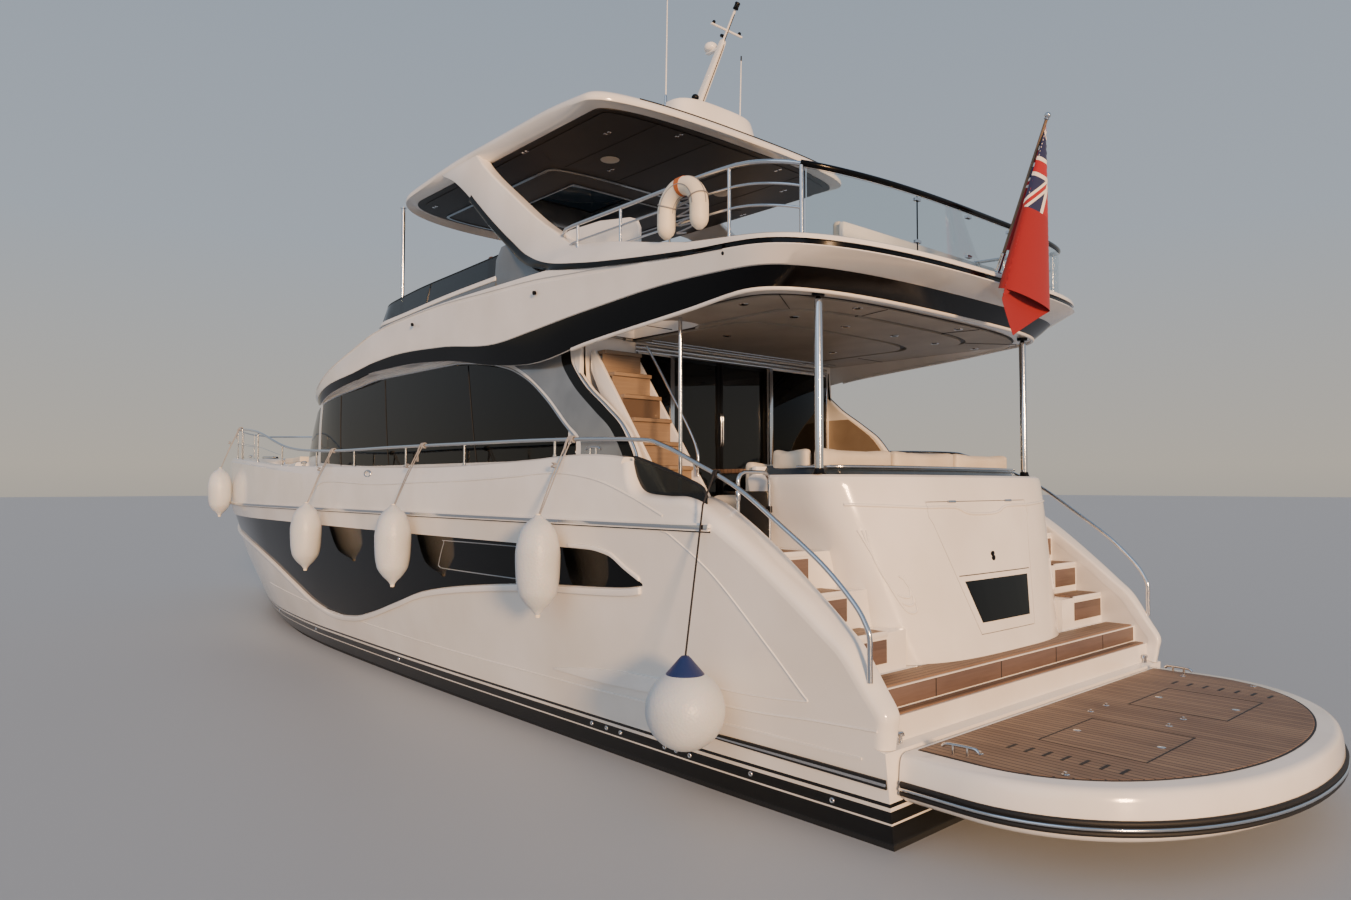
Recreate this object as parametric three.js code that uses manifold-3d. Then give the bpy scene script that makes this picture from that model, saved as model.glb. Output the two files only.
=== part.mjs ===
// A flybridge motor yacht with a hardtop, afloat, in millimetres.
// +X points to the bow, +Y to port and +Z up. The origin is on the centreline at the waterline.
import * as THREE from 'three';
import * as BufferGeometryUtils from 'three/addons/utils/BufferGeometryUtils.js';
import Module from 'manifold-3d';

const wasm = await Module();
wasm.setup();

// Driving dimensions
const seat = 0.3;                 // gap kept between pieces that touch
const running = 0.6;              // gap round a pin that turns
const sides = [['port', 1], ['stbd', -1]];
const transomX = -9100;
const keelHalf = 40;
const knuckleZ = 2190;            // rubbing strake that runs level from quarter to bow
const stemX = { keel: 10950, chine: 11230, side: 11370, knuckle: 11450, crease: 11560, cap: 11650 };
const sternHalf = 2300;           // half the width between the quarters
const sternDeckZ = 700;           // moulded deck between the quarters, level with the platform
const cockpitZ = 1980;
const cockpit = { aft: -7250, step: -6100, fore: -5100, halfAft: 2380, halfFore: 2030 };
const ceilingZ = 4150;
const flyDeckZ = 4350;
const bulkheadX = -5050;          // outside of the saloon's aft wall
const wall = 60;

// Lines of the hull: u runs from the transom at 0 to the stem at 1
const hullLines = [
  // u, chine, side and knuckle half-breadth, keel, chine and side height
  [0.00, 2330, 2480, 2600, -930, -120, 1000],
  [0.10, 2370, 2560, 2700, -960, -120, 1000],
  [0.30, 2360, 2600, 2750, -1000, -110, 1000],
  [0.50, 2270, 2560, 2750, -1030, -60, 1020],
  [0.62, 2080, 2450, 2690, -1030, 30, 1080],
  [0.74, 1690, 2090, 2400, -960, 210, 1190],
  [0.84, 1160, 1510, 1800, -740, 450, 1310],
  [0.92, 620, 880, 1100, -380, 680, 1410],
  [0.97, 260, 370, 480, 0, 830, 1470],
  [1.00, 20, 20, 20, 330, 930, 1500],
];
// Heights along the deck edge: shoulder crease, bulwark cap and side deck
const sheerLines = [
  // x, crease, cap, deck
  [-7900, 2200, 2420, 2230],
  [-7000, 2285, 2640, 2230],
  [-6370, 2500, 2795, 2230],
  [-5780, 2590, 2825, 2230],
  [-4940, 2620, 2790, 2230],
  [-3000, 2560, 2750, 2230],
  [-510, 2610, 2790, 2230],
  [2320, 2760, 2845, 2290],
  [4880, 2920, 2990, 2480],
  [8000, 3030, 3110, 2700],
  [11650, 3100, 3200, 2900],
];
// Upper edge of the quarter in side view, from the side deck down to the platform
const quarterEdge = [
  [-6560, 3400], [-6540, 2750], [-6690, 2450], [-7280, 2440], [-7550, 2330], [-7990, 2060],
  [-8400, 1750], [-8680, 1520], [-8850, 1370], [-9020, 1120], [-9140, 990], [-9080, 830], [-9100, 690],
];
// Heights along the flybridge moulding: underside, lower and upper edge of the black band, white band's top
const flyLines = [
  // x, underside, blackLow, blackTop, top
  [-8730, 4150, 4110, 4240, 4420],
  [-7800, 4150, 4160, 4320, 4540],
  [-6890, 4150, 4090, 4345, 4600],
  [-5420, 4150, 3980, 4280, 4700],
  [-4400, 4150, 3870, 4205, 4775],
  [-3670, 4150, 3920, 4160, 4795],
  [-2330, 4150, 4110, 4280, 4830],
  [-1000, 4150, 4180, 4335, 4800],
  [-140, 4150, 4180, 4300, 4730],
  [600, 4120, 4110, 4220, 4580],
  [1660, 4050, 4020, 4150, 4380],
  [2700, 3940, 3900, 4030, 4170],
  [4400, 3760, 3720, 3840, 3950],
];
// Side windows and windscreen of the saloon in side view
const saloonWindow = [
  [-5080, 2800], [-5080, 3000], [-4840, 3160], [-4450, 3470], [-4030, 3730], [-3580, 3900], [-3000, 4010],
  [-2200, 4080], [0, 4085], [900, 4020], [1700, 3960], [2500, 3880], [2500, 2900], [0, 2810],
];
const windscreenCut = [[2650, 3020], [6400, 3020], [6400, 3400], [4500, 3560], [2650, 3860]];

// Materials
const paint = (color, roughness, metalness = 0) =>
  new THREE.MeshStandardMaterial({ color, roughness, metalness });
const gelcoat = paint(0xf3efe6, 0.15);
const blackGlass = paint(0x0b0d10, 0.05);
const tintedGlass = paint(0x23282b, 0.05);
const chrome = paint(0xc9ccd0, 0.15, 1);
const teak = paint(0x9a7350, 0.7);
const cream = paint(0xe6dcc8, 0.8);
const vinyl = paint(0xe9e9e6, 0.45);
const bronze = paint(0x9a7b3c, 0.35, 1);
const redCloth = paint(0xa31622, 0.85);
const darkHide = paint(0x4a3a30, 0.6);

const yacht = new THREE.Group();

// Solids from three.js geometries, and nodes from solids
function solid(geometry) {
  geometry.deleteAttribute('normal');
  geometry.deleteAttribute('uv');
  const merged = BufferGeometryUtils.mergeVertices(geometry, 1e-2);
  return new wasm.Manifold(new wasm.Mesh({
    numProp: 3,
    vertProperties: merged.attributes.position.array,
    triVerts: Uint32Array.from(merged.index.array),
  }));
}

function node(name, shape, material) {
  const { vertProperties, triVerts } = shape.getMesh();
  const geometry = new THREE.BufferGeometry();
  geometry.setAttribute('position', new THREE.BufferAttribute(vertProperties, 3));
  geometry.setIndex(new THREE.BufferAttribute(triVerts, 1));
  geometry.computeVertexNormals();
  const mesh = new THREE.Mesh(geometry, material);
  mesh.name = name;
  yacht.add(mesh);
}

const join = (...shapes) => shapes.flat().reduce((whole, shape) => whole.add(shape));
// A piece trimmed to what carries it, with the seat gap between them
const seatedOn = (shape, carrier) => shape.subtract(carrier.translate([0, 0, seat]));
const clearOf = (shape, other) => [[seat, 0, 0], [0, seat, 0], [0, 0, seat]]
  .flatMap(shift => [shift, shift.map(v => -v)])
  .reduce((rest, shift) => rest.subtract(other.translate(shift)), shape);
const largest = shape => shape.decompose().sort((a, b) => b.volume() - a.volume())[0];

// Column of a table whose first column is the key, by monotone cubic interpolation
function sample(table, column, key) {
  const last = table.length - 1;
  if (key <= table[0][0]) return table[0][column];
  if (key >= table[last][0]) return table[last][column];
  const step = i => table[i + 1][0] - table[i][0];
  const slope = i => (table[i + 1][column] - table[i][column]) / step(i);
  const tangent = i => {
    if (i === 0) return slope(0);
    if (i === last) return slope(last - 1);
    const before = slope(i - 1);
    const after = slope(i);
    return before * after <= 0 ? 0 : 2 * before * after / (before + after);
  };
  const i = table.findIndex((row, k) => key < table[k + 1][0]);
  const h = step(i);
  const t = (key - table[i][0]) / h;
  const [from, to] = [table[i][column], table[i + 1][column]];
  return from * (1 + 2 * t) * (1 - t) ** 2 + to * t * t * (3 - 2 * t)
    + h * tangent(i) * t * (1 - t) ** 2 - h * tangent(i + 1) * t * t * (1 - t);
}

const range = (from, to, count) =>
  Array.from({ length: count + 1 }, (_, i) => from + (to - from) * i / count);

// A solid symmetric about the centreline. Each level is the port half of a closed outline, as
// [x, y, z] from its aft end on the centreline to its fore end, and the levels rise.
function stack(levels) {
  const count = levels[0].length;
  const size = 2 * count - 2;
  const ring = level => [...level, ...level.slice(1, -1).reverse().map(([x, y, z]) => [x, -y, z])];
  const positions = levels.flatMap(ring).flat();
  const indices = [];
  for (let level = 0; level < levels.length - 1; level++) {
    for (let i = 0; i < size; i++) {
      const [a, b] = [level * size + i, level * size + (i + 1) % size];
      indices.push(a, a + size, b, b, a + size, b + size);
    }
  }
  const top = size * (levels.length - 1);
  for (let i = 0; i < count - 1; i++) {
    const [port, next] = [i, i + 1];
    const [stbd, nextStbd] = [(size - i) % size, size - i - 1];
    indices.push(top + port, top + nextStbd, top + next, port, next, nextStbd);
    if (i > 0) indices.push(top + port, top + stbd, top + nextStbd, port, nextStbd, stbd);
  }
  const geometry = new THREE.BufferGeometry();
  geometry.setAttribute('position', new THREE.Float32BufferAttribute(positions, 3));
  geometry.setIndex(indices.filter((_, k) => {
    const t = 3 * Math.floor(k / 3);
    const [a, b, c] = indices.slice(t, t + 3);
    return a !== b && b !== c && a !== c;
  }));
  return solid(geometry);
}

// Port half of an outline with a rounded or square end fore and aft, at height z(x)
function outline(plan, z) {
  const { aft, aftNose = 0, aftHalf, fore, foreNose = 0, foreHalf = aftHalf, power = 3 } = plan;
  const { aftPower = power } = plan;
  const height = typeof z === 'function' ? z : () => z;
  const bend = (x0, length, half, sign, t, p) =>
    [x0 + sign * length * Math.sin(t) ** (2 / p), half * Math.cos(t) ** (2 / p)];
  const points = [];
  if (aftNose > 0) {
    range(Math.PI / 2, 0, 7)
      .forEach(t => points.push(bend(aft + aftNose, aftNose, aftHalf, -1, t, aftPower)));
  } else {
    points.push([aft, 0], [aft, aftHalf]);
  }
  range(0, 1, 8).slice(1, -1).forEach(t =>
    points.push([aft + aftNose + (fore - foreNose - aft - aftNose) * t, aftHalf + (foreHalf - aftHalf) * t]));
  if (foreNose > 0) {
    range(0, Math.PI / 2, 9)
      .forEach(t => points.push(bend(fore - foreNose, foreNose, foreHalf, 1, t, power)));
  } else {
    points.push([fore, foreHalf], [fore, 0]);
  }
  const end = points.length - 1;
  return points.map(([x, y], i) => [x, i === 0 || i === end ? 0 : y, height(x)]);
}

function extrusion(points, depth) {
  const shape = new THREE.Shape(points.map(([a, b]) => new THREE.Vector2(a, b)));
  return new THREE.ExtrudeGeometry(shape, { depth, bevelEnabled: false, steps: 1 });
}

// Prisms: drawn in side view as [x, z], in plan as [x, y], and from ahead as [y, z]
function sideways(points, yLow, yHigh) {
  return solid(extrusion(points, yHigh - yLow).rotateX(Math.PI / 2).translate(0, yHigh, 0));
}

function upright(points, zLow, zHigh) {
  return solid(extrusion(points, zHigh - zLow).translate(0, 0, zLow));
}

function lengthways(points, xLow, xHigh) {
  const turn = new THREE.Matrix4().makeBasis(
    new THREE.Vector3(0, 1, 0), new THREE.Vector3(0, 0, 1), new THREE.Vector3(1, 0, 0));
  return solid(extrusion(points, xHigh - xLow).applyMatrix4(turn).translate(xLow, 0, 0));
}

function block(xLow, xHigh, yLow, yHigh, zLow, zHigh) {
  return solid(new THREE.BoxGeometry(xHigh - xLow, yHigh - yLow, zHigh - zLow)
    .translate((xLow + xHigh) / 2, (yLow + yHigh) / 2, (zLow + zHigh) / 2));
}

function rod(from, to, radius, facets = 8, toRadius = radius) {
  const [a, b] = [new THREE.Vector3(...from), new THREE.Vector3(...to)];
  const geometry = new THREE.CylinderGeometry(toRadius, radius, a.distanceTo(b), facets);
  geometry.applyQuaternion(new THREE.Quaternion().setFromUnitVectors(
    new THREE.Vector3(0, 1, 0), b.clone().sub(a).normalize()));
  const middle = a.clone().add(b).multiplyScalar(0.5);
  return solid(geometry.translate(middle.x, middle.y, middle.z));
}

function tube(points, radius, steps, facets = 6) {
  const path = new THREE.CatmullRomCurve3(points.map(p => new THREE.Vector3(...p)), false, 'centripetal');
  const section = new THREE.Shape(range(0, 2 * Math.PI, facets).slice(0, -1)
    .map(t => new THREE.Vector2(radius * Math.cos(t), radius * Math.sin(t))));
  return solid(new THREE.ExtrudeGeometry(section, { steps, extrudePath: path }));
}

// Hull
const hullStations = range(0, 1, 20).map(u => 1 - (1 - u) ** 1.25);
const hullLevel = (stem, half, height) => {
  const points = hullStations.map(u => [transomX + u * (stem - transomX), half(u), height(u)]);
  const end = points[points.length - 1];
  return [[transomX, 0, points[0][2]], ...points, [end[0], 0, end[2]]];
};
const column = k => u => sample(hullLines, k, u);
const knuckleHalf = x => sample(hullLines, 3, (x - transomX) / (stemX.knuckle - transomX));
const sheer = k => x => sample(sheerLines, k, x);

function hullBody() {
  return stack([
    hullLevel(stemX.keel, () => keelHalf, column(4)),
    hullLevel(stemX.chine, column(1), column(5)),
    hullLevel(stemX.side, column(2), column(6)),
    hullLevel(stemX.knuckle, column(3), () => knuckleZ),
  ]);
}

const overQuarter = sideways(
  [[-9600, 3400], ...quarterEdge, [-9600, 690]].reverse(), -3200, 3200);
const sternWell = block(-9600, cockpit.aft, -sternHalf, sternHalf, sternDeckZ, 3400);
const cockpitWell = join(
  block(cockpit.aft - 10, cockpit.step, -cockpit.halfAft, cockpit.halfAft, cockpitZ, 3400),
  block(cockpit.step - 10, cockpit.fore, -cockpit.halfFore, cockpit.halfFore, cockpitZ, 3400));

const shaft = { y: 1150, fromX: -4700, fromZ: -640, toX: -7440, toZ: -1120, radius: 45 };
const rudder = { x: -8350, top: -660, low: -1560, fore: 170, aft: -360 };

function underwaterGear(side) {
  const y = side * shaft.y;
  return join(
    rod([shaft.fromX, y, shaft.fromZ], [shaft.toX, y, shaft.toZ], shaft.radius, 10),
    rod([shaft.toX + 330, y, shaft.toZ + 58], [shaft.toX + 10, y, shaft.toZ + 2], 80, 10),
    sideways([[50, -1120], [300, -1080], [330, -450], [90, -450]].map(([x, z]) => [shaft.toX + x, z]),
      y - 18, y + 18),
    rod([rudder.x, y, rudder.top + seat], [rudder.x, y, -200], 60, 10));
}

const lift = { pivotX: -9230, lowerZ: -605, upperZ: -465, length: 700, rise: 30, armY: 560, tube: 28 };
const pinRadius = 16;
const eye = {
  x: lift.pivotX - lift.length * Math.cos(lift.rise * Math.PI / 180),
  up: lift.length * Math.sin(lift.rise * Math.PI / 180),
};

function hullNode() {
  return join(hullBody(), sides.map(([, side]) => underwaterGear(side)))
    .subtract(join(overQuarter, sternWell, cockpitWell));
}

// Bracket bolted to the transom, which carries the pivots of both lift arms
function liftBracketNode(side) {
  const y = side * 440;
  const [low, high] = [lift.lowerZ - 60, lift.upperZ + 42];
  const plate = block(lift.pivotX - 50, transomX - 5, y - 15, y + 15, low, high);
  const foot = block(transomX - 15, transomX - seat, y - 60, y + 60, low - 30, high + 10);
  const bores = [lift.lowerZ, lift.upperZ].map(z =>
    rod([lift.pivotX, y - 60, z], [lift.pivotX, y + 60, z], lift.tube + running, 24));
  return join(plate, foot).subtract(join(bores));
}

// Deck moulding: bulwarks, side decks, foredeck and coachroof
const deckAft = -7900;
const deckStations = range(0, 1, 18).map(u => 1 - (1 - u) ** 1.2);
const deckLevel = (stem, inset, height, aft = deckAft) => {
  const points = deckStations.map(u => {
    const x = aft + u * (stem - aft);
    const half = knuckleHalf(aft + u * (stemX.knuckle - aft));
    return [x, Math.max(20, half - inset), height(x)];
  });
  const end = points[points.length - 1];
  return [[aft, 0, points[0][2]], ...points, [end[0], 0, end[2]]];
};
const bulwark = 240;
const bowLocker = 10700;

function deckNode() {
  const shell = stack([
    deckLevel(stemX.knuckle, 0, () => knuckleZ + seat),
    deckLevel(stemX.crease, 15, sheer(1)),
    deckLevel(stemX.cap, 90, sheer(2)),
  ]);
  const recess = stack([
    deckLevel(bowLocker, bulwark, sheer(3)),
    deckLevel(bowLocker, bulwark, () => 4200),
  ]);
  const trunk = outline({ aft: 6050, aftHalf: 1250, fore: 9000, foreNose: 1300, foreHalf: 900 }, 0);
  const coachroof = stack([
    trunk.map(([x, y]) => [x, y, 2250]),
    trunk.map(([x, y]) => [x, y, 2900]),
    trunk.map(([x, y]) => [x - 60 * (x > 7000), Math.max(0, y - 100), 3010]),
  ]);
  const windlassDeck = z => outline({ aft: 9300, aftHalf: 520, fore: 10900, foreHalf: 330 }, z);
  return shell.subtract(recess).add(coachroof).add(stack([windlassDeck(2400), windlassDeck(2960)]))
    .subtract(join(overQuarter, cockpitWell, sternWell));
}

// Stern: stairs, transom block and its hatch
const blockAft = z => -8395 - (2620 - z) * 0.24;
const blockLevel = (z, half, inset = 0) => outline({
  aft: blockAft(z) + inset, aftNose: 620 - inset, aftHalf: half - inset,
  fore: cockpit.aft - inset, power: 3.2,
}, z);
const blockBase = 1052;
const steps = { aft: -8560, going: 270, low: 1050, rise: 310 };

function stairsNode() {
  const half = sternHalf - seat;
  const fore = cockpit.aft - seat;
  const landing = block(-9020, fore, -half, half, sternDeckZ + seat, 880);
  const plinth = block(-8900, fore, -half, half, 800, steps.low);
  const flights = range(1, 3, 2).flatMap(n => [[1380, half], [-half, -1380]].map(([low, high]) =>
    block(steps.aft + steps.going * (n - 1), fore, low, high, 1000, steps.low + steps.rise * n)));
  const keepOut = stack([
    blockLevel(blockBase - 1, 1385), blockLevel(1800, 1625), blockLevel(2300, 1790), blockLevel(2700, 1865)]);
  return join(landing, plinth, ...flights).subtract(keepOut);
}

function transomHatchShape(gap) {
  const edge = [[470 + gap, 1240 - gap], [870 + gap, 2240], [870 + gap, 2380 + gap]];
  return lengthways([...edge, ...[...edge].reverse().map(([y, z]) => [-y, z])], -9300, -8200);
}

const blockOuter = () => stack([
  blockLevel(blockBase, 1380), blockLevel(1800, 1620), blockLevel(2300, 1785), blockLevel(2620, 1860)]);
const blockInner = () => stack([
  blockLevel(blockBase + 60, 1380, wall), blockLevel(1800, 1620, wall), blockLevel(2300, 1785, wall),
  blockLevel(2560, 1840, wall)]);

const hatchHinge = { x: -8455, z: 2383, radius: 12 };
const hingeBarrels = radius => join([-560, 440].map(y =>
  rod([hatchHinge.x, y, hatchHinge.z], [hatchHinge.x, y + 120, hatchHinge.z], radius, 12)));
const blockShell = blockOuter().subtract(blockInner());
const barrelClearance = join([-561, 439].map(y =>
  rod([hatchHinge.x, y, hatchHinge.z], [hatchHinge.x, y + 122, hatchHinge.z],
    hatchHinge.radius + running, 24)));

node('stern_stairs', stairsNode(), teak);
node('transom_block', blockShell.subtract(join(transomHatchShape(6), barrelClearance)), gelcoat);
const transomLid = blockShell.intersect(transomHatchShape(0)).add(hingeBarrels(hatchHinge.radius));
node('transom_hatch', transomLid, gelcoat);

// Bathing platform on parallel lift arms
const platformHalf = 2300;
const platformLevel = (z, inset) => outline({
  aft: -11100 + inset, aftNose: 1500 - inset, aftHalf: platformHalf - inset, fore: transomX - 15, power: 2.1,
}, z);

function platformNode() {
  const slab = stack([
    platformLevel(300, 90), platformLevel(400, 5), platformLevel(460, 0),
    platformLevel(620, 15), platformLevel(660, 40)]);
  const brackets = sides.map(([, side]) => {
    const [near, far] = [side * (lift.armY + 33), side * (lift.armY + 63)];
    const cheek = sideways([[eye.x - 60, lift.lowerZ + eye.up - 50], [eye.x + 60, lift.lowerZ + eye.up - 50],
      [eye.x + 160, 320], [eye.x - 300, 320]], Math.min(near, far), Math.max(near, far));
    const pins = [lift.lowerZ, lift.upperZ].map(z => rod([eye.x, side * (lift.armY - 26), z + eye.up],
      [eye.x, side * (lift.armY + 40), z + eye.up], pinRadius, 12));
    return join(cheek, pins);
  });
  return join(slab, brackets);
}

function armsNode(pivotZ) {
  const crossEnd = lift.armY + 20;
  const cross = rod([lift.pivotX, -crossEnd, pivotZ], [lift.pivotX, crossEnd, pivotZ], lift.tube, 12);
  const arms = sides.map(([, side]) => {
    const y = side * lift.armY;
    const [low, high] = [y - 22, y + 22];
    const turn = lift.rise * Math.PI / 180;
    const [alongX, alongZ] = [-Math.cos(turn), Math.sin(turn)];
    const at = (s, h) => [lift.pivotX + s * alongX + h * alongZ, pivotZ + s * alongZ - h * alongX];
    const far = lift.length + 40;
    const bar = sideways([at(-40, -26), at(-40, 26), at(far, 26), at(far, -26)], low, high);
    const eyeZ = pivotZ + eye.up;
    return bar.subtract(rod([eye.x, y - 60, eyeZ], [eye.x, y + 60, eyeZ], pinRadius + running, 24));
  });
  return join(cross, arms);
}

sides.forEach(([name, side]) => node(`lift_bracket_${name}`, liftBracketNode(side), chrome));
node('bathing_platform', platformNode(), gelcoat);
node('lift_arms_lower', armsNode(lift.lowerZ), chrome);
node('lift_arms_upper', armsNode(lift.upperZ), chrome);

// Cockpit: sofa, table, poles and the stairs to the flybridge
const sofa = { seatZ: 2420, backZ: 2760, half: 1750, depth: 700, backThick: 190 };

function sofaNode() {
  const seatPart = outline(
    { aft: cockpit.aft + seat, aftHalf: sofa.half, fore: cockpit.aft + sofa.depth }, 0);
  const base = stack([
    seatPart.map(([x, y]) => [x, y, cockpitZ + seat]), seatPart.map(([x, y]) => [x, y, sofa.seatZ])]);
  return base.add(block(
    cockpit.aft + seat, cockpit.aft + sofa.backThick, -sofa.half, sofa.half, sofa.seatZ - 20, sofa.backZ));
}

const coamingTop = 2620;
const pole = { x: -7985, y: 1760, radius: 38 };

function tableNode() {
  return join(
    block(-6350, -5700, -500, 900, 2650, 2700),
    rod([-6025, 200, cockpitZ + 20], [-6025, 200, 2660], 60, 12),
    rod([-6025, 200, cockpitZ + seat], [-6025, 200, cockpitZ + 30], 220, 16));
}

const flight = { aft: -6420, fore: -5110, low: 1420, high: 2010, count: 8, thick: 60 };

function flyStairsNode() {
  const rise = (flyDeckZ - 150 - cockpitZ) / (flight.count + 1);
  const going = (flight.fore - flight.aft) / flight.count;
  const treads = range(0, flight.count - 1, flight.count - 1).map(n => block(
    flight.aft + going * n - 30, flight.aft + going * (n + 1) + 10, flight.low + 10, flight.high - 10,
    cockpitZ + rise * (n + 1) - flight.thick, cockpitZ + rise * (n + 1)));
  const top = cockpitZ + rise * flight.count;
  const stringers = [flight.low, flight.high - 40].map(y => sideways([
    [flight.aft - 60, cockpitZ + seat], [flight.aft + 260, cockpitZ + seat],
    [flight.fore, top - 200], [flight.fore, top], [flight.fore - 60, top],
    [flight.aft - 60, cockpitZ + rise]],
  y, y + 40));
  const newel = rod([flight.aft - 40, flight.high - 60, cockpitZ + rise - 20],
    [flight.aft - 40, flight.high - 60, ceilingZ - seat], 20, 8);
  return join(treads, stringers, newel);
}

node('cockpit_sofa', sofaNode(), cream);
node('cockpit_table', tableNode(), teak);
node('fly_stairs', flyStairsNode(), teak);
sides.forEach(([name, side]) => node(`pole_${name}`,
  rod([pole.x, side * pole.y, coamingTop + seat], [pole.x, side * pole.y, ceilingZ - seat], pole.radius, 12),
  chrome));

// Deckhouse: hollow saloon with its windows and aft doorway cut, and the wing plates aft of it
const roof = x => sample(flyLines, 1, x);
const pocket = 10;                // depth that the deckhouse is let into the deck
const houseLevels = inset => {
  const half = y => y - inset;
  const level = (sideHalf, front, nose, power, z) => outline({
    aft: bulkheadX + inset, aftHalf: half(sideHalf),
    fore: front - inset, foreNose: nose, foreHalf: half(sideHalf - 20), power,
  }, z);
  return [
    level(2150, 6000, 4900, 2.0, x => sheer(3)(x) - pocket),
    level(2150, 5900, 4850, 2.0, 3000),
    level(2130, 5100, 4000, 2.3, 3500),
    level(2090, 4250, 3100, 2.8, x => roof(x) + 15),
  ];
};
const doorway = { low: -850, high: 780, floor: 2270, head: 4020 };

function houseShell(outerInset, innerInset) {
  const inner = houseLevels(innerInset);
  const floor = inner[0].map(([x, y, z]) => [x, y, z + 40]);
  const ceiling = inner[3].map(([x, y, z]) => [x, y, z - 50]);
  return stack(houseLevels(outerInset)).subtract(stack([floor, inner[1], inner[2], ceiling]));
}

// The glass is drawn a little smaller than its opening, about the middle of the window
function windowPrisms(scale) {
  const grow = points => {
    const middle = [0, 1].map(k => points.reduce((sum, p) => sum + p[k], 0) / points.length);
    return points.map(p => p.map((v, k) => middle[k] + (v - middle[k]) * scale));
  };
  const side = grow(saloonWindow);
  return {
    side: [sideways(side, 1200, 2400), sideways(side, -2400, -1200)],
    front: sideways(grow(windscreenCut), -2400, 2400),
  };
}

function deckhouseNode() {
  const cut = windowPrisms(1);
  const plates = sides.map(([, side]) => {
    const [low, high] = side > 0 ? [2060, 2150] : [-2150, -2060];
    return sideways([
      [-6150, 2230 + seat], [-4960, 2230 + seat], [-4960, 3850],
      [-5210, 3570], [-5560, 3330], [-5850, 3110], [-6060, 2790]].reverse(), low, high);
  });
  const door = block(bulkheadX - 50, bulkheadX + 100, doorway.low, doorway.high, doorway.floor, doorway.head);
  const track = block(bulkheadX + wall - 5, bulkheadX + wall + 45, doorway.low - 950, doorway.high + 950,
    doorway.head + 20 + seat, 4130);
  return houseShell(0, wall).add(join(plates, track)).subtract(join(cut.side, cut.front, door));
}

function glassNodes() {
  const cut = windowPrisms(0.9993);
  const shell = houseShell(12, 40);
  sides.forEach(([name], i) => node(`saloon_glass_${name}`, shell.intersect(cut.side[i]), blackGlass));
  node('windscreen', shell.intersect(cut.front), blackGlass);
}

const houseFoot = () => {
  const foot = houseLevels(-2)[0];
  return stack([foot.map(([x, y, z]) => [x, y, z - seat]), foot.map(([x, y]) => [x, y, 4200])]);
};
const doorMid = (doorway.low + doorway.high) / 2;
const doorX = bulkheadX + wall + 6;
const doorSpans = [['port', doorMid + 3, doorway.high + 40], ['stbd', doorway.low - 40, doorMid - 3]];
doorSpans.forEach(([name, low, high]) =>
  node(`door_${name}`, block(doorX, doorX + 30, low, high, doorway.floor + 6, doorway.head + 20),
    tintedGlass));

// Flybridge moulding: ceiling over the cockpit, black and white bands, brow and coaming
const fly = k => x => sample(flyLines, k, x);
const flyLevel = (aft, nose, aftHalf, foreHalf, fore, z) => outline({
  aft, aftNose: nose, aftHalf, fore, foreNose: 4200, foreHalf, power: 2.6, aftPower: 3,
}, z);
const stairHole = block(-6330, flight.fore + 10, flight.low - 10, flight.high + 10, 4000, 5200);
const screenLine = { aft: -3450, fore: 700, half: 2160, base: 4900, top: 5240 };

// The solid moulding; drop lowers its underside to leave the seat gap where it cuts what carries it
function flyShell(drop) {
  return stack([
    flyLevel(-8120, 700, 2220, 2190, 4230, x => fly(1)(x) - drop),
    flyLevel(-8240, 800, 2300, 2240, 4300, x => fly(2)(x) - drop),
    flyLevel(-8430, 900, 2370, 2280, 4340, fly(3)),
    flyLevel(-8730, 1130, 2420, 2300, 4400, x => fly(4)(x) - 60),
    flyLevel(-8700, 1110, 2390, 2270, 4340, fly(4)),
  ]);
}

function flybridgeNode() {
  const shell = flyShell(0);
  const wellLine = z => outline(
    { aft: -8450, aftNose: 900, aftHalf: 2240, fore: 350, foreNose: 900, foreHalf: 2080 }, z);
  const well = stack([wellLine(flyDeckZ), wellLine(6000)]);
  const coaming = (inset, z) => outline({
    aft: screenLine.aft, aftHalf: screenLine.half - inset,
    fore: screenLine.fore - inset, foreNose: 1100, power: 2.6,
  }, z);
  const ring = stack([coaming(-60, x => fly(4)(x) - 100), coaming(0, screenLine.base)])
    .subtract(stack([coaming(200, 4300), coaming(200, 5100)]))
    .subtract(block(screenLine.aft - 100, screenLine.aft + 60, -1960, 1960, 4300, 5300));
  return shell.subtract(well).add(ring).subtract(stairHole);
}

function flyScreenNode() {
  const line = (inset, z) => outline({
    aft: screenLine.aft + 40, aftHalf: screenLine.half - 20 - inset, fore: screenLine.fore - 40 - inset,
    foreNose: 1080, power: 2.6,
  }, z);
  return stack([line(0, screenLine.base + seat), line(60, screenLine.top)])
    .subtract(stack([line(24, screenLine.base - 20), line(84, screenLine.top + 20)]))
    .subtract(block(screenLine.aft - 100, screenLine.aft + 80, -2080, 2080, 4300, 5900));
}

node('deckhouse', deckhouseNode().subtract(flyShell(seat)), gelcoat);
glassNodes();
const flybridge = flybridgeNode();
node('flybridge', flybridge, gelcoat);
node('fly_screen', seatedOn(flyScreenNode(), flybridge), tintedGlass);

// Hardtop, its arch legs, front poles and sunroof
const archFore = [
  [-1700, 6700], [-2380, 6410], [-2900, 6010], [-3290, 5670], [-3750, 5320], [-4170, 5070], [-4760, 4900]];
const archAft = [
  [-6740, 4760], [-5840, 4950], [-5090, 5080], [-4680, 5300],
  [-4290, 5540], [-3740, 5950], [-3280, 6250], [-2850, 6700]];
const hardtop = { aft: -5600, fore: -150, half: 2160, under: 6560 };
const hardtopLines = [
  // x, edge top height
  [-5600, 6700],
  [-4200, 6800],
  [-2600, 6800],
  [-1200, 6730],
  [-150, 6620],
];

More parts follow.
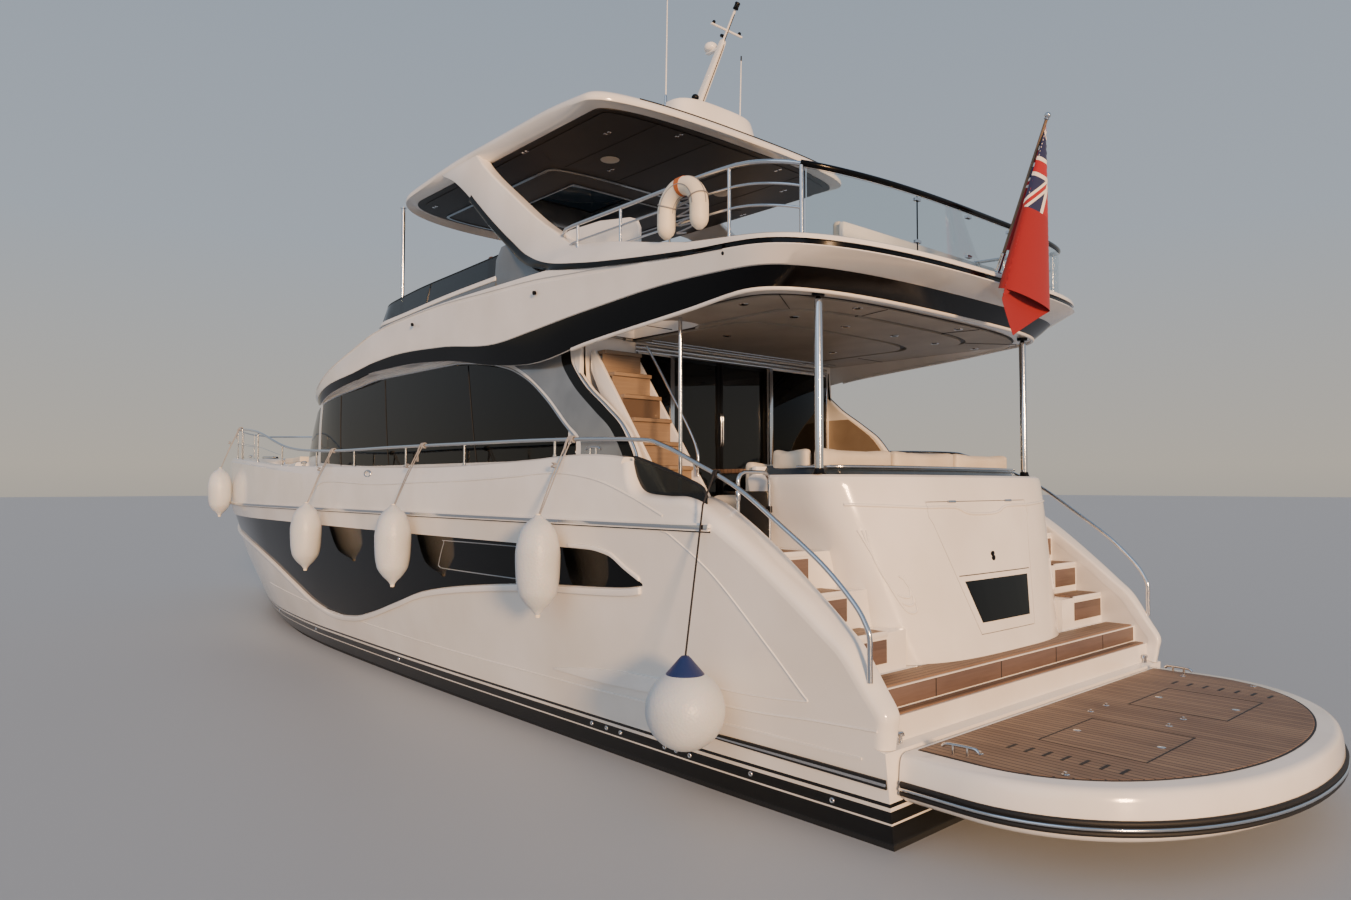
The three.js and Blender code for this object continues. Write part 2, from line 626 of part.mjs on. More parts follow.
function archNode(side) {
  const outlinePoints = [...archFore, [-4760, 4600], [-6740, 4500], ...archAft];
  const [low, high] = side > 0 ? [1990, 2150] : [-2150, -1990];
  const leg = clearOf(sideways(outlinePoints, low, high), hardtopBody);
  return largest(seatedOn(leg, flybridge));
}

const sunroofCut = { aft: -3050, fore: -1300, half: 800, slide: 900 };
const crownZ = 6870;

function hardtopNode() {
  const top = x => sample(hardtopLines, 1, x);
  const level = (inset, z) => outline({
    aft: hardtop.aft + inset, aftNose: 500, aftHalf: hardtop.half - inset, fore: hardtop.fore - inset,
    foreNose: 900, foreHalf: hardtop.half - inset - 30, power: 2.6,
  }, z);
  const slab = stack([
    level(140, hardtop.under), level(0, x => top(x) - 130), level(20, x => top(x) - 60), level(160, top),
    level(700, crownZ)]);
  return slab.subtract(block(sunroofCut.aft, sunroofCut.fore, -sunroofCut.half, sunroofCut.half, 6000, 7400));
}

const hardtopBody = hardtopNode();
node('hardtop', hardtopBody, gelcoat);
sides.forEach(([name, side]) => node(`arch_${name}`, archNode(side), gelcoat));
node('sunroof', block(sunroofCut.aft - 40, sunroofCut.fore + 40, -sunroofCut.half - 40, sunroofCut.half + 40,
  crownZ + seat, crownZ + 30), tintedGlass);
sides.forEach(([name, side]) => node(`hardtop_pole_${name}`,
  rod([-500, side * 1995, screenLine.base + seat], [-500, side * 1995, 6640], 28, 10)
    .subtract(hardtopBody.translate([0, 0, -seat])), chrome));

// Plinth with the aerials, and the mast that folds aft on it
const plinth = { aft: -5150, fore: -4150, half: 700, top: 7160 };
const mast = { x: -4600, z: 7260, topX: -5300, topZ: 8300 };

function plinthNode() {
  const line = (inset, z) => outline({
    aft: plinth.aft + inset, aftNose: 300, aftHalf: plinth.half - inset,
    fore: plinth.fore - inset, foreNose: 300,
  }, z);
  const cheeks = [-75, 55].map(y => block(mast.x - 70, mast.x + 70, y, y + 20, plinth.top - 10, mast.z + 60));
  const pin = rod([mast.x, -60, mast.z], [mast.x, 60, mast.z], 14, 10);
  const whips = sides.map(([, side]) => join(
    rod([-4750, side * 640, plinth.top - 60], [-4750, side * 640, plinth.top + 90], 22, 8),
    rod([-4750, side * 640, plinth.top + 60], [-4780, side * 640, plinth.top + 1300], 7, 6)));
  const disc = join(
    rod([-4480, -420, plinth.top - 20], [-4480, -420, plinth.top + 140], 20, 8),
    rod([-4480, -420, plinth.top + 130], [-4480, -420, plinth.top + 175], 120, 16, 60));
  const dome = join(
    rod([-4480, 380, plinth.top - 20], [-4480, 380, plinth.top + 60], 70, 12),
    rod([-4480, 380, plinth.top + 50], [-4480, 380, plinth.top + 130], 75, 12, 30));
  const base = stack([line(0, 6700), line(60, plinth.top)]);
  return seatedOn(base, hardtopBody).add(join(cheeks, pin, whips, disc, dome));
}

function mastNode() {
  const width = 50;
  const lean = Math.atan2(mast.x - mast.topX, mast.topZ - mast.z);
  const length = Math.hypot(mast.x - mast.topX, mast.topZ - mast.z);
  const along = (s, h) =>
    [mast.x - s * Math.sin(lean) + h * Math.cos(lean), mast.z + s * Math.cos(lean) + h * Math.sin(lean)];
  const bar = sideways([along(-60, -60), along(-60, 60), along(length, 35), along(length, -35)].reverse(),
    -width, width);
  const onMast = (s, y) => {
    const [x, z] = along(s, 0);
    return [x, y, z];
  };
  const lamp = rod(onMast(length - 10, 0), onMast(length + 90, 0), 35, 10);
  const [armX, armZ] = along(0.62 * length, 40);
  const dome = join(
    block(armX - 30, armX + 150, -25, 25, armZ - 15, armZ + 15),
    rod([armX + 130, 0, armZ - 10], [armX + 130, 0, armZ + 110], 85, 12, 50));
  const spreader = rod(onMast(0.8 * length, -260), onMast(0.8 * length, 260), 18, 8);
  const bore = rod([mast.x, -80, mast.z], [mast.x, 80, mast.z], 14 + running, 24);
  return join(bar, lamp, dome, spreader).subtract(bore);
}

node('aerial_plinth', plinthNode(), gelcoat);
node('mast', mastNode(), gelcoat);

// Rails of the flybridge: a top tube round the stern, two lower bars on each side, and glass aft
const rim = { aft: -8575, nose: 1005, half: 2315, foreHalf: 2270, fore: -5150 };
const rimPath = z => outline({
  aft: rim.aft, aftNose: rim.nose, aftHalf: rim.half, fore: rim.fore, foreHalf: rim.foreHalf,
}, z).slice(0, -1);
const flyRail = { drops: [180, 360], radius: 20, posts: [-5230, -5960, -6700, -7480] };
const flyRailLines = [
  // x, height of the top tube
  [-8575, 5000], [-8420, 5040], [-8000, 5150], [-7500, 5225], [-7000, 5240], [-4700, 5240],
];
const railTop = (drop = 0) => x => sample(flyRailLines, 1, x) - drop;
const atX = (path, x) => {
  const i = path.findIndex(p => p[0] > x);
  const t = (x - path[i - 1][0]) / (path[i][0] - path[i - 1][0]);
  return path[i - 1][1] + t * (path[i][1] - path[i - 1][1]);
};
const corner = 5;                 // point of the rim path where the glass ends

function flyRailNode() {
  const half = rimPath(railTop());
  const toArch = [-4800, 2150, 5240];
  const port = [...half, toArch];
  const topPath = [...port].reverse().concat(port.slice(1).map(([x, y, z]) => [x, -y, z]));
  const top = tube(topPath, flyRail.radius, 44);
  const parts = sides.flatMap(([, side]) => {
    const bars = flyRail.drops.map(drop => tube(
      half.slice(corner).concat([[-4600, 2150]]).map(([x, y]) => [x, side * y, railTop(drop)(x)]), 11, 30));
    const posts = flyRail.posts.map(x => {
      const y = side * atX(half, x);
      return rod([x, y, 4450], [x, y, railTop()(x)], 16);
    });
    const [x, y, z] = half[corner];
    return [...bars, ...posts, rod([x, side * y, 4380], [x, side * y, z], 20)];
  });
  const rail = clearOf(join(top, parts), join(archNode(1), archNode(-1)));
  return largest(seatedOn(rail, flybridge));
}

function flyGlassNode() {
  const wallOf = inset => outline({
    aft: rim.aft + inset, aftNose: rim.nose, aftHalf: rim.half - inset,
    fore: rim.fore, foreHalf: rim.half - inset,
  }, 0);
  const level = (inset, height) => wallOf(inset).map(([x, y]) => [x, y, height(x)]);
  const panel = stack([level(-6, () => 4380), level(-6, railTop(flyRail.radius + 8))])
    .subtract(stack([level(6, () => 4300), level(6, () => 5400)]));
  const [x, y] = rimPath(0)[corner];
  const aft = block(-9000, x - 40, -y + 24, y - 24, 4300, 5400);
  return seatedOn(panel.intersect(aft), flybridge);
}

const flyRailBody = flyRailNode();
node('fly_rail', flyRailBody, chrome);
node('fly_glass_aft', flyGlassNode(), tintedGlass);

// Guard rail from one quarter round the bow to the other, with its posts on the bulwark cap
const guardLines = [
  // x, height of the rail
  [-8960, 1540], [-8860, 1690], [-8590, 1950], [-8200, 2230], [-7780, 2510], [-7320, 2720], [-6870, 2880],
  [-6530, 2940], [-5260, 2985], [-3660, 3005], [-1570, 3025], [700, 3040], [2500, 3150], [4330, 3490],
  [7300, 3690], [9875, 3740], [10900, 3760], [11450, 3770],
];
const guardPosts = [-5260, -3450, -1930, -280, 1170, 2790, 4270, 5900, 7500, 9000, 10300];
const railHalf = x => Math.max(60, knuckleHalf(x - 150) - 165);
const guardRadius = 20;

function guardrailNode(hull, deck) {
  const port = guardLines.map(([x, z]) => [x, x < -7000 ? 2450 + 135 * (x + 9000) / 2000 : railHalf(x), z]);
  const foot = [[-8985, 2450, 1150], [-8985, 2450, 1350]];
  const half = [...foot, ...port];
  const path = half.concat([[11600, 0, 3770]], [...half].reverse().map(([x, y, z]) => [x, -y, z]));
  const posts = sides.flatMap(([, side]) => guardPosts.map(x => rod(
    [x, side * railHalf(x), sheer(2)(x) - 60], [x, side * railHalf(x), sample(guardLines, 1, x)], 13, 6)));
  const rail = join(tube(path, guardRadius, 100), posts);
  return seatedOn(seatedOn(rail, deck), hull);
}

const hull = hullNode();
node('hull', hull, gelcoat);
const deck = deckNode().subtract(houseFoot());
const guardrail = guardrailNode(hull, deck);
node('guardrail', guardrail, chrome);

// Gates at the head of the stern stairs, each hinged on the quarter
const gate = { x: -7540, inner: 1890, outer: 2278, low: 2030, top: 2640, bend: 90 };
sides.forEach(([name, side]) => {
  const at = (y, z) => [gate.x, side * y, z];
  const bend = (y, from, to) => range(from, to, 3).map(t =>
    at(y + gate.bend * Math.cos(t), gate.top - gate.bend + gate.bend * Math.sin(t)));
  const frame = tube([
    at(gate.inner, gate.low), at(gate.inner, gate.top - 2 * gate.bend),
    ...bend(gate.inner + gate.bend, Math.PI, Math.PI / 2), ...bend(gate.outer - gate.bend, Math.PI / 2, 0),
    at(gate.outer, gate.top - 2 * gate.bend), at(gate.outer, gate.low)],
  17, 24);
  const [low, high] = side > 0 ? [gate.inner, gate.outer] : [-gate.outer, -gate.inner];
  const knuckles = [2100, 2400].map(z =>
    rod([gate.x, side * gate.outer, z], [gate.x, side * gate.outer, z + 80],
      sternHalf - gate.outer - seat, 16));
  node(`gate_${name}`, join(frame, knuckles, block(gate.x - 6, gate.x + 6, low, high, 2060, 2480)), chrome);
});

// Ensign on its raked staff
const staff = { x: -8640, z: 4440, topX: -9150, topZ: 5800 };

function staffNode() {
  return seatedOn(join(
    rod([staff.x + 20, 0, staff.z - 55], [staff.topX, 0, staff.topZ], 18, 10, 14),
    rod([staff.topX + 3, 0, staff.topZ - 8], [staff.topX - 12, 0, staff.topZ + 32], 28, 10)), flybridge);
}

const staffAt = (z, off) => staff.x + (staff.topX - staff.x) * (z - staff.z) / (staff.topZ - staff.z) + off;
node('ensign_staff', staffNode(), teak);
const ensign = sideways([
  [staffAt(5700, -14), 5700], [staffAt(4780, -14), 4780], [staffAt(4780, -30), 4250],
  [staffAt(4780, -210), 4230],
  [staffAt(5200, -230), 5200], [staffAt(5600, -120), 5600]], -60, 60);
node('ensign', clearOf(ensign, staffNode()), redCloth);

// Lifebuoy on the rail, helm and seating of the flybridge
const buoy = { x: -6990, low: 4760, top: 5250, half: 215, radius: 85 };

function buoyNode() {
  const y = atX(rimPath(0), buoy.x) + flyRail.radius + buoy.radius - 8;
  const arc = range(0, Math.PI, 8).map(t =>
    [buoy.x - buoy.half * Math.cos(t), y, buoy.top - buoy.radius - buoy.half * (1 - Math.sin(t))]);
  const ends = [-buoy.half, buoy.half].map(step => [buoy.x + step, y, buoy.low]);
  const ring = tube([ends[0], ...arc, ends[1]], buoy.radius, 20, 8);
  return clearOf(ring, flyRailBody);
}

const flyFloor = flyDeckZ + seat;
const consoleSide = [[-700, 5000], [-450, 5180], [-100, 5120], [-100, flyFloor], [-650, flyFloor]];
const console = sideways(consoleSide, 150, 1350);
const helmSeat = join(
  block(-1650, -1150, 250, 1250, flyFloor, 4800),
  block(-1700, -1100, 200, 1300, 4790, 4930),
  sideways([[-1560, 4900], [-1420, 4900], [-1520, 5850], [-1640, 5850]], 300, 1200));
const flySofa = join(
  block(-7600, -5500, -1950, -1250, flyFloor, 4780),
  block(-7600, -5500, -1950, -1750, 4700, 5080),
  block(-7600, -6900, -1950, 900, flyFloor, 4780),
  block(-7600, -7420, -1950, 900, 4700, 5080));
node('lifebuoy', buoyNode(), vinyl);
node('fly_console', console, gelcoat);
node('helm_seat', helmSeat, darkHide);
node('fly_sofa', flySofa, cream);

// Sunpad on the coachroof and the anchor on its roller at the stem
const padLine = outline({ aft: 6250, aftHalf: 1080, fore: 8750, foreNose: 1150, foreHalf: 760 }, 0);
const padLevels = [3010 + seat, 3130].map(z => padLine.map(([x, y]) => [x, y, z]));
node('foredeck_sunpad', stack(padLevels),
  cream);
const anchorFoot = sheerLines.at(-1)[2] + seat;
const anchorParts = join(
  sideways([[11050, 0], [11850, 0], [11850, 80], [11050, 60]].map(([x, up]) => [x, anchorFoot + up]),
    -20, 20),
  sideways([[11700, 3260], [11980, 3260], [11900, 2960], [11760, 2820]], -22, 22),
  lengthways([[-190, 2960], [190, 2960], [0, 2780]].reverse(), 11760, 11790));
node('anchor', anchorParts, chrome);

// Running gear
const shaftTilt = Math.atan2(shaft.fromZ - shaft.toZ, shaft.fromX - shaft.toX) * 180 / Math.PI;
const propeller = { radius: 430, hub: 78, length: 240, blades: 4 };

function propellerNode(side) {
  const hub = rod([-seat, 0, 0], [-propeller.length, 0, 0], propeller.hub, 12, 45);
  const outlinePoints = range(0, Math.PI, 8).map(t =>
    [170 * Math.sin(t) ** 0.8, 60 + (propeller.radius - 60) * (1 - Math.cos(t)) / 2]);
  const leaf = outlinePoints.concat([...outlinePoints].reverse().slice(1, -1).map(([w, r]) => [-w, r]));
  const blade = solid(extrusion(leaf.reverse(), 16).translate(0, 0, -8))
    .rotate([90, 0, 0]).rotate([0, 0, side * 62]).translate([-120, 0, 0]);
  const blades = range(0, propeller.blades - 1, propeller.blades - 1)
    .map(n => blade.rotate([360 * n / propeller.blades, 0, 0]));
  return join(hub, blades).rotate([0, -shaftTilt, 0]).translate([shaft.toX, side * shaft.y, shaft.toZ]);
}

function rudderNode(side) {
  const y = side * shaft.y;
  return sideways([
    [rudder.x + rudder.fore, rudder.top], [rudder.x + rudder.fore - 40, rudder.low],
    [rudder.x + rudder.aft + 90, rudder.low], [rudder.x + rudder.aft, rudder.top]], y - 28, y + 28);
}

const deadrise = (knee, y) => hullLines[0][4] + (Math.abs(y) - keelHalf)
  * (hullLines[0][5] - hullLines[0][4]) / (hullLines[0][1] - keelHalf) + knee;

function tabNode(side) {
  const [near, far] = [side * 650, side * 1250];
  const edge = [
    [near, deadrise(6, near)], [far, deadrise(6, far)],
    [far, deadrise(30, far)], [near, deadrise(30, near)]];
  return lengthways(side > 0 ? edge : edge.reverse(), transomX - 350, transomX - seat);
}

sides.forEach(([name, side]) => {
  node(`propeller_${name}`, propellerNode(side), bronze);
  node(`rudder_${name}`, rudderNode(side), bronze);
  node(`trim_tab_${name}`, tabNode(side), chrome);
});

// Fenders hang outboard on the port side, each with its lanyard to the guard rail
const fenders = [
  // name, x, low, top, radius
  ['fender_1', 6150, 1930, 2860, 215],
  ['fender_2', 480, 1310, 2270, 215],
  ['fender_3', -2425, 1320, 2290, 215],
  ['fender_4', -5550, 1290, 2245, 215],
  ['fender_ball', -7560, 465, 1200, 315],
];

// Side view of a hung fender: share of its height, share of its radius
const fenderShape = [
  [0, 0.1], [0.05, 0.22], [0.13, 0.57], [0.24, 0.86], [0.4, 0.97],
  [0.6, 1], [0.8, 0.85], [0.89, 0.66], [0.95, 0.4], [1, 0.16],
];

function fenderNode([name, x, low, top, radius]) {
  const ball = name === 'fender_ball';
  const profile = ball
    ? [...range(-Math.PI / 2, 1.15, 8).map(t => [radius * Math.cos(t), low + radius + radius * Math.sin(t)]),
      [50, top - 20], [30, top], [0, top]]
    : [[0, low], ...fenderShape.map(([up, out]) => [radius * out, low + (top - low) * up]), [0, top]];
  const points = profile.map(([r, z]) => new THREE.Vector2(r < 1e-6 ? 0 : r, z));
  const half = knuckleHalf(x) + (ball ? -110 : 0);
  const y = half + radius + 6;
  const body = solid(new THREE.LatheGeometry(points, 12).rotateX(Math.PI / 2).translate(x, y, 0));
  const railY = x < -7000 ? 2450 + 135 * (x + 9000) / 2000 : railHalf(x);
  const railZ = sample(guardLines, 1, x);
  const overEdge = ball ? [x, knuckleHalf(x) + 18, 2370] : [x, (y + railY) / 2 + 20, (top + railZ) / 2];
  const lanyard = join(
    rod([x, y, top - 30], overEdge, 9, 6),
    rod([overEdge[0], overEdge[1] + 1, overEdge[2] - 6], [x, railY + 24, railZ], 9, 6),
    rod([x - 25, railY + 24, railZ], [x + 25, railY + 24, railZ], 22, 8));
  return clearOf(body.add(lanyard), guardrail);
}

fenders.forEach(row => node(row[0], fenderNode(row), vinyl));

node('deck', deck, gelcoat);

export default yacht;
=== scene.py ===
# A flybridge motor yacht with a hardtop, afloat, seen over its port quarter in low evening sun.
# Metres; +X to the bow, +Y to port, +Z up, with the origin on the centreline at the waterline.
from math import acos, atan2, copysign, cos, hypot, pi, radians, sin, tan

import bmesh
import bpy
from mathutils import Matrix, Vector
from mathutils.bvhtree import BVHTree


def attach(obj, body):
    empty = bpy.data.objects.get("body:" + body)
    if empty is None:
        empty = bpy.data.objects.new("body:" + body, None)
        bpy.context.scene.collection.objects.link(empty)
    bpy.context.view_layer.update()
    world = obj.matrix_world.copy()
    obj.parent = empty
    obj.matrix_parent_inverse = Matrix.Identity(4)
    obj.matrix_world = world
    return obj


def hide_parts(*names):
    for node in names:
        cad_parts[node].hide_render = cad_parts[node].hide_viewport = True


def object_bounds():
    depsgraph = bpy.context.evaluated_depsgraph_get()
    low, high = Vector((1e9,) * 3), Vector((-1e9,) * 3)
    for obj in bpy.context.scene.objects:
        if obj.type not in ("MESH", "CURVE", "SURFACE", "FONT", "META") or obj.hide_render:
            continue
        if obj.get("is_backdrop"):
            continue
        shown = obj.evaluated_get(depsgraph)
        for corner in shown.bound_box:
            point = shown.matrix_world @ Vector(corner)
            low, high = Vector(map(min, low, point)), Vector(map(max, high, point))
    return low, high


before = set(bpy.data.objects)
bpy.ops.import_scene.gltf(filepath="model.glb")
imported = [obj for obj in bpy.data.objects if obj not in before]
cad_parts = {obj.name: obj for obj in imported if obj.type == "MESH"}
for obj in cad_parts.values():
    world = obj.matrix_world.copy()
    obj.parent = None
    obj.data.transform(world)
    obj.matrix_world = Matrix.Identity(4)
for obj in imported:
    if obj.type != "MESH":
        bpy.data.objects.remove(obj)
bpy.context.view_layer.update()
scene = bpy.context.scene
SIDES = (("port", 1), ("stbd", -1))


def new_object(name, data):
    """An object of the scene that shows the data."""
    obj = bpy.data.objects.new(name, data)
    scene.collection.objects.link(obj)
    return obj


# Camera: over the port quarter at eye height on the quay
camera_data = bpy.data.cameras.new("camera")
camera_data.sensor_width = 36
camera_data.lens = 23.98
camera_data.clip_end = 300
camera = new_object("camera", camera_data)
camera.location = (-12.8, 7.68, 2.53)
turn, rise = radians(41.8), radians(2.23)
look = Vector((cos(turn) * cos(rise), -sin(turn) * cos(rise), sin(rise)))
camera.rotation_euler = look.to_track_quat("-Z", "Y").to_euler()
scene.camera = camera

# Driving dimensions
TRANSOM = -9.1
KEEL_HALF = 0.04
KNUCKLE = 2.19
STEM = {"keel": 10.95, "chine": 11.23, "side": 11.37, "knuckle": 11.45, "crease": 11.56, "cap": 11.65}
BOOT_TOP = 0.325
FLY_DECK = 4.35
COCKPIT_SOLE = 1.98
STERN_HALF = 2.3
HULL_LINES = (
    # u, chine, side and knuckle half-breadth, keel, chine and side height
    (0.00, 2.33, 2.48, 2.60, -0.93, -0.12, 1.00),
    (0.10, 2.37, 2.56, 2.70, -0.96, -0.12, 1.00),
    (0.30, 2.36, 2.60, 2.75, -1.00, -0.11, 1.00),
    (0.50, 2.27, 2.56, 2.75, -1.03, -0.06, 1.02),
    (0.62, 2.08, 2.45, 2.69, -1.03, 0.03, 1.08),
    (0.74, 1.69, 2.09, 2.40, -0.96, 0.21, 1.19),
    (0.84, 1.16, 1.51, 1.80, -0.74, 0.45, 1.31),
    (0.92, 0.62, 0.88, 1.10, -0.38, 0.68, 1.41),
    (0.97, 0.26, 0.37, 0.48, 0.00, 0.83, 1.47),
    (1.00, 0.02, 0.02, 0.02, 0.33, 0.93, 1.50),
)
SHEER_LINES = (
    # x, shoulder crease, bulwark cap, side deck
    (-7.90, 2.200, 2.420, 2.23),
    (-7.00, 2.285, 2.640, 2.23),
    (-6.37, 2.500, 2.795, 2.23),
    (-5.78, 2.590, 2.825, 2.23),
    (-4.94, 2.620, 2.790, 2.23),
    (-3.00, 2.560, 2.750, 2.23),
    (-0.51, 2.610, 2.790, 2.23),
    (2.32, 2.760, 2.845, 2.29),
    (4.88, 2.920, 2.990, 2.48),
    (8.00, 3.030, 3.110, 2.70),
    (11.65, 3.100, 3.200, 2.90),
)
# Top of the quarter in side view, from the side deck down to the platform
QUARTER_EDGE = (
    (-6.54, 2.75), (-6.6, 2.58), (-6.72, 2.47), (-7.0, 2.44), (-7.28, 2.43), (-7.55, 2.33), (-7.99, 2.06),
    (-8.4, 1.75), (-8.68, 1.52), (-8.85, 1.37), (-9.02, 1.12), (-9.13, 0.95), (-9.12, 0.82), (-9.1, 0.69),
)
FLY_LINES = (
    # x, underside, lower and upper edge of the black band, top of the white band
    (-8.73, 4.15, 4.110, 4.240, 4.420),
    (-7.80, 4.15, 4.160, 4.320, 4.540),
    (-6.89, 4.15, 4.090, 4.345, 4.600),
    (-5.42, 4.15, 3.980, 4.280, 4.700),
    (-4.40, 4.15, 3.870, 4.205, 4.775),
    (-3.67, 4.15, 3.920, 4.160, 4.795),
    (-2.33, 4.15, 4.110, 4.280, 4.830),
    (-1.00, 4.15, 4.180, 4.335, 4.800),
    (-0.14, 4.15, 4.180, 4.300, 4.730),
    (0.60, 4.12, 4.110, 4.220, 4.580),
    (1.66, 4.05, 4.020, 4.150, 4.380),
    (2.70, 3.94, 3.900, 4.030, 4.170),
    (4.40, 3.76, 3.720, 3.840, 3.950),
)
HARDTOP_LINE = ((-5.6, 6.7), (-4.2, 6.8), (-2.6, 6.8), (-1.2, 6.73), (-0.15, 6.62))
GUARD_LINE = (
    # x, height of the rail
    (-8.96, 1.54), (-8.86, 1.69), (-8.59, 1.95), (-8.20, 2.23), (-7.78, 2.51), (-7.32, 2.72), (-6.87, 2.88),
    (-6.53, 2.94), (-5.26, 2.985), (-3.66, 3.005), (-1.57, 3.025), (0.70, 3.04), (2.50, 3.15), (4.33, 3.49),
    (7.30, 3.69), (9.875, 3.74), (10.90, 3.76), (11.45, 3.77),
)
GUARD_POSTS = (-5.26, -3.45, -1.93, -0.28, 1.17, 2.79, 4.27, 5.9, 7.5, 9.0, 10.3)
HULL_WINDOW = (
    # x, lower edge, upper edge
    (-6.74, 1.650, 1.670),
    (-6.52, 1.615, 1.775),
    (-6.30, 1.597, 1.890),
    (-6.00, 1.580, 1.930),
    (-5.18, 1.540, 1.935),
    (-3.68, 1.400, 1.935),
    (-2.57, 1.240, 1.935),
    (-1.71, 1.020, 1.937),
    (-0.85, 0.800, 1.938),
    (-0.23, 0.680, 1.940),
    (0.60, 0.620, 1.943),
    (1.33, 0.700, 1.946),
    (2.32, 0.960, 1.950),
    (3.33, 1.230, 1.950),
    (4.34, 1.430, 1.950),
    (5.33, 1.540, 1.950),
    (7.20, 1.690, 1.955),
    (8.15, 1.780, 1.920),
    (8.35, 1.840, 1.860),
)
SALOON_ARC = (
    # x, upper edge of the side glass
    (-5.08, 2.99), (-4.84, 3.16), (-4.45, 3.47), (-4.03, 3.73), (-3.58, 3.90), (-3.00, 4.01),
    (-2.20, 4.08), (0.00, 4.085), (0.90, 4.02), (1.70, 3.96), (2.50, 3.88),
)


# Shape helpers
def spread(start, stop, count):
    return [start + (stop - start) * i / count for i in range(count + 1)]


def around(count):
    """Angles of a full turn in equal steps."""
    return spread(0, 2 * pi, count)[:-1]


def sample(table, column, key):
    """A column of a table by monotone cubic interpolation over its first column."""
    last = len(table) - 1
    if key <= table[0][0]:
        return table[0][column]
    if key >= table[last][0]:
        return table[last][column]
    slope = [(table[i + 1][column] - table[i][column]) / (table[i + 1][0] - table[i][0]) for i in range(last)]
    tangent = [slope[0]]
    for before, after in zip(slope, slope[1:]):
        tangent.append(0 if before * after <= 0 else 2 * before * after / (before + after))
    tangent.append(slope[-1])
    i = max(k for k in range(last) if table[k][0] <= key)
    h = table[i + 1][0] - table[i][0]
    t = (key - table[i][0]) / h
    return (table[i][column] * (1 + 2 * t) * (1 - t) ** 2 + table[i + 1][column] * t * t * (3 - 2 * t)
            + h * tangent[i] * t * (1 - t) ** 2 - h * tangent[i + 1] * t * t * (1 - t))


def flowing(points, per=8):
    """A smooth line through points, with that many steps between each pair."""
    points = [Vector(p) for p in points]
    line = []
    for i in range(len(points) - 1):
        a = points[i - 1] if i else 2 * points[0] - points[1]
        b, c = points[i], points[i + 1]
        d = points[i + 2] if i + 2 < len(points) else 2 * points[-1] - points[-2]
        for t in spread(0, 1, per)[:-1]:
            line.append(0.5 * (2 * b + (c - a) * t + (2 * a - 5 * b + 4 * c - d) * t * t
                               + (3 * b - a - 3 * c + d) * t ** 3))
    return line + [points[-1]]


def side_line(points, per=8):
    """A smooth line through points of (x, z) on the centreline's plane."""
    return flowing([(x, 0, z) for x, z in points], per)


def half_line(z, aft, fore, half, fore_half=None, aft_nose=0.0, fore_nose=0.0, power=3.0,
              aft_power=None, fine=3):
    """Port half of a closed outline from its aft end on the centreline to its fore end, at height z(x)."""
    fore_half = half if fore_half is None else fore_half
    height = z if callable(z) else (lambda x: z)

    def corner(x, length, width, sign, t, p):
        return x + sign * length * sin(t) ** (2 / p), width * max(0.0, cos(t)) ** (2 / p)

    line = []
    if aft_nose > 0:
        for t in spread(pi / 2, 0, 8 * fine):
            line.append(corner(aft + aft_nose, aft_nose, half, -1, t, aft_power or power))
    else:
        line += [(aft, half * k / 6) for k in range(7)]
    for t in spread(0, 1, 12 * fine)[1:-1]:
        line.append((aft + aft_nose + (fore - fore_nose - aft - aft_nose) * t, half + (fore_half - half) * t))
    if fore_nose > 0:
        for t in spread(0, pi / 2, 10 * fine):
            line.append(corner(fore - fore_nose, fore_nose, fore_half, 1, t, power))
    else:
        line += [(fore, fore_half * k / 6) for k in range(6, -1, -1)]
    line[0] = (line[0][0], 0.0)
    line[-1] = (line[-1][0], 0.0)
    return [(x, y, height(x)) for x, y in line]


def slab_of(line, low, high):
    """Flat form between two heights over one outline, given as its port half."""
    return stack([[(x, y, z) for x, y, _ in line] for z in (low, high)])


def refine(levels, per, breaks=()):
    """Levels smoothed into per steps each, with a hard edge at the levels that breaks names."""
    cuts = [0, *breaks, len(levels) - 1]
    fine = []
    for low, high in zip(cuts, cuts[1:]):
        columns = [flowing([levels[k][i] for k in range(low, high + 1)], per) for i in range(len(levels[0]))]
        rows = [[column[r] for column in columns] for r in range(len(columns[0]))]
        fine += rows if not fine else rows[1:]
    return fine


def closed_line(half):
    """The whole outline from its port half."""
    return list(half) + [(x, -y, z) for x, y, z in reversed(half[1:-1])]


def to_starboard(run):
    return [Vector((p[0], -p[1], p[2])) for p in run]


def both_runs(*runs):
    """Runs of the port side, then their mirror images."""
    return [*runs, *[to_starboard(run) for run in runs]]


def stack(levels):
    """Closed skin of a form that is symmetric about the centreline, from the port halves of its levels."""
    rings = [closed_line(level) for level in levels]
    count, half = len(rings[0]), len(levels[0])
    points = [tuple(p) for ring in rings for p in ring]
    faces = []
    for r in range(len(rings) - 1):
        for i in range(count):
            j = (i + 1) % count
            faces.append((r * count + i, (r + 1) * count + i, (r + 1) * count + j, r * count + j))
    top = (len(rings) - 1) * count
    for i in range(half - 1):
        a, b, c, d = i, i + 1, (count - i - 1) % count, (count - i) % count
        faces.append((a, b, c, d))
        faces.append((top + d, top + c, top + b, top + a))
    return points, faces


def loft(rows, round_rows=False, ends=False):
    """Skin over rows of equal length; round_rows joins each row's end to its start."""
    count = len(rows[0])
    points = [tuple(p) for row in rows for p in row]
    faces = []
    for r in range(len(rows) - 1):
        for i in range(count if round_rows else count - 1):
            j = (i + 1) % count
            faces.append((r * count + i, (r + 1) * count + i, (r + 1) * count + j, r * count + j))
    if ends:
        faces.append(tuple(range(count)))
        faces.append(tuple(range((len(rows) - 1) * count, len(rows) * count))[::-1])
    return points, faces


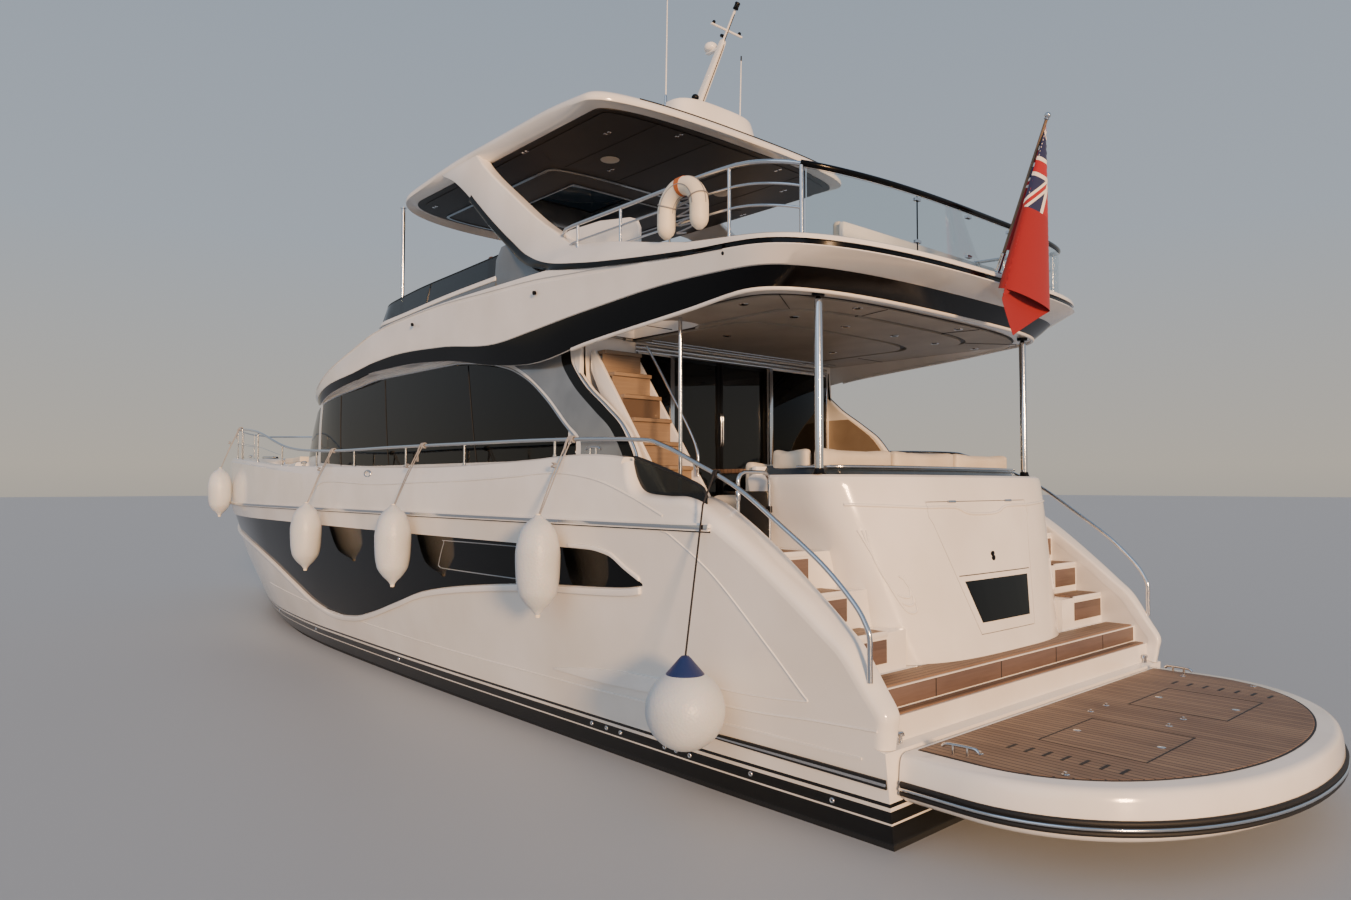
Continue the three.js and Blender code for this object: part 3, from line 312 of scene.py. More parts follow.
def gather(*forms):
    points, faces = [], []
    for more_points, more_faces in forms:
        base = len(points)
        points += more_points
        faces += [tuple(base + i for i in face) for face in more_faces]
    return points, faces


def mirrored(form):
    points, faces = form
    return [(x, -y, z) for x, y, z in points], [tuple(reversed(face)) for face in faces]


def both_sides(form):
    return gather(form, mirrored(form))


def prism(outline, low, high, across="y"):
    """Outline drawn as (x, z), (x, y) or (y, z), carried along y, z or x from low to high."""
    slot = {"y": 1, "z": 2, "x": 0}[across]
    rows = [[(*spot[:slot], level, *spot[slot:]) for spot in outline] for level in (low, high)]
    return loft(rows, round_rows=True, ends=True)


def box_form(x0, x1, y0, y1, z0, z1):
    return prism([(x0, y0), (x1, y0), (x1, y1), (x0, y1)], z0, z1, "z")


def boxes(*spans):
    """Upright boxes, each given as x0, x1, y0, y1, z0, z1."""
    return gather(*[box_form(*span) for span in spans])


def turned(profile, foot=(0, 0, 0), axis=(0, 0, 1), count=24, open_ends=False):
    """Profile of (radius, height) turned about an axis from foot. Ends that aren't open run in to the axis."""
    if not open_ends:
        start, end = [[(0, h)] if r else [] for r, h in (profile[0], profile[-1])]
        profile = [*start, *profile, *end]
    aim = Vector(axis).normalized().to_track_quat("Z", "Y").to_matrix()
    rows = [[Vector(foot) + aim @ Vector((r * cos(t), r * sin(t), h))
             for t in around(count)] for r, h in profile]
    return loft(rows, round_rows=True, ends=True)


WELD = 1e-5


def make_mesh(name, form):
    """Mesh of a form, welded and with its faces turned outward; a mesh comes back as it is."""
    if not isinstance(form, tuple):
        return form
    points, faces = form
    shape = bmesh.new()
    corners = [shape.verts.new(p) for p in points]
    for face in faces:
        loop = [corners[i] for i in dict.fromkeys(face)]
        if len(loop) > 2:
            try:
                shape.faces.new(loop)
            except ValueError:
                pass
    bmesh.ops.remove_doubles(shape, verts=shape.verts, dist=WELD)
    bmesh.ops.dissolve_degenerate(shape, edges=shape.edges, dist=WELD)
    bmesh.ops.recalc_face_normals(shape, faces=shape.faces)
    mesh = bpy.data.meshes.new(name)
    shape.to_mesh(mesh)
    shape.free()
    return mesh


def soften(mesh, sharp):
    mesh.shade_smooth()
    mesh.set_sharp_from_angle(angle=radians(sharp))


def baked(obj):
    """The object's shape with its modifiers applied; the modifiers are removed."""
    graph = bpy.context.evaluated_depsgraph_get()
    mesh = bpy.data.meshes.new_from_object(obj.evaluated_get(graph))
    obj.modifiers.clear()
    obj.data = mesh
    return obj


def modify(obj, kind, **settings):
    """Adds a modifier with its settings."""
    modifier = obj.modifiers.new(kind.lower(), kind)
    for key, value in settings.items():
        setattr(modifier, key, value)
    return modifier


def part(name, form, looks, body="boat", sharp=35, bevel=0.0, steps=2, stands_for=()):
    """A finished piece that rides on a body, and stands for solids of the frame where it names them."""
    mesh = make_mesh(name, form)
    mesh.name = name
    obj = new_object(name, mesh)
    if bevel:
        modify(obj, "BEVEL", width=bevel, segments=steps, angle_limit=radians(40))
        baked(obj)
    obj.data.materials.clear()
    for material in looks if isinstance(looks, list) else [looks]:
        obj.data.materials.append(material)
    soften(obj.data, sharp)
    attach(obj, body)
    if stands_for:
        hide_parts(*stands_for)
    return obj


def carved(form, *cutters, action="DIFFERENCE"):
    """Mesh of a form with others taken from it, added to it, or kept only where they overlap it."""
    mesh = make_mesh("blank", form)
    for cutter in cutters:
        blank, tool = new_object("blank", mesh), new_object("tool", make_mesh("tool", cutter))
        modify(blank, "BOOLEAN", operation=action, solver="EXACT", object=tool)
        bpy.context.view_layer.update()
        mesh = baked(blank).data
        for obj in (blank, tool):
            bpy.data.objects.remove(obj)
    return mesh


def skin_of(form):
    return BVHTree.FromPolygons(*form)


def on_skin(skin, start, aim, out=0.0):
    """Where a ray from start meets the skin, moved out along the skin's normal."""
    aim = Vector(aim)
    spot, normal, _, _ = skin.ray_cast(Vector(start), aim)
    if spot is None:
        spot, normal, _, _ = skin.find_nearest(Vector(start) + aim * 4)
    if normal.dot(aim) > 0:
        normal = -normal
    return spot + normal * out


def port_skin(skin, x, z, out):
    return on_skin(skin, (x, 6, z), (0, -1, 0), out)


def panel_on(place, grid, low, high):
    """Closed thin panel over a skin; place(a, b, out) puts a point of the flat grid on the skin."""
    outer = [[place(a, b, high) for a, b in row] for row in grid]
    inner = [[place(a, b, low) for a, b in row] for row in grid]
    rows = [outer_row + list(reversed(inner_row)) for outer_row, inner_row in zip(outer, inner)]
    points, faces = loft(rows, round_rows=True)
    count, width = len(rows[0]), len(grid[0])
    for base in (0, (len(rows) - 1) * count):
        for i in range(width - 1):
            faces.append((base + i, base + i + 1, base + count - 2 - i, base + count - 1 - i))
    return points, faces


def upright_grid(xs, low, high, rows):
    """Grid between two edges low(x) and high(x), as columns of (x, z)."""
    return [[(x, low(x) + (high(x) - low(x)) * k / rows) for k in range(rows + 1)] for x in xs]


# Finishes
def linear(code):
    parts = [int(code[i:i + 2], 16) / 255 for i in (1, 3, 5)]
    return (*[c / 12.92 if c <= 0.04045 else ((c + 0.055) / 1.055) ** 2.4 for c in parts], 1)


def add(tree, kind, inputs, **settings):
    """One node with its settings; each input is a value or the output of another node."""
    node = tree.nodes.new(kind)
    for key, value in settings.items():
        setattr(node, key, value)
    for key, value in inputs.items():
        if isinstance(value, bpy.types.NodeSocket):
            tree.links.new(value, node.inputs[key])
        else:
            node.inputs[key].default_value = value
    return node


def noise(tree, place, scale, detail, roughness=0.5):
    inputs = {"Scale": scale, "Detail": detail, "Roughness": roughness, "Vector": place}
    return add(tree, "ShaderNodeTexNoise", inputs).outputs["Fac"]


def ranged(tree, source, low, high):
    """A value from 0 to 1 spread over low to high."""
    return add(tree, "ShaderNodeMapRange", {"Value": source, "To Min": low, "To Max": high}).outputs["Result"]


def maths(tree, operation, *terms):
    return add(tree, "ShaderNodeMath", dict(enumerate(terms)), operation=operation).outputs[0]


def mixed(tree, factor, first, second, blend="MIX"):
    """Two colours blended by a factor."""
    inputs = {0: factor, 6: first, 7: second}
    return add(tree, "ShaderNodeMix", inputs, data_type="RGBA", blend_type=blend).outputs[2]


def finish(name, colour, roughness, detail=None, **sockets):
    """A material on one shader; detail(tree, shader, place) draws its pattern from the Object coordinates."""
    material = bpy.data.materials.new(name)
    material.use_nodes = True
    tree = material.node_tree
    shader = tree.nodes["Principled BSDF"]
    shader.inputs["Base Color"].default_value = linear(colour)
    shader.inputs["Roughness"].default_value = roughness
    for key, value in sockets.items():
        shader.inputs[key.replace("_", " ")].default_value = value
    material.diffuse_color = linear(colour)
    if detail:
        detail(tree, shader, add(tree, "ShaderNodeTexCoord", {}).outputs["Object"])
    return material


def ramp(tree, source, stops, interpolation="LINEAR"):
    node = add(tree, "ShaderNodeValToRGB", {"Fac": source})
    node.color_ramp.interpolation = interpolation
    while len(node.color_ramp.elements) < len(stops):
        node.color_ramp.elements.new(0.5)
    for element, (position, colour) in zip(node.color_ramp.elements, stops):
        element.position = position
        element.color = linear(colour) if isinstance(colour, str) else (colour, colour, colour, 1)
    return node.outputs["Color"]


def tint(tree, shader, colour):
    tree.links.new(colour, shader.inputs["Base Color"])


def dull(tree, shader, roughness):
    tree.links.new(roughness, shader.inputs["Roughness"])


def bumped(tree, shader, height, strength, distance):
    bump = add(tree, "ShaderNodeBump", {"Height": height, "Strength": strength, "Distance": distance})
    tree.links.new(bump.outputs["Normal"], shader.inputs["Normal"])


def sprayed(light, dark):
    """Sprayed gloss: faint clouding, and orange peel drawn coarser than real so that it shows."""
    def detail(tree, shader, place):
        tint(tree, shader, ramp(tree, noise(tree, place, 1.3, 3.0), [(0.35, dark), (0.65, light)]))
        dull(tree, shader, ranged(tree, noise(tree, place, 7.0, 4.0), 0.09, 0.2))
        bumped(tree, shader, noise(tree, place, 60.0, 2.0), 0.12, 0.0006)
    return detail


def bands_by_height(stops, low=-1.2, high=2.4, matt_below=0.04):
    """Topsides in level bands: matt bottom paint, then a boot-top and pinstripes as glossy as the rest."""
    def detail(tree, shader, place):
        height = add(tree, "ShaderNodeSeparateXYZ", {"Vector": place}).outputs["Z"]
        level = add(tree, "ShaderNodeMapRange", {"Value": height, "From Min": low, "From Max": high})
        stripes = ramp(tree, level.outputs["Result"],
                       [((z - low) / (high - low), colour) for z, colour in stops], "CONSTANT")
        tone = ramp(tree, noise(tree, place, 0.9, 3.0), [(0.3, "#f1eeea"), (0.7, "#ffffff")])
        tint(tree, shader, mixed(tree, 1.0, stripes, tone, "MULTIPLY"))
        matt = maths(tree, "MULTIPLY", maths(tree, "LESS_THAN", height, matt_below), 0.7)
        haze = ranged(tree, noise(tree, place, 5.0, 4.0), 0.07, 0.2)
        dull(tree, shader, maths(tree, "MAXIMUM", matt, haze))
        bumped(tree, shader, noise(tree, place, 40.0, 2.0), 0.1, 0.0006)
    return detail


def laid_planks(along, across, pitch, wood, seam=0.1, seam_colour="#15110e"):
    """Strips of timber at one pitch with black caulking between them, each in its own tone."""
    def detail(tree, shader, place):
        split = add(tree, "ShaderNodeSeparateXYZ", {"Vector": place})
        count = maths(tree, "MULTIPLY", split.outputs[across], 1 / pitch)
        strip_of = maths(tree, "FLOOR", count)
        own = add(tree, "ShaderNodeTexWhiteNoise", {"W": strip_of}, noise_dimensions="1D").outputs["Value"]
        stretch = {"X": (2.5, 60, 60), "Y": (60, 2.5, 60), "Z": (60, 60, 2.5)}[along]
        stretched = add(tree, "ShaderNodeMapping", {"Scale": stretch, "Vector": place}).outputs["Vector"]
        grain = noise(tree, stretched, 1.0, 6.0, 0.65)
        tone = maths(tree, "ADD", maths(tree, "MULTIPLY", own, 0.45), grain)
        tone = maths(tree, "MULTIPLY", maths(tree, "ADD", tone, noise(tree, place, 1.6, 4.0)), 0.5)
        caulk = maths(tree, "LESS_THAN", maths(tree, "FRACT", count), seam)
        timber = ramp(tree, tone, [(0.3, wood[0]), (0.85, wood[1])])
        tint(tree, shader, mixed(tree, caulk, timber, linear(seam_colour)))
        bumped(tree, shader, maths(tree, "SUBTRACT", grain, caulk), 0.35, 0.002)
    return detail


def woven(thread, dark, light):
    """Cloth or leathercloth: a fine cell pattern at the thread's spacing, with broad shading."""
    def detail(tree, shader, place):
        cells = add(tree, "ShaderNodeTexVoronoi", {"Scale": 1 / thread, "Vector": place}).outputs["Distance"]
        tint(tree, shader, ramp(tree, noise(tree, place, 2.2, 5.0), [(0.3, dark), (0.7, light)]))
        bumped(tree, shader, cells, 0.25, thread * 0.4)
    return detail


def polished(low, high, scale=14.0):
    """Metal with faint smears from wiping."""
    def detail(tree, shader, place):
        wiped = add(tree, "ShaderNodeMapping", {"Scale": (1, 1, 4), "Vector": place}).outputs["Vector"]
        dull(tree, shader, ranged(tree, noise(tree, wiped, scale, 5.0), low, high))
    return detail


def smudged(low, high):
    """Glass with a faint uneven film, so its mirror image is not perfect."""
    def detail(tree, shader, place):
        film = noise(tree, place, 1.2, 5.0)
        dull(tree, shader, ranged(tree, film, low, high))
        bumped(tree, shader, film, 0.08, 0.01)
    return detail


# Polyester gelcoat, moulded and waxed: glossy warm white
gelcoat = finish("gelcoat", "#f2efe9", 0.14, sprayed("#f6f3ee", "#ece8e1"), Coat_Weight=0.4, IOR=1.5)
# The same gelcoat with the painted bottom, black boot-top and white pinstripes of the topsides
topsides = finish("topsides_gelcoat", "#f2efe9", 0.12, bands_by_height([
    (-1.2, "#15191d"), (0.04, "#060708"), (0.165, "#e9e6e0"), (0.192, "#060708"), (0.265, "#e9e6e0"),
    (0.292, "#060708"), (BOOT_TOP, "#f3f0ea")]), IOR=1.5)
# Black two-pack paint under the flybridge: a mirror gloss. On the stern handrail it is a painted reflection,
# standing for polished steel that mirrors dark surroundings
black_paint_and_painted_reflection = finish("black_paint_and_painted_reflection", "#040506", 0.06, sprayed("#050607", "#030304"), IOR=1.3)
# Tempered glass with a black backing, in the hull and saloon sides
black_glass = finish("black_glass", "#020303", 0.03, smudged(0.02, 0.06), IOR=1.32)
# Grey tinted glass of screens and doors: clear, darkened in its mass
smoked_glass = finish("smoked_glass", "#23292c", 0.02, smudged(0.01, 0.04), IOR=1.45, Transmission_Weight=0.9)
# Toughened clear glass round the flybridge
clear_glass = finish("clear_glass", "#e9efef", 0.01, smudged(0.0, 0.03), IOR=1.48, Transmission_Weight=1.0)
# Stainless steel tube, mirror polished
steel = finish("stainless_steel", "#cfd1d4", 0.12, polished(0.06, 0.2), Metallic=1.0)
# Metallic silver-grey paint on the saloon pillars
silver_paint = finish("silver_paint", "#8c9196", 0.3, sprayed("#9aa0a5", "#7d8389"),
                      Metallic=0.55, Coat_Weight=0.6)
# Grey composite fairing between screen and arch; on the coaming under the screen's rail the same grey is
# painted shade
grey_paint_and_painted_shade = finish("grey_paint_and_painted_shade", "#6c7378", 0.28, sprayed("#747b80", "#646b70"), Metallic=0.3,
                    Coat_Weight=0.4)
# Teak laid fore and aft, and athwart on the steps, weathered to a soft brown
teak_deck = finish("teak_deck", "#8f7157", 0.62, laid_planks("X", "Y", 0.062, ("#6b5241", "#a3866b"), 0.13))
teak_step = finish("teak_step", "#83664c", 0.55, laid_planks("Y", "X", 0.055, ("#634a38", "#96765a")))
teak_riser = finish("teak_riser", "#63514a", 0.5, laid_planks("Y", "Z", 0.31, ("#4d3e37", "#736058"), 0.0))
# Oiled oak joinery of the flight to the flybridge
oak = finish("oak_joinery", "#8f7861", 0.45, laid_planks("Y", "X", 0.4, ("#75604c", "#9c866e"),
                                                         0.004, "#5c4a39"))
# Varnished ash of the ensign staff
varnish = finish("varnished_ash", "#7a6249", 0.3, laid_planks("Z", "X", 0.5, ("#68523c", "#8c745a"), 0.0))
# Satin leathercloth panels of the cockpit ceiling, cream
ceiling_cloth = finish("ceiling_leathercloth", "#aaa193", 0.5, woven(0.006, "#a0978a", "#b3aa9d"))
# Dark satin liner under the hardtop; the same dark sheet above the ceiling panels is painted shade where it
# shows in their gaps
dark_liner_and_gap_shade = finish("dark_liner_and_gap_shade", "#1d1916", 0.5, woven(0.006, "#181412", "#231e1a"))
# Marine leathercloth of the cushions, cream
hide_cream = finish("cream_leathercloth", "#d9cdb8", 0.55, woven(0.005, "#d0c3ac", "#e2d7c4"),
                    Sheen_Weight=0.2)
# Tan leathercloth that lines the wings, and the brown of the helm seat
hide_tan = finish("tan_leathercloth", "#9c8b77", 0.5, woven(0.006, "#91806c", "#a89783"))
hide_brown = finish("brown_leathercloth", "#5a3c2b", 0.5, woven(0.005, "#4d3324", "#674634"))
# Inflated PVC of the fenders, white vinyl drawn in a cool grey that is painted shade, the cream cover of the
# lifebuoy, and the blue cone of the ball fender
fender_vinyl_in_painted_shade = finish("fender_vinyl_in_painted_shade", "#cbd1d6", 0.38, woven(0.02, "#c2c9ce", "#d3d8dc"),
                      Subsurface_Weight=0.1)
buoy_vinyl = finish("buoy_vinyl", "#ede3cd", 0.5, woven(0.012, "#e5dac3", "#f2e9d6"))
blue_vinyl = finish("blue_vinyl", "#1b2a5c", 0.4, woven(0.01, "#172451", "#20316a"))
# EPDM rubber, caulk and shadow gaps: matt black
rubber = finish("black_rubber", "#101112", 0.6, woven(0.008, "#0d0e0f", "#151617"))
# Black anodised aluminium of door and window frames
dark_metal = finish("black_anodised_aluminium", "#17181a", 0.35, polished(0.3, 0.42), Metallic=0.7)
# Nickel-aluminium bronze of propellers and rudders
bronze = finish("bronze", "#a07f42", 0.35, polished(0.28, 0.48, 9.0), Metallic=1.0)
# Braided polyester rope, black and grey
black_rope = finish("black_rope", "#1b1b1d", 0.8, woven(0.004, "#141416", "#26262a"))
grey_rope = finish("grey_rope", "#8f8f90", 0.8, woven(0.004, "#7d7d7f", "#a3a3a5"))


# Repeats: one tree draws round bar along paths, the other sets a fitting at every point
def tree_ends(tree, *inputs):
    """A tree's named inputs and its one output; gives the input node and the output node."""
    for name, kind in (("Geometry", "NodeSocketGeometry"), *inputs):
        tree.interface.new_socket(name, in_out="INPUT", socket_type=kind)
    tree.interface.new_socket("Geometry", in_out="OUTPUT", socket_type="NodeSocketGeometry")
    return add(tree, "NodeGroupInput", {}).outputs, add(tree, "NodeGroupOutput", {})


def finished(tree, geometry, material, end):
    """Realize Instances and Set Material, on the way to the tree's output."""
    solid = add(tree, "GeometryNodeRealizeInstances", {"Geometry": geometry}).outputs["Geometry"]
    coated = add(tree, "GeometryNodeSetMaterial", {"Geometry": solid, "Material": material})
    tree.links.new(coated.outputs["Geometry"], end.inputs["Geometry"])


bar_tree = bpy.data.node_groups.new("round bar along a path", "GeometryNodeTree")
given, end = tree_ends(bar_tree, ("Radius", "NodeSocketFloat"), ("Sides", "NodeSocketInt"),
                       ("Finish", "NodeSocketMaterial"))
paths = add(bar_tree, "GeometryNodeMeshToCurve", {"Mesh": given["Geometry"]}).outputs["Curve"]
sizes = {"Radius": given["Radius"], "Resolution": given["Sides"]}
ring = add(bar_tree, "GeometryNodeCurvePrimitiveCircle", sizes).outputs["Curve"]
bar = add(bar_tree, "GeometryNodeCurveToMesh", {"Fill Caps": True, "Curve": paths, "Profile Curve": ring})
finished(bar_tree, bar.outputs["Mesh"], given["Finish"], end)

fitting_tree = bpy.data.node_groups.new("fitting at every point", "GeometryNodeTree")
given, end = tree_ends(fitting_tree, ("Fitting", "NodeSocketObject"), ("Finish", "NodeSocketMaterial"))
source = add(fitting_tree, "GeometryNodeObjectInfo", {"As Instance": True, "Object": given["Fitting"]})
aim = add(fitting_tree, "GeometryNodeInputNamedAttribute", {"Name": "aim"}, data_type="FLOAT_VECTOR")
facing = add(fitting_tree, "FunctionNodeAlignRotationToVector", {"Vector": aim.outputs["Attribute"]},
             axis="Z")
repeat = {"Points": given["Geometry"], "Instance": source.outputs["Geometry"],
          "Rotation": facing.outputs["Rotation"]}
placed = add(fitting_tree, "GeometryNodeInstanceOnPoints", repeat)
finished(fitting_tree, placed.outputs["Instances"], given["Finish"], end)


def through_tree(obj, tree, **inputs):
    """The object's shape after the tree, as a plain mesh."""
    modifier = obj.modifiers.new(tree.name, "NODES")
    modifier.node_group = tree
    identifiers = {item.name: item.identifier for item in tree.interface.items_tree if item.in_out == "INPUT"}
    for name, value in inputs.items():
        modifier[identifiers[name]] = value
    bpy.context.view_layer.update()
    return baked(obj).data


def round_bar(name, runs, radius, material, body="boat", count=16, closed=False, stands_for=()):
    """Bars or tubes of one radius along the runs, each a list of points."""
    points, edges = [], []
    for run in runs:
        base = len(points)
        points += [tuple(p) for p in run]
        edges += [(i, i + 1) for i in range(base, len(points) - 1)]
        if closed:
            edges.append((len(points) - 1, base))
    mesh = bpy.data.meshes.new(name)
    mesh.from_pydata(points, edges, [])
    path = new_object("path", mesh)
    mesh = through_tree(path, bar_tree, Radius=radius, Sides=count, Finish=material)
    bpy.data.objects.remove(path)
    part(name, mesh, material, body, sharp=50, stands_for=stands_for)


def fittings(name, shape, places, material, body="boat", sharp=35):
    """Copies of one small shape, drawn up its own Z, at places of (point, aim)."""
    pattern = new_object("pattern", make_mesh("pattern", shape))
    mesh = bpy.data.meshes.new(name)
    mesh.from_pydata([tuple(point) for point, _ in places], [], [])
    attribute = mesh.attributes.new("aim", "FLOAT_VECTOR", "POINT")
    for i, (_, direction) in enumerate(places):
        attribute.data[i].vector = direction
    spots = new_object("spots", mesh)
    mesh = through_tree(spots, fitting_tree, Fitting=pattern, Finish=material)
    for obj in (pattern, spots):
        bpy.data.objects.remove(obj)
    part(name, mesh, material, body, sharp=sharp)


# Hull: stations run from the transom to the raked stem, closer together where the bow turns in
def at_u(column, u):
    return sample(HULL_LINES, column, u)


def knuckle_half(x):
    return at_u(3, (x - TRANSOM) / (STEM["knuckle"] - TRANSOM))


def sheer(column, x):
    return sample(SHEER_LINES, column, x)


stations = [1 - (1 - u) ** 1.25 for u in spread(0, 1, 110)]


def hull_level(stem, half, height):
    line = [(TRANSOM + u * (stem - TRANSOM), half(u), height(u)) for u in stations]
    return [(TRANSOM, 0, line[0][2]), *line, (line[-1][0], 0, line[-1][2])]


hull_levels = refine([
    hull_level(STEM["keel"], lambda u: KEEL_HALF, lambda u: at_u(4, u)),
    hull_level(STEM["chine"], lambda u: at_u(1, u), lambda u: at_u(5, u)),
    hull_level(STEM["side"], lambda u: at_u(2, u), lambda u: at_u(6, u)),
    hull_level(STEM["knuckle"], lambda u: at_u(3, u), lambda u: KNUCKLE),
], 12, breaks=(1,))
hull_form = stack(hull_levels)


# Upper hull: bulwark with its shoulder crease and rounded cap, and the side decks inside it
def deck_level(stem, inset, height, aft=-7.9):
    line = []
    for u in [1 - (1 - u) ** 1.2 for u in spread(0, 1, 100)]:
        x = aft + u * (stem - aft)
        half = knuckle_half(aft + u * (STEM["knuckle"] - aft))
        line.append((x, max(0.02, half - inset), height(x)))
    return [(aft, 0, line[0][2]), *line, (line[-1][0], 0, line[-1][2])]


BULWARK = 0.24
BOW_LOCKER = 10.7
bulwark_levels = [
    deck_level(STEM["knuckle"], 0.0, lambda x: KNUCKLE),
    deck_level(STEM["knuckle"] + 0.03, 0.002, lambda x: KNUCKLE + 0.25 * (sheer(1, x) - KNUCKLE)),
    deck_level(STEM["crease"], 0.015, lambda x: sheer(1, x)),
    deck_level(STEM["cap"] - 0.03, 0.06, lambda x: sheer(2, x) - 0.05),
    deck_level(STEM["cap"] - 0.01, 0.076, lambda x: sheer(2, x) - 0.015),
    deck_level(STEM["cap"] - 0.03, 0.1, lambda x: sheer(2, x)),
    deck_level(BOW_LOCKER + 0.06, BULWARK - 0.04, lambda x: sheer(2, x)),
    deck_level(BOW_LOCKER + 0.01, BULWARK - 0.01, lambda x: sheer(2, x) - 0.012),
    deck_level(BOW_LOCKER, BULWARK, lambda x: sheer(2, x) - 0.05),
    deck_level(BOW_LOCKER, BULWARK, lambda x: sheer(3, x) + 0.03),
    deck_level(BOW_LOCKER - 0.02, BULWARK + 0.02, lambda x: sheer(3, x)),
]
bulwark_form = stack(bulwark_levels)
hull_skin = skin_of(gather(hull_form, stack(bulwark_levels[:6])))

# The quarter's rounded top is a piece of its own, so the sides are cut a little below it
ROUND = 0.1
edge_line = side_line(QUARTER_EDGE, 6)


def along_at(line, i):
    """Direction of a line at its point i."""
    return (line[min(i + 1, len(line) - 1)] - line[max(i - 1, 0)]).normalized()


def edge_out(i):
    along = along_at(edge_line, i)
    normal = Vector((along.z, 0, -along.x))
    return normal if normal.x < 0 or normal.z > 0 else -normal


lowered = [edge_line[i] - edge_out(i) * ROUND for i in range(len(edge_line))]
quarter_cut = prism([(-9.7, 3.6), (-6.5, 3.6), (-6.44, 2.9)] + [(p.x, p.z) for p in lowered]
                    + [(-9.7, 0.55)], -3.3, 3.3)
stern_well = box_form(-9.7, -7.25, -STERN_HALF, STERN_HALF, 0.7, 3.6)
cockpit_well = box_form(-7.26, -6.1, -2.38, 2.38, COCKPIT_SOLE, 3.6)
cockpit_fore_well = box_form(-6.11, -5.1, -2.03, 2.03, COCKPIT_SOLE, 3.6)
wells = (quarter_cut, stern_well, cockpit_well, cockpit_fore_well)


def window_edges(x):
    return sample(HULL_WINDOW, 1, x), sample(HULL_WINDOW, 2, x)


def hull_window_grid(grow=0.0):
    """Grid of the long window in the hull, closer together towards its pointed ends."""
    ends = HULL_WINDOW[0][0] - grow, HULL_WINDOW[-1][0] + grow
    xs = [ends[0] + (ends[1] - ends[0]) * (0.5 - 0.5 * cos(pi * t)) for t in spread(0, 1, 150)]
    return upright_grid(xs, lambda x: window_edges(x)[0] - grow, lambda x: window_edges(x)[1] + grow, 10)


def on_port(x, z, out):
    return port_skin(hull_skin, x, z, out)


recess = panel_on(on_port, hull_window_grid(), -0.03, 0.12)
part("hull_moulding", carved(hull_form, *wells, recess, mirrored(recess)), topsides, sharp=28,
     stands_for=["hull"])
part("hull_windows", both_sides(panel_on(on_port, hull_window_grid(-0.004), -0.035, -0.018)), black_glass)
lip_xs = spread(HULL_WINDOW[0][0] + 0.03, 8.1, 170)
lip = [[(x, window_edges(x)[0] - d) for d in (0.004, 0.035, 0.07)] for x in lip_xs]
part("window_lip", both_sides(panel_on(on_port, lip, -0.01, 0.028)), gelcoat, bevel=0.012, steps=3)
brow_xs = spread(HULL_WINDOW[0][0] + 0.03, -5.7, 40)
brow = [[(x, window_edges(x)[1] + d) for d in (0.004, 0.022, 0.045)] for x in brow_xs]
part("window_brow", both_sides(panel_on(on_port, brow, -0.01, 0.02)), gelcoat, bevel=0.01, steps=3)

trunk = [half_line(z, 6.05 + a, 9.0 - b, 1.25 - b, 0.9 - b, fore_nose=1.3, power=2.6)
         for z, a, b in ((2.25, 0, 0), (2.86, 0.01, 0.0), (2.97, 0.05, 0.05), (3.01, 0.1, 0.13))]
windlass_deck = [half_line(z, 9.3 + a, 10.9 - a, 0.52 - a, 0.33 - a)
                 for z, a in ((2.4, 0), (2.93, 0), (2.96, 0.03))]
deck_mesh = carved(carved(bulwark_form, *wells), stack(refine(trunk, 4, breaks=(1,))), stack(windlass_deck),
                   action="UNION")
part("upper_hull_and_decks", deck_mesh, gelcoat, sharp=30, stands_for=["deck"])

# Rounded top of each quarter, from the hull side over to the wall of the stairs
quarter_rows = []
for i, point in enumerate(edge_line):
    out = edge_out(i)
    low = lowered[i]
    outer = on_port(min(low.x, -6.3) if low.x > TRANSOM else TRANSOM + 0.001, max(low.z, -0.1), 0.0).y
    inner = STERN_HALF - 0.002 if point.x < -7.25 else 2.382
    row = [(low.x, inner, low.z), (low.x, outer, low.z)]
    for t in spread(0, pi / 2, 8):
        lift = sin(t) ** 0.9
        row.append((low.x + out.x * ROUND * lift, outer - 0.13 * (1 - cos(t)) ** 1.1,
                    low.z + out.z * ROUND * lift))
    for t in spread(0, pi / 2, 4):
        drop = 0.025 * (1 - cos(t))
        row.append((point.x - out.x * drop, inner + 0.025 * (1 - sin(t)), point.z - out.z * drop))
    quarter_rows.append(row)
part("quarter_tops", both_sides(loft(quarter_rows, round_rows=True, ends=True)), gelcoat, sharp=40)


# Trim lines laid on the sides: strips drawn as (x, low, high)
def strip(name, table, material, out):
    xs = spread(table[0][0], table[-1][0], 160)
    grid = upright_grid(xs, lambda x: sample(table, 1, x), lambda x: sample(table, 2, x), 2)
    part(name, both_sides(panel_on(on_port, grid, -0.01, out)), material)


for name, low, high, material, out in (("rubbing_strake", 2.163, 2.213, gelcoat, 0.03),
                                       ("rubbing_strake_steel", 2.178, 2.2, steel, 0.038),
                                       ("knuckle_shadow", 2.148, 2.163, rubber, 0.004)):
    strip(name, ((-7.62, low, high), (9.0, low, high)), material, out)

# Stern: transom block with its lid, cut from one refined form
def block_level(z, half, inset=0.0):
    aft = -8.395 - (2.62 - z) * 0.24 + inset
    return half_line(z, aft, -7.25 - inset, half - inset, aft_nose=0.62 - inset, power=3.2)


BLOCK_BASE = 1.052
block_outer = refine([block_level(z, half) for z, half in (
    (BLOCK_BASE, 1.38), (1.4, 1.497), (1.8, 1.62), (2.1, 1.722), (2.3, 1.785), (2.56, 1.85))], 5)
block_outer += [block_level(z, half, inset) for z, half, inset in (
    (2.6, 1.858, 0.008), (2.618, 1.86, 0.03), (2.62, 1.86, 0.06))]
block_form = stack(block_outer)
block_skin = skin_of(block_form)
block_hollow = stack([block_level(z, half, 0.06) for z, half in (
    (BLOCK_BASE + 0.06, 1.38), (1.8, 1.62), (2.3, 1.785), (2.56, 1.84))])


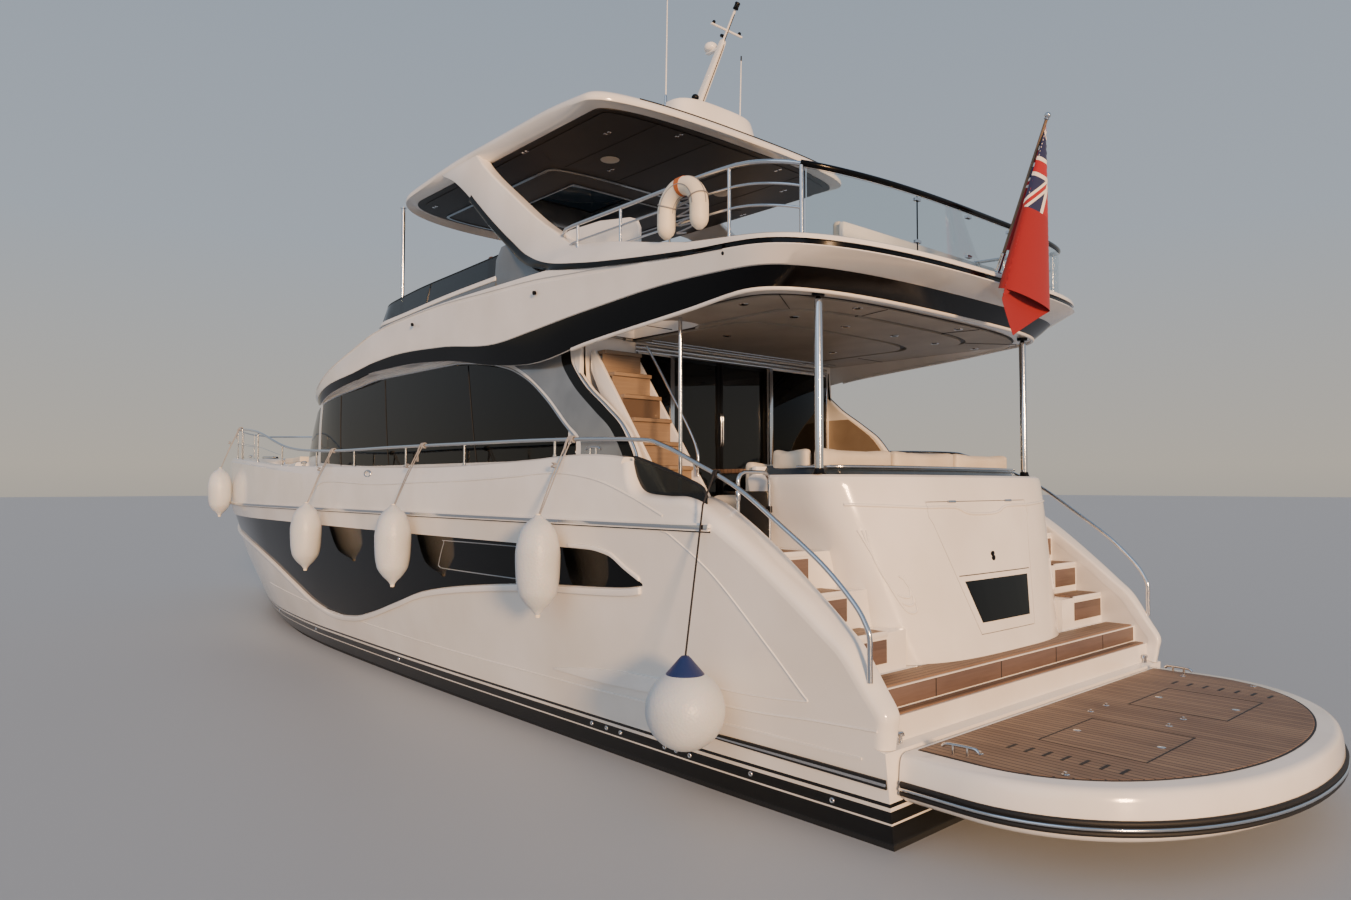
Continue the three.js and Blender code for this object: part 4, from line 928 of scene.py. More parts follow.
def lid_prism(gap):
    edge = [(0.47 + gap, 1.24 - gap), (0.83 + gap, 2.2), (0.87 + gap, 2.25), (0.87 + gap, 2.38 + gap)]
    return prism(edge + [(-y, z) for y, z in reversed(edge)], -9.3, -8.2, "x")


def from_aft(y, z, out=0.0):
    return on_skin(block_skin, (-12, y, z), (1, 0, 0), out)


block_shell = carved(block_form, block_hollow)
part("transom_moulding", carved(block_shell.copy(), lid_prism(0.006)), gelcoat, sharp=30,
     stands_for=["transom_block"])
part("transom_lid", carved(block_shell.copy(), lid_prism(0.0), action="INTERSECT"), gelcoat,
     "transom_hatch", sharp=30, stands_for=["transom_hatch"])
barrels = [turned([(0.012, 0), (0.012, 0.12)], (-8.455, y, 2.383), (0, 1, 0)) for y in (-0.56, 0.44)]
part("lid_hinges", gather(*barrels), steel, "transom_hatch")


def lid_grid(z0, z1, half):
    return [[(y * half(z), z) for z in spread(z0, z1, 10)] for y in spread(-1, 1, 40)]


part("lid_window", panel_on(from_aft, lid_grid(1.33, 1.69, lambda z: 0.42 + (z - 1.33) * 0.37), -0.01,
                            0.004), black_glass, "transom_hatch")
part("lid_joint", panel_on(from_aft, lid_grid(1.735, 1.743, lambda z: 0.62), -0.01, 0.002),
     rubber, "transom_hatch")
lock = turned([(0.03, 0), (0.03, 0.006), (0.022, 0.011), (0.008, 0.012), (0, 0.007)])
fittings("lid_lock", lock, [(from_aft(0.0, 1.9, -0.003), (-1, 0, -0.2)),
                            (from_aft(0.0, 1.862, -0.003), (-1, 0, -0.2))], dark_metal, "transom_hatch")


def bead(name, line, radius, body="boat", mirror=False):
    """A line moulded into the aft face of the transom."""
    run = [from_aft(y, z, -0.002) for y, z in line]
    round_bar(name, both_runs(run) if mirror else [run], radius, gelcoat, body, count=8)


def smooth_flat(points, per=8):
    return [(p.x, p.y) for p in flowing([(a, b, 0) for a, b in points], per)]


# The step line under the coaming dips round the middle of the lid, and parts at the lid's edges
dip = [(-0.87, 2.335), (-0.6, 2.335), (-0.42, 2.325), (-0.3, 2.285), (-0.18, 2.268), (0, 2.265),
       (0.18, 2.268), (0.3, 2.285), (0.42, 2.325), (0.6, 2.335), (0.87, 2.335)]
bead("lid_step_line", smooth_flat(dip), 0.015, "transom_hatch")
bead("coaming_step_line", [(y, 2.335 + 0.035 * (y - 0.88) / 0.82) for y in spread(0.88, 1.7, 24)],
     0.015, mirror=True)
# Swage lines moulded into each corner of the transom
for n, (low, high, foot) in enumerate(((1.2, 1.56, 1.5), (1.22, 1.53, 1.56), (1.24, 1.5, 1.62)), 1):
    swage = smooth_flat([(high + 0.06, 2.16), (1.52, 1.95), (1.42, 1.72), (low + 0.1, foot),
                         (low + 0.01, foot - 0.01), (low + 0.02, foot + 0.1), (low + 0.09, 1.78)])
    bead(f"corner_swage_{n}", swage, 0.011, mirror=True)

# Coaming band on top of the transom block, with a steel rail along its edge
def over_block(z, inset, half):
    return half_line(z, -8.39 + inset, -7.02, half - inset, aft_nose=0.62 - 0.3 * inset, power=3.2)


band = stack(refine([over_block(2.62, 0.17, 1.83), over_block(2.66, 0.2, 1.83),
                     over_block(2.705, 0.24, 1.83)], 2))
# Gloss band under the coaming, coloured a dark blue grey
coaming_band_gloss = finish("blue_grey_band_gloss", "#2f3a44", 0.12, sprayed("#36424d", "#28323b"), Coat_Weight=0.5)
part("coaming_band", carved(band, box_form(-7.9, -6.9, -1.5, 1.5, 2.5, 2.9)), coaming_band_gloss, sharp=30)
coaming_edge = over_block(2.69, 0.19, 1.83)[2:25]
round_bar("coaming_rail", [coaming_edge[::-1] + to_starboard(coaming_edge)], 0.011, steel)

# Bathing platform: a thick rounded slab with laid teak, a rubber and steel rubbing band, and its cleats
def platform_level(z, inset, fore=-9.115):
    return half_line(z, -11.1 + inset, fore, 2.3 - inset, aft_nose=1.5 - inset, power=2.1)


platform_rows = refine([platform_level(z, inset) for z, inset in (
    (0.3, 0.16), (0.325, 0.07), (0.38, 0.015), (0.43, 0.0), (0.54, 0.004), (0.61, 0.016), (0.645, 0.036),
    (0.66, 0.075))], 2)
part("platform_slab", stack(platform_rows), gelcoat, "bathing_platform", sharp=30,
     stands_for=["bathing_platform"])
cheeks = []
for side in (-1, 1):
    near, far = sorted((side * 0.593, side * 0.623))
    cheeks.append(prism([(-9.896, -0.305), (-9.776, -0.305), (-9.676, 0.32), (-10.136, 0.32)], near, far))
    for z in (-0.605, -0.465):
        low = min(side * 0.534, side * 0.6)
        cheeks.append(turned([(0.016, 0), (0.016, 0.066)], (-9.836, low, z + 0.35), (0, 1, 0), 20))
part("platform_cheeks", gather(*cheeks), steel, "bathing_platform", bevel=0.004)
teak_levels = ((0.655, 0.19), (0.664, 0.19), (0.667, 0.195))
teak_mat = stack([platform_level(z, inset, -9.16) for z, inset in teak_levels])
part("platform_teak", teak_mat, teak_deck, "bathing_platform", sharp=30)
margin = stack([platform_level(z, 0.176, -9.15) for z in (0.655, 0.6645)])
part("platform_margin", margin, rubber, "bathing_platform", sharp=30)


def around_platform(z, inset):
    line = platform_level(z, inset)[:-7]
    return to_starboard(line[1:])[::-1] + line


round_bar("platform_rubber", [around_platform(z, -0.004) for z in (0.398, 0.43, 0.462)], 0.019, rubber,
          "bathing_platform", 10)
round_bar("platform_rub_steel", [around_platform(0.43, -0.02)], 0.012, steel, "bathing_platform", 10)
seams = []
for y0, y1 in ((0.35, 1.25), (-1.25, -0.35)):
    corners = [(-10.35, y0), (-9.6, y0), (-9.6, y1), (-10.35, y1)]
    for (ax, ay), (bx, by) in zip(corners, corners[1:] + corners[:1]):
        seams.append(box_form(min(ax, bx) - 0.005, max(ax, bx) + 0.005, min(ay, by) - 0.005,
                              max(ay, by) + 0.005, 0.66, 0.6685))
part("platform_hatch_seams", gather(*seams), rubber, "bathing_platform")
slot_forms = []
for y in (-1.55, 1.55):
    for k in range(7):
        x = -9.55 - 0.13 * k
        slot_forms.append(box_form(x - 0.011, x + 0.011, y - 0.07, y + 0.07, 0.66, 0.6688))
part("platform_drain_slots", gather(*slot_forms), rubber, "bathing_platform")
latch = turned([(0.03, 0), (0.03, 0.0035), (0.024, 0.005), (0, 0.0045)], count=20)
fittings("platform_latches", latch, [((x, y, 0.667), (0, 0, 1)) for y in (-0.8, 0.8)
                                     for x in (-10.28, -9.68)], steel, "bathing_platform")
socket = turned([(0.026, 0), (0.026, 0.004), (0.012, 0.008), (0.012, 0.02), (0, 0.022)], count=16)
fittings("platform_sockets", socket, [((x, y, 0.667), (0, 0, 1)) for y in (-1.9, -0.15, 0.15, 1.9)
                                      for x in (-10.1, -9.5)], steel, "bathing_platform")


def cleat(name, x, y, z, length=0.26, body="boat", turn=0.0):
    """A pop-up cleat: a horn bar that bends down at its ends, on two short legs."""
    along = Vector((cos(turn), sin(turn), 0))
    spot = Vector((x, y, z))
    up = Vector((0, 0, 1))
    arch = ((-0.5, 0.045), (-0.42, 0.062), (-0.25, 0.068), (0.25, 0.068), (0.42, 0.062), (0.5, 0.045))
    horn = flowing([spot + along * (s * length) + up * h for s, h in arch], 5)
    legs = [[spot + along * (s * length) - up * 0.004, spot + along * (s * length) + up * 0.068]
            for s in (-0.2, 0.2)]
    round_bar(name, [horn] + legs, 0.012, steel, body, 12)


for side_name, side in SIDES:
    cleat(f"platform_cleat_{side_name}", -9.42, side * 2.02, 0.66, body="bathing_platform", turn=side * 0.12)
    cleat(f"quarter_cleat_{side_name}", -9.04, side * 2.19, 0.7, 0.1, turn=pi / 2)

# Stern stairs: the white moulding of the frame, with teak laid on every tread and across the risers
treads, risers, noses = [], [], []
for side in (-1, 1):
    for n in (1, 2, 3):
        top = 1.05 + 0.31 * n
        aft = -8.56 + 0.27 * (n - 1)
        fore = aft + 0.255 if n < 3 else -7.27
        low, high = sorted((side * (1.5 + 0.153 * n), side * 2.27))
        treads.append(box_form(aft + 0.015, fore, low, high, top + 0.0004, top + 0.012))
        risers.append(box_form(aft - 0.009, aft - 0.0004, low, high, top - 0.235, top - 0.05))
        noses.append(box_form(aft - 0.012, aft + 0.012, low - 0.01, high + 0.01, top - 0.03, top + 0.014))
part("stair_treads", gather(*treads), teak_step, bevel=0.003)
part("stair_risers", gather(*risers), teak_riser, bevel=0.003)
part("stair_noses", gather(*noses), gelcoat, bevel=0.004)
landing = boxes((-8.885, -8.62, -2.27, 2.27, 1.0504, 1.062), (-9.0, -8.915, -2.27, 2.27, 0.8804, 0.892))
part("landing_teak", landing, teak_step, bevel=0.003)
part("landing_riser", box_form(-8.909, -8.9004, -2.25, 2.25, 0.9, 1.04), teak_riser, bevel=0.003)
part("fascia_joints", boxes(*[(-8.911, -8.905, y - 0.004, y + 0.004, 0.9, 1.04)
                              for y in (-1.5, -0.5, 0.5, 1.5)]), rubber)

# Deckhouse: sides with a rounded front, and the wing plates aft of it, as one skin
HOUSE_AFT = -5.05
WALL_Y = ((2.2, 2.15), (3.0, 2.15), (3.5, 2.13), (4.1, 2.09))
WING_EDGE = ((2.23, -6.15), (2.79, -6.06), (3.11, -5.85), (3.33, -5.56), (3.57, -5.21), (3.85, -4.96),
             (4.1, -4.93))


def house_levels(inset, floor, ceiling):
    def level(z, half, fore, nose, power):
        return half_line(z, HOUSE_AFT + inset, fore - inset, half - inset, half - inset - 0.02,
                         fore_nose=nose, power=power)
    return [
        level(lambda x: sheer(3, x) + floor, 2.15, 6.0, 4.9, 2.0),
        level(3.0, 2.15, 5.9, 4.85, 2.0),
        level(3.5, 2.13, 5.1, 4.0, 2.3),
        level(lambda x: sample(FLY_LINES, 1, x) + ceiling, 2.09, 4.25, 3.1, 2.8),
    ]


def wing_ring(z):
    aft, outer = sample(WING_EDGE, 1, z), sample(WALL_Y, 1, z)
    nose = [(aft + 0.035 - 0.035 * sin(t), outer - 0.045 + 0.045 * cos(t)) for t in spread(0, pi, 8)]
    return [(x, y, z) for x, y in [(-4.9, outer)] + nose + [(-4.9, outer - 0.09)]]


house_form = stack(refine(house_levels(0.0, -0.01, 0.015), 6))
wing_form = loft([wing_ring(z) for z in spread(2.231, 4.09, 30)], round_rows=True, ends=True)
house_skin = skin_of(gather(house_form, both_sides(wing_form)))


def on_house(x, z, out):
    return port_skin(house_skin, x, z, out)


def side_glass_grid(grow, start):
    def low(x):
        return sample(((-5.08, 2.8), (0.0, 2.81), (2.5, 2.9)), 1, x) - grow

    def high(x):
        return sample(SALOON_ARC, 1, x) + grow
    return upright_grid(spread(start - grow, 2.5 + grow, 90), low, high, 10)


def on_front(a, k, out):
    """A spot of the windscreen: a is the bearing from a point inside the house, k runs up the glass."""
    heart, aim = Vector((2.4, 0, 0)), Vector((cos(a), sin(a), 0))
    high = 3.5
    for _ in range(4):
        z = 3.03 + (high - 3.03) * k
        spot = on_skin(house_skin, heart + aim * 8 + Vector((0, 0, z)), -aim, out)
        high = sample(((2.65, 3.86), (4.5, 3.56), (6.4, 3.4)), 1, spot.x)
    return spot


SCREEN_EDGE = radians(82.5)
doorway = box_form(-5.2, -4.9, -0.88, 0.81, 2.27, 4.02)
front_grid = [[(a, k) for k in spread(0, 1, 10)] for a in spread(-SCREEN_EDGE, SCREEN_EDGE, 120)]
side_recess = panel_on(on_house, side_glass_grid(0.0, -5.03), -0.02, 0.1)
house_mesh = carved(house_form, stack(house_levels(0.06, 0.04, -0.05)), doorway, side_recess,
                    mirrored(side_recess), panel_on(on_front, front_grid, -0.02, 0.1))
part("deckhouse_moulding", house_mesh, gelcoat, sharp=30, stands_for=["deckhouse"])
part("wing_plates", both_sides(wing_form), gelcoat, sharp=40)

glass_inlay = panel_on(on_house, side_glass_grid(-0.004, -5.05), -0.018, 0.0)
for name, side in SIDES:
    part(f"saloon_side_glass_{name}", glass_inlay if side > 0 else mirrored(glass_inlay), black_glass,
         sharp=50, stands_for=[f"saloon_glass_{name}"])
inner_front = [[(a, k) for k in spread(0.01, 0.99, 10)]
               for a in spread(-SCREEN_EDGE + 0.004, SCREEN_EDGE - 0.004, 120)]
part("front_glass", panel_on(on_front, inner_front, -0.018, 0.0), black_glass, sharp=50,
     stands_for=["windscreen"])

# Joints of the side glass, its narrow rim, and the posts of the windscreen
joint_runs = []
for foot, head in ((-2.95, -2.62), (-0.42, -0.14), (1.35, 1.52)):
    low, high = 2.815, sample(SALOON_ARC, 1, head) - 0.02
    joint_runs.append([on_house(foot + (head - foot) * t, low + (high - low) * t, 0.002)
                       for t in spread(0, 1, 12)])
rim_line = [on_house(x, sample(SALOON_ARC, 1, x) + 0.012, 0.002) for x in spread(-5.06, 2.5, 110)]
post_runs = [[on_front(a, k, 0.003) for k in spread(0, 1, 8)] for a in (-0.42, 0.42)]
round_bar("saloon_glass_joints", both_runs(*joint_runs) + post_runs, 0.007, rubber, count=8)
round_bar("saloon_glass_rim", both_runs(rim_line), 0.012, steel, count=10)

# Silver pillar between the glass and the aft edge, its black border, and the steel edge beads
pillar_aft = side_line([(-6.07, 2.62), (-6.02, 2.79), (-5.81, 3.11), (-5.52, 3.33), (-5.17, 3.57),
                        (-4.92, 3.82), (-4.86, 3.98)])
pillar_fore = side_line([(-5.14, 2.62), (-5.13, 2.8), (-5.11, 3.02), (-4.87, 3.2), (-4.48, 3.51),
                         (-4.06, 3.77), (-3.72, 3.93)])


def between(a, b, start, stop, rows=12):
    """Grid of (x, z) from start to stop of the way between two lines of equal length."""
    return [[((p + (q - p) * t).x, (p + (q - p) * t).z) for t in spread(start, stop, rows)]
            for p, q in zip(a, b)]


border = [p + (q - p).normalized() * 0.17 for p, q in zip(pillar_aft, pillar_fore)]
part("pillar_panels", both_sides(panel_on(on_house, between(border, pillar_fore, 0.0, 1.0), -0.01, 0.003)),
     silver_paint, sharp=50)
part("pillar_borders", both_sides(panel_on(on_house, between(pillar_aft, border, 0.0, 1.0, 4), -0.01, 0.004)),
     black_paint_and_painted_reflection, sharp=50)
wing_bead = [(sample(WING_EDGE, 1, z) + 0.012, sample(WALL_Y, 1, z) - 0.012, z)
             for z in spread(2.45, 3.98, 60)]
round_bar("wing_edge_beads", both_runs(wing_bead), 0.014, steel, count=12)
wing_inside = [(sample(WING_EDGE, 1, z) + 0.06, z) for z in spread(2.3, 4.05, 24)]
wing_inside += [(-5.06, 4.05), (-5.06, 2.3)]
part("wing_liners", both_sides(prism(wing_inside, 2.045, 2.0585)), hide_tan, sharp=40)

# Aft bulkhead: black glass each side of the doors, their frame, and what shows through them
part("bulkhead_glass", boxes((-5.062, -5.049, 0.84, 1.32, 2.28, 4.0),
                             (-5.062, -5.049, -1.98, -0.91, 2.28, 4.0)), black_glass, bevel=0.003)
frames = [box_form(-5.068, -5.046, y - 0.03, y + 0.03, 2.25, 4.05) for y in (-0.88, 0.81)]
frames += [box_form(-5.07, -5.046, -2.0, 1.36, z, z + 0.035) for z in (4.02, 4.065)]
frames += [box_form(-5.066, -5.046, y - 0.012, y + 0.012, 2.25, 4.02) for y in (-2.0, 1.335)]
part("bulkhead_frames", gather(*frames), steel, bevel=0.004)
part("door_sill", box_form(-5.09, -4.93, -0.9, 0.83, 2.235, 2.262), steel, bevel=0.006)
for name, side, low, high in (("door_port", 1, -0.032, 0.82), ("door_stbd", -1, -0.89, -0.038)):
    z0, z1, w = 2.276, 4.04, 0.055
    part(f"{name}_pane", box_form(-4.975, -4.963, low + w - 0.01, high - w + 0.01, z0 + w - 0.01,
                                  z1 - w + 0.01), smoked_glass, body=name)
    part(f"{name}_frame", boxes(
        (-4.984, -4.954, low, low + w, z0, z1), (-4.984, -4.954, high - w, high, z0, z1),
        (-4.9835, -4.9545, low + w - 0.002, high - w + 0.002, z0, z0 + w),
        (-4.9835, -4.9545, low + w - 0.002, high - w + 0.002, z1 - w, z1)), dark_metal, body=name,
         bevel=0.003, stands_for=[name])
    handle_y = (low + 0.014) if side > 0 else (high - 0.014)
    round_bar(f"{name}_pull", [flowing([(-4.984, handle_y, 3.0), (-5.02, handle_y, 3.02),
                                        (-5.025, handle_y, 3.2), (-5.02, handle_y, 3.38),
                                        (-4.984, handle_y, 3.4)], 5)], 0.009, steel, name)
part("saloon_sole", box_form(-4.93, 1.2, -2.0, 2.0, 2.262, 2.275), oak)
part("saloon_lockers", boxes(
    (-4.6, -3.2, -2.03, -1.4, 2.275, 3.1), (-3.1, -0.6, -2.03, -1.2, 2.275, 2.72),
    (-4.6, -3.3, 1.45, 2.03, 2.275, 3.12)), oak, bevel=0.015)
part("saloon_partition", box_form(1.2, 1.24, -2.02, 2.02, 2.262, 4.05), oak)
part("saloon_sofa_base", boxes(
    (-3.1, -0.8, 1.25, 2.03, 2.275, 2.66), (-3.1, -0.8, 1.8, 2.04, 2.66, 3.05),
    (-3.08, -0.62, -1.98, -1.24, 2.72, 2.86)), hide_cream, bevel=0.05, steps=4)

# Flybridge moulding: white lip, black band, white band, a black groove, and the cap round the deck
CAP_TOP = ((-8.73, 4.46), (-8.09, 4.545), (-6.93, 4.68), (-6.16, 4.78), (-4.7, 4.83), (-2.4, 4.85),
           (-0.4, 4.77), (0.6, 4.6), (1.66, 4.4), (2.7, 4.19), (4.4, 3.965))
STAIR_HOLE = (-6.33, -5.1, 1.41, 2.02)


def fly(column, step=0.0):
    return lambda x: sample(FLY_LINES, column, x) + step


def cap(step):
    return lambda x: sample(CAP_TOP, 1, x) + step


def fly_level(aft, nose, aft_half, fore_half, fore, z):
    return half_line(z, aft, fore, aft_half, fore_half, aft_nose=nose, fore_nose=4.2, power=2.6,
                     aft_power=3.0)


def hollow(outside, inside, low, high):
    """Upright ring between two outlines of equal length, given as their port halves."""
    loops = [(outside, low), (outside, high), (inside, high), (inside, low), (outside, low)]
    return loft([[(x, y, z) for x, y, _ in closed_line(half)] for half, z in loops], round_rows=True)


fly_rows = [
    fly_level(-8.12, 0.7, 2.22, 2.19, 4.23, fly(1)),
    fly_level(-8.21, 0.78, 2.28, 2.23, 4.28, fly(2, -0.004)),
    fly_level(-8.24, 0.8, 2.3, 2.24, 4.3, fly(2)),
    fly_level(-8.34, 0.85, 2.342, 2.265, 4.325, lambda x: 0.5 * (fly(2)(x) + fly(3)(x))),
    fly_level(-8.43, 0.9, 2.37, 2.28, 4.34, fly(3)),
    fly_level(-8.46, 0.92, 2.385, 2.285, 4.35, fly(3, 0.006)),
    fly_level(-8.73, 1.13, 2.42, 2.3, 4.4, fly(4, -0.065)),
    fly_level(-8.725, 1.13, 2.414, 2.296, 4.395, fly(4, -0.055)),
    fly_level(-8.705, 1.12, 2.4, 2.285, 4.38, fly(4, -0.053)),
    fly_level(-8.705, 1.12, 2.4, 2.285, 4.38, fly(4, -0.012)),
    fly_level(-8.725, 1.13, 2.415, 2.296, 4.395, fly(4, -0.01)),
    fly_level(-8.725, 1.13, 2.415, 2.29, 4.39, lambda x: max(cap(-0.03)(x), fly(4)(x))),
    fly_level(-8.715, 1.12, 2.406, 2.28, 4.38, cap(-0.01)),
    fly_level(-8.69, 1.1, 2.385, 2.26, 4.36, cap(0.0)),
]
fly_form = stack(fly_rows)
well_line = half_line(0, -8.45, 0.35, 2.24, 2.08, aft_nose=0.9, fore_nose=0.9)
hole_x0, hole_x1, hole_y0, hole_y1 = STAIR_HOLE
hole_line = smooth_flat([(hole_x1, hole_y0), (-6.0, hole_y0), (hole_x0 + 0.06, hole_y0 + 0.12),
                         (hole_x0, 1.72), (hole_x0 + 0.06, hole_y1 - 0.12), (-6.0, hole_y1),
                         (hole_x1, hole_y1)], 6)
hole_form = prism(hole_line, 4.0, 5.2, "z")
fly_mesh = carved(fly_form, slab_of(well_line, FLY_DECK, 6.0), hole_form)
fly_top = part("flybridge_moulding", fly_mesh, [gelcoat, black_paint_and_painted_reflection], sharp=28, stands_for=["flybridge"])


def fly_paint(centre, normal):
    """Black on the outer faces within the band and the groove, white elsewhere."""
    x, y, z = centre
    if hole_x0 - 0.1 < x < hole_x1 + 0.1 and hole_y0 - 0.1 < y < hole_y1 + 0.1:
        return 0
    outer = 0.3 * normal.x * (x + 4) + normal.y * y > 0.02
    low, high, top = (sample(FLY_LINES, k, x) for k in (2, 3, 4))
    band = low - 0.003 < z < high - 0.002 and abs(normal.z) < 0.93
    groove = top - 0.054 < z < top - 0.011 and x < -6.9
    return int(outer and (band or groove))


for face in fly_top.data.polygons:
    face.material_index = fly_paint(face.center, face.normal)
lip = [p for p in fly_level(-8.225, 0.79, 2.29, 2.235, 4.29, fly(2, -0.006)) if p[0] < -4.93]
round_bar("flybridge_lip", both_runs(lip), 0.02, gelcoat, count=12)

# Cockpit ceiling: panels of cloth over a near-black sheet, with its lights; the sheet seen in the gaps between
# the panels is painted shade of their shadow lines
def flat_line(aft, half, nose):
    return half_line(0, aft, -5.06, half, aft_nose=nose)


# Near-black sheet above the panels, whose strips in the gaps are painted shade
part("ceiling_joints", carved(slab_of(flat_line(-8.04, 2.13, 0.68), 4.143, 4.152), hole_form), dark_liner_and_gap_shade)
outer_ring = hollow(flat_line(-8.02, 2.11, 0.66), flat_line(-7.67, 1.57, 0.48), 4.132, 4.146)
middle = hollow(flat_line(-7.625, 1.525, 0.46), flat_line(-6.97, 1.43, 0.45), 4.122, 4.146)
inner = slab_of(flat_line(-6.91, 1.37, 0.42), 4.122, 4.146)
for name, form in (("outer", outer_ring), ("middle", middle), ("inner", inner)):
    part(f"ceiling_panel_{name}", carved(form, hole_form), ceiling_cloth, sharp=40)
seam_ends = ((-7.78, 2.02, -7.44, 1.5), (-7.66, 0.72, -8.01, 0.8), (-5.9, 2.1, -5.9, 1.56),
             (-6.96, 0.7, -7.64, 0.75))
seams = [((x0, y0 * s, 4.131), (x1, y1 * s, 4.131)) for s in (1, -1) for x0, y0, x1, y1 in seam_ends]
round_bar("ceiling_seams", seams, 0.004, rubber, count=8)
spots = [((x, y, 4.131 if abs(y) > 1.6 or x < -7.7 else 4.121), (0, 0, -1)) for x, y in (
    (-6.04, 0.9), (-6.04, -0.9), (-7.24, 0.42), (-7.24, -0.42), (-7.24, 1.2), (-7.24, -1.2), (-7.86, 1.05),
    (-7.88, -0.62), (-7.3, 1.95), (-7.3, -1.95))]
rim_profile = [(0.028, 0.004), (0.04, 0.006), (0.048, 0.0), (0.048, -0.006), (0.02, -0.006)]
fittings("ceiling_light_rims", turned(rim_profile, count=28, open_ends=True), spots, steel)
fittings("ceiling_light_lenses", turned([(0.027, 0.004), (0.027, -0.004)], count=24), spots, clear_glass)
part("ceiling_track", boxes((-5.3, -5.27, -1.9, 1.3, 4.115, 4.134), (-5.18, -5.165, -1.9, 1.3, 4.11, 4.134)),
     steel, bevel=0.004)

# Fly deck in teak inside the well
teak_line = half_line(0, -8.43, 0.33, 2.22, 2.06, aft_nose=0.88, fore_nose=0.88)
deck_teak = carved(slab_of(teak_line, FLY_DECK - 0.002, FLY_DECK + 0.007), prism(hole_line, 4.2, 5.2, "z"))
part("fly_deck_teak", deck_teak, teak_deck)

# Fly screen: coaming in grey that is painted shade of the gap under the rail, white rail on it, tinted panes
# in a black frame
RAIL_Z = ((-3.5, 5.02), (-2.3, 4.99), (-0.8, 4.92), (0.7, 4.86))
PANE_TOP = ((-3.54, 5.315), (-2.38, 5.28), (-1.38, 5.25), (-0.24, 5.17), (0.7, 5.09))


def screen_line(inset, z, start=-3.41):
    line = half_line(z, start, 0.7 - inset, 2.16 - inset, fore_nose=1.1, power=2.6, fine=4)
    return [p for p in line if p[1] > 2.16 - inset - 0.001 or p[0] > start + 0.2]


def rail_z(step):
    return lambda x: sample(RAIL_Z, 1, x) + step


def pane_top(x):
    return sample(PANE_TOP, 1, x)


def round_bow(line):
    """A port line that ends on the centreline, carried on down the starboard side."""
    return list(line) + to_starboard(line[:-1])[::-1]


def wall(line_outer, line_inner):
    """Upright wall from outlines at its foot and head, outer face and inner face, on both sides."""
    whole = [round_bow(row) for row in (line_outer[0], line_outer[1], line_inner[1], line_inner[0])]
    points, faces = loft(whole + [whole[0]])
    width = len(whole[0])
    for column in (0, width - 1):
        faces.append(tuple(column + width * k for k in range(4)))
    return points, faces


# The coaming's grey is painted shade: it fills the dark gap between the white band and the screen's rail
part("fly_coaming", wall([screen_line(-0.06, fly(4, -0.1)), screen_line(0.0, rail_z(-0.02))],
                         [screen_line(0.2, lambda x: 4.34), screen_line(0.17, rail_z(-0.02))]),
     grey_paint_and_painted_shade, sharp=40)
part("fly_screen_rail", wall([screen_line(-0.02, rail_z(-0.045)), screen_line(-0.005, rail_z(0.02))],
                             [screen_line(0.18, rail_z(-0.045)), screen_line(0.17, rail_z(0.02))]),
     gelcoat, sharp=30, bevel=0.014, steps=3)
part("fly_screen_panes", wall([screen_line(0.02, rail_z(0.018)), screen_line(0.075, pane_top)],
                              [screen_line(0.03, rail_z(0.018)), screen_line(0.085, pane_top)]),
     smoked_glass, sharp=30, stands_for=["fly_screen"])
top_run = screen_line(0.08, pane_top)
foot_run = screen_line(0.025, rail_z(0.024))


def screen_post(axis, value):
    """A post of the frame, at a value of x along the side or of y across the front."""
    def miss(p):
        return abs(p[axis] - value) + (axis == 0 and p[1] < 1.5) * 9
    return [min(foot_run, key=miss), min(top_run, key=miss)]


frame_runs = [round_bow(top_run), round_bow(foot_run)]
frame_runs += both_runs(*[screen_post(0, x) for x in (-3.35, -1.55, -0.05)])
frame_runs += both_runs(screen_post(1, 0.55))
round_bar("fly_screen_frame", frame_runs, 0.012, black_paint_and_painted_reflection, count=10)
fairing = [(-4.72, 4.8), (-4.5, 4.86), (-4.28, 4.95), (-4.05, 5.09), (-3.86, 5.23), (-3.66, 5.37),
           (-3.52, 5.36), (-3.4, 5.22), (-3.38, 5.05), (-3.34, 4.99), (-3.0, 4.96), (-2.4, 4.9),
           (-2.2, 4.82)]
part("fly_fairings", both_sides(prism(fairing, 2.05, 2.165)), grey_paint_and_painted_shade, bevel=0.012, steps=3)

# Hardtop: white moulding with a dark liner under it, open for the sunroof
HARDTOP_UNDER = 6.56
HARDTOP_CROWN = 6.87
LINER_FACE = 6.546
SUNROOF = (-3.05, -1.3, 0.8)


def hardtop_line(inset, z):
    return half_line(z, -5.6 + inset, -0.15 - inset, 2.16 - inset, 2.13 - inset,
                     aft_nose=max(0.2, 0.5 - inset), fore_nose=max(0.5, 0.9 - inset), power=2.6)


def hardtop_edge(step):
    return lambda x: sample(HARDTOP_LINE, 1, x) + step


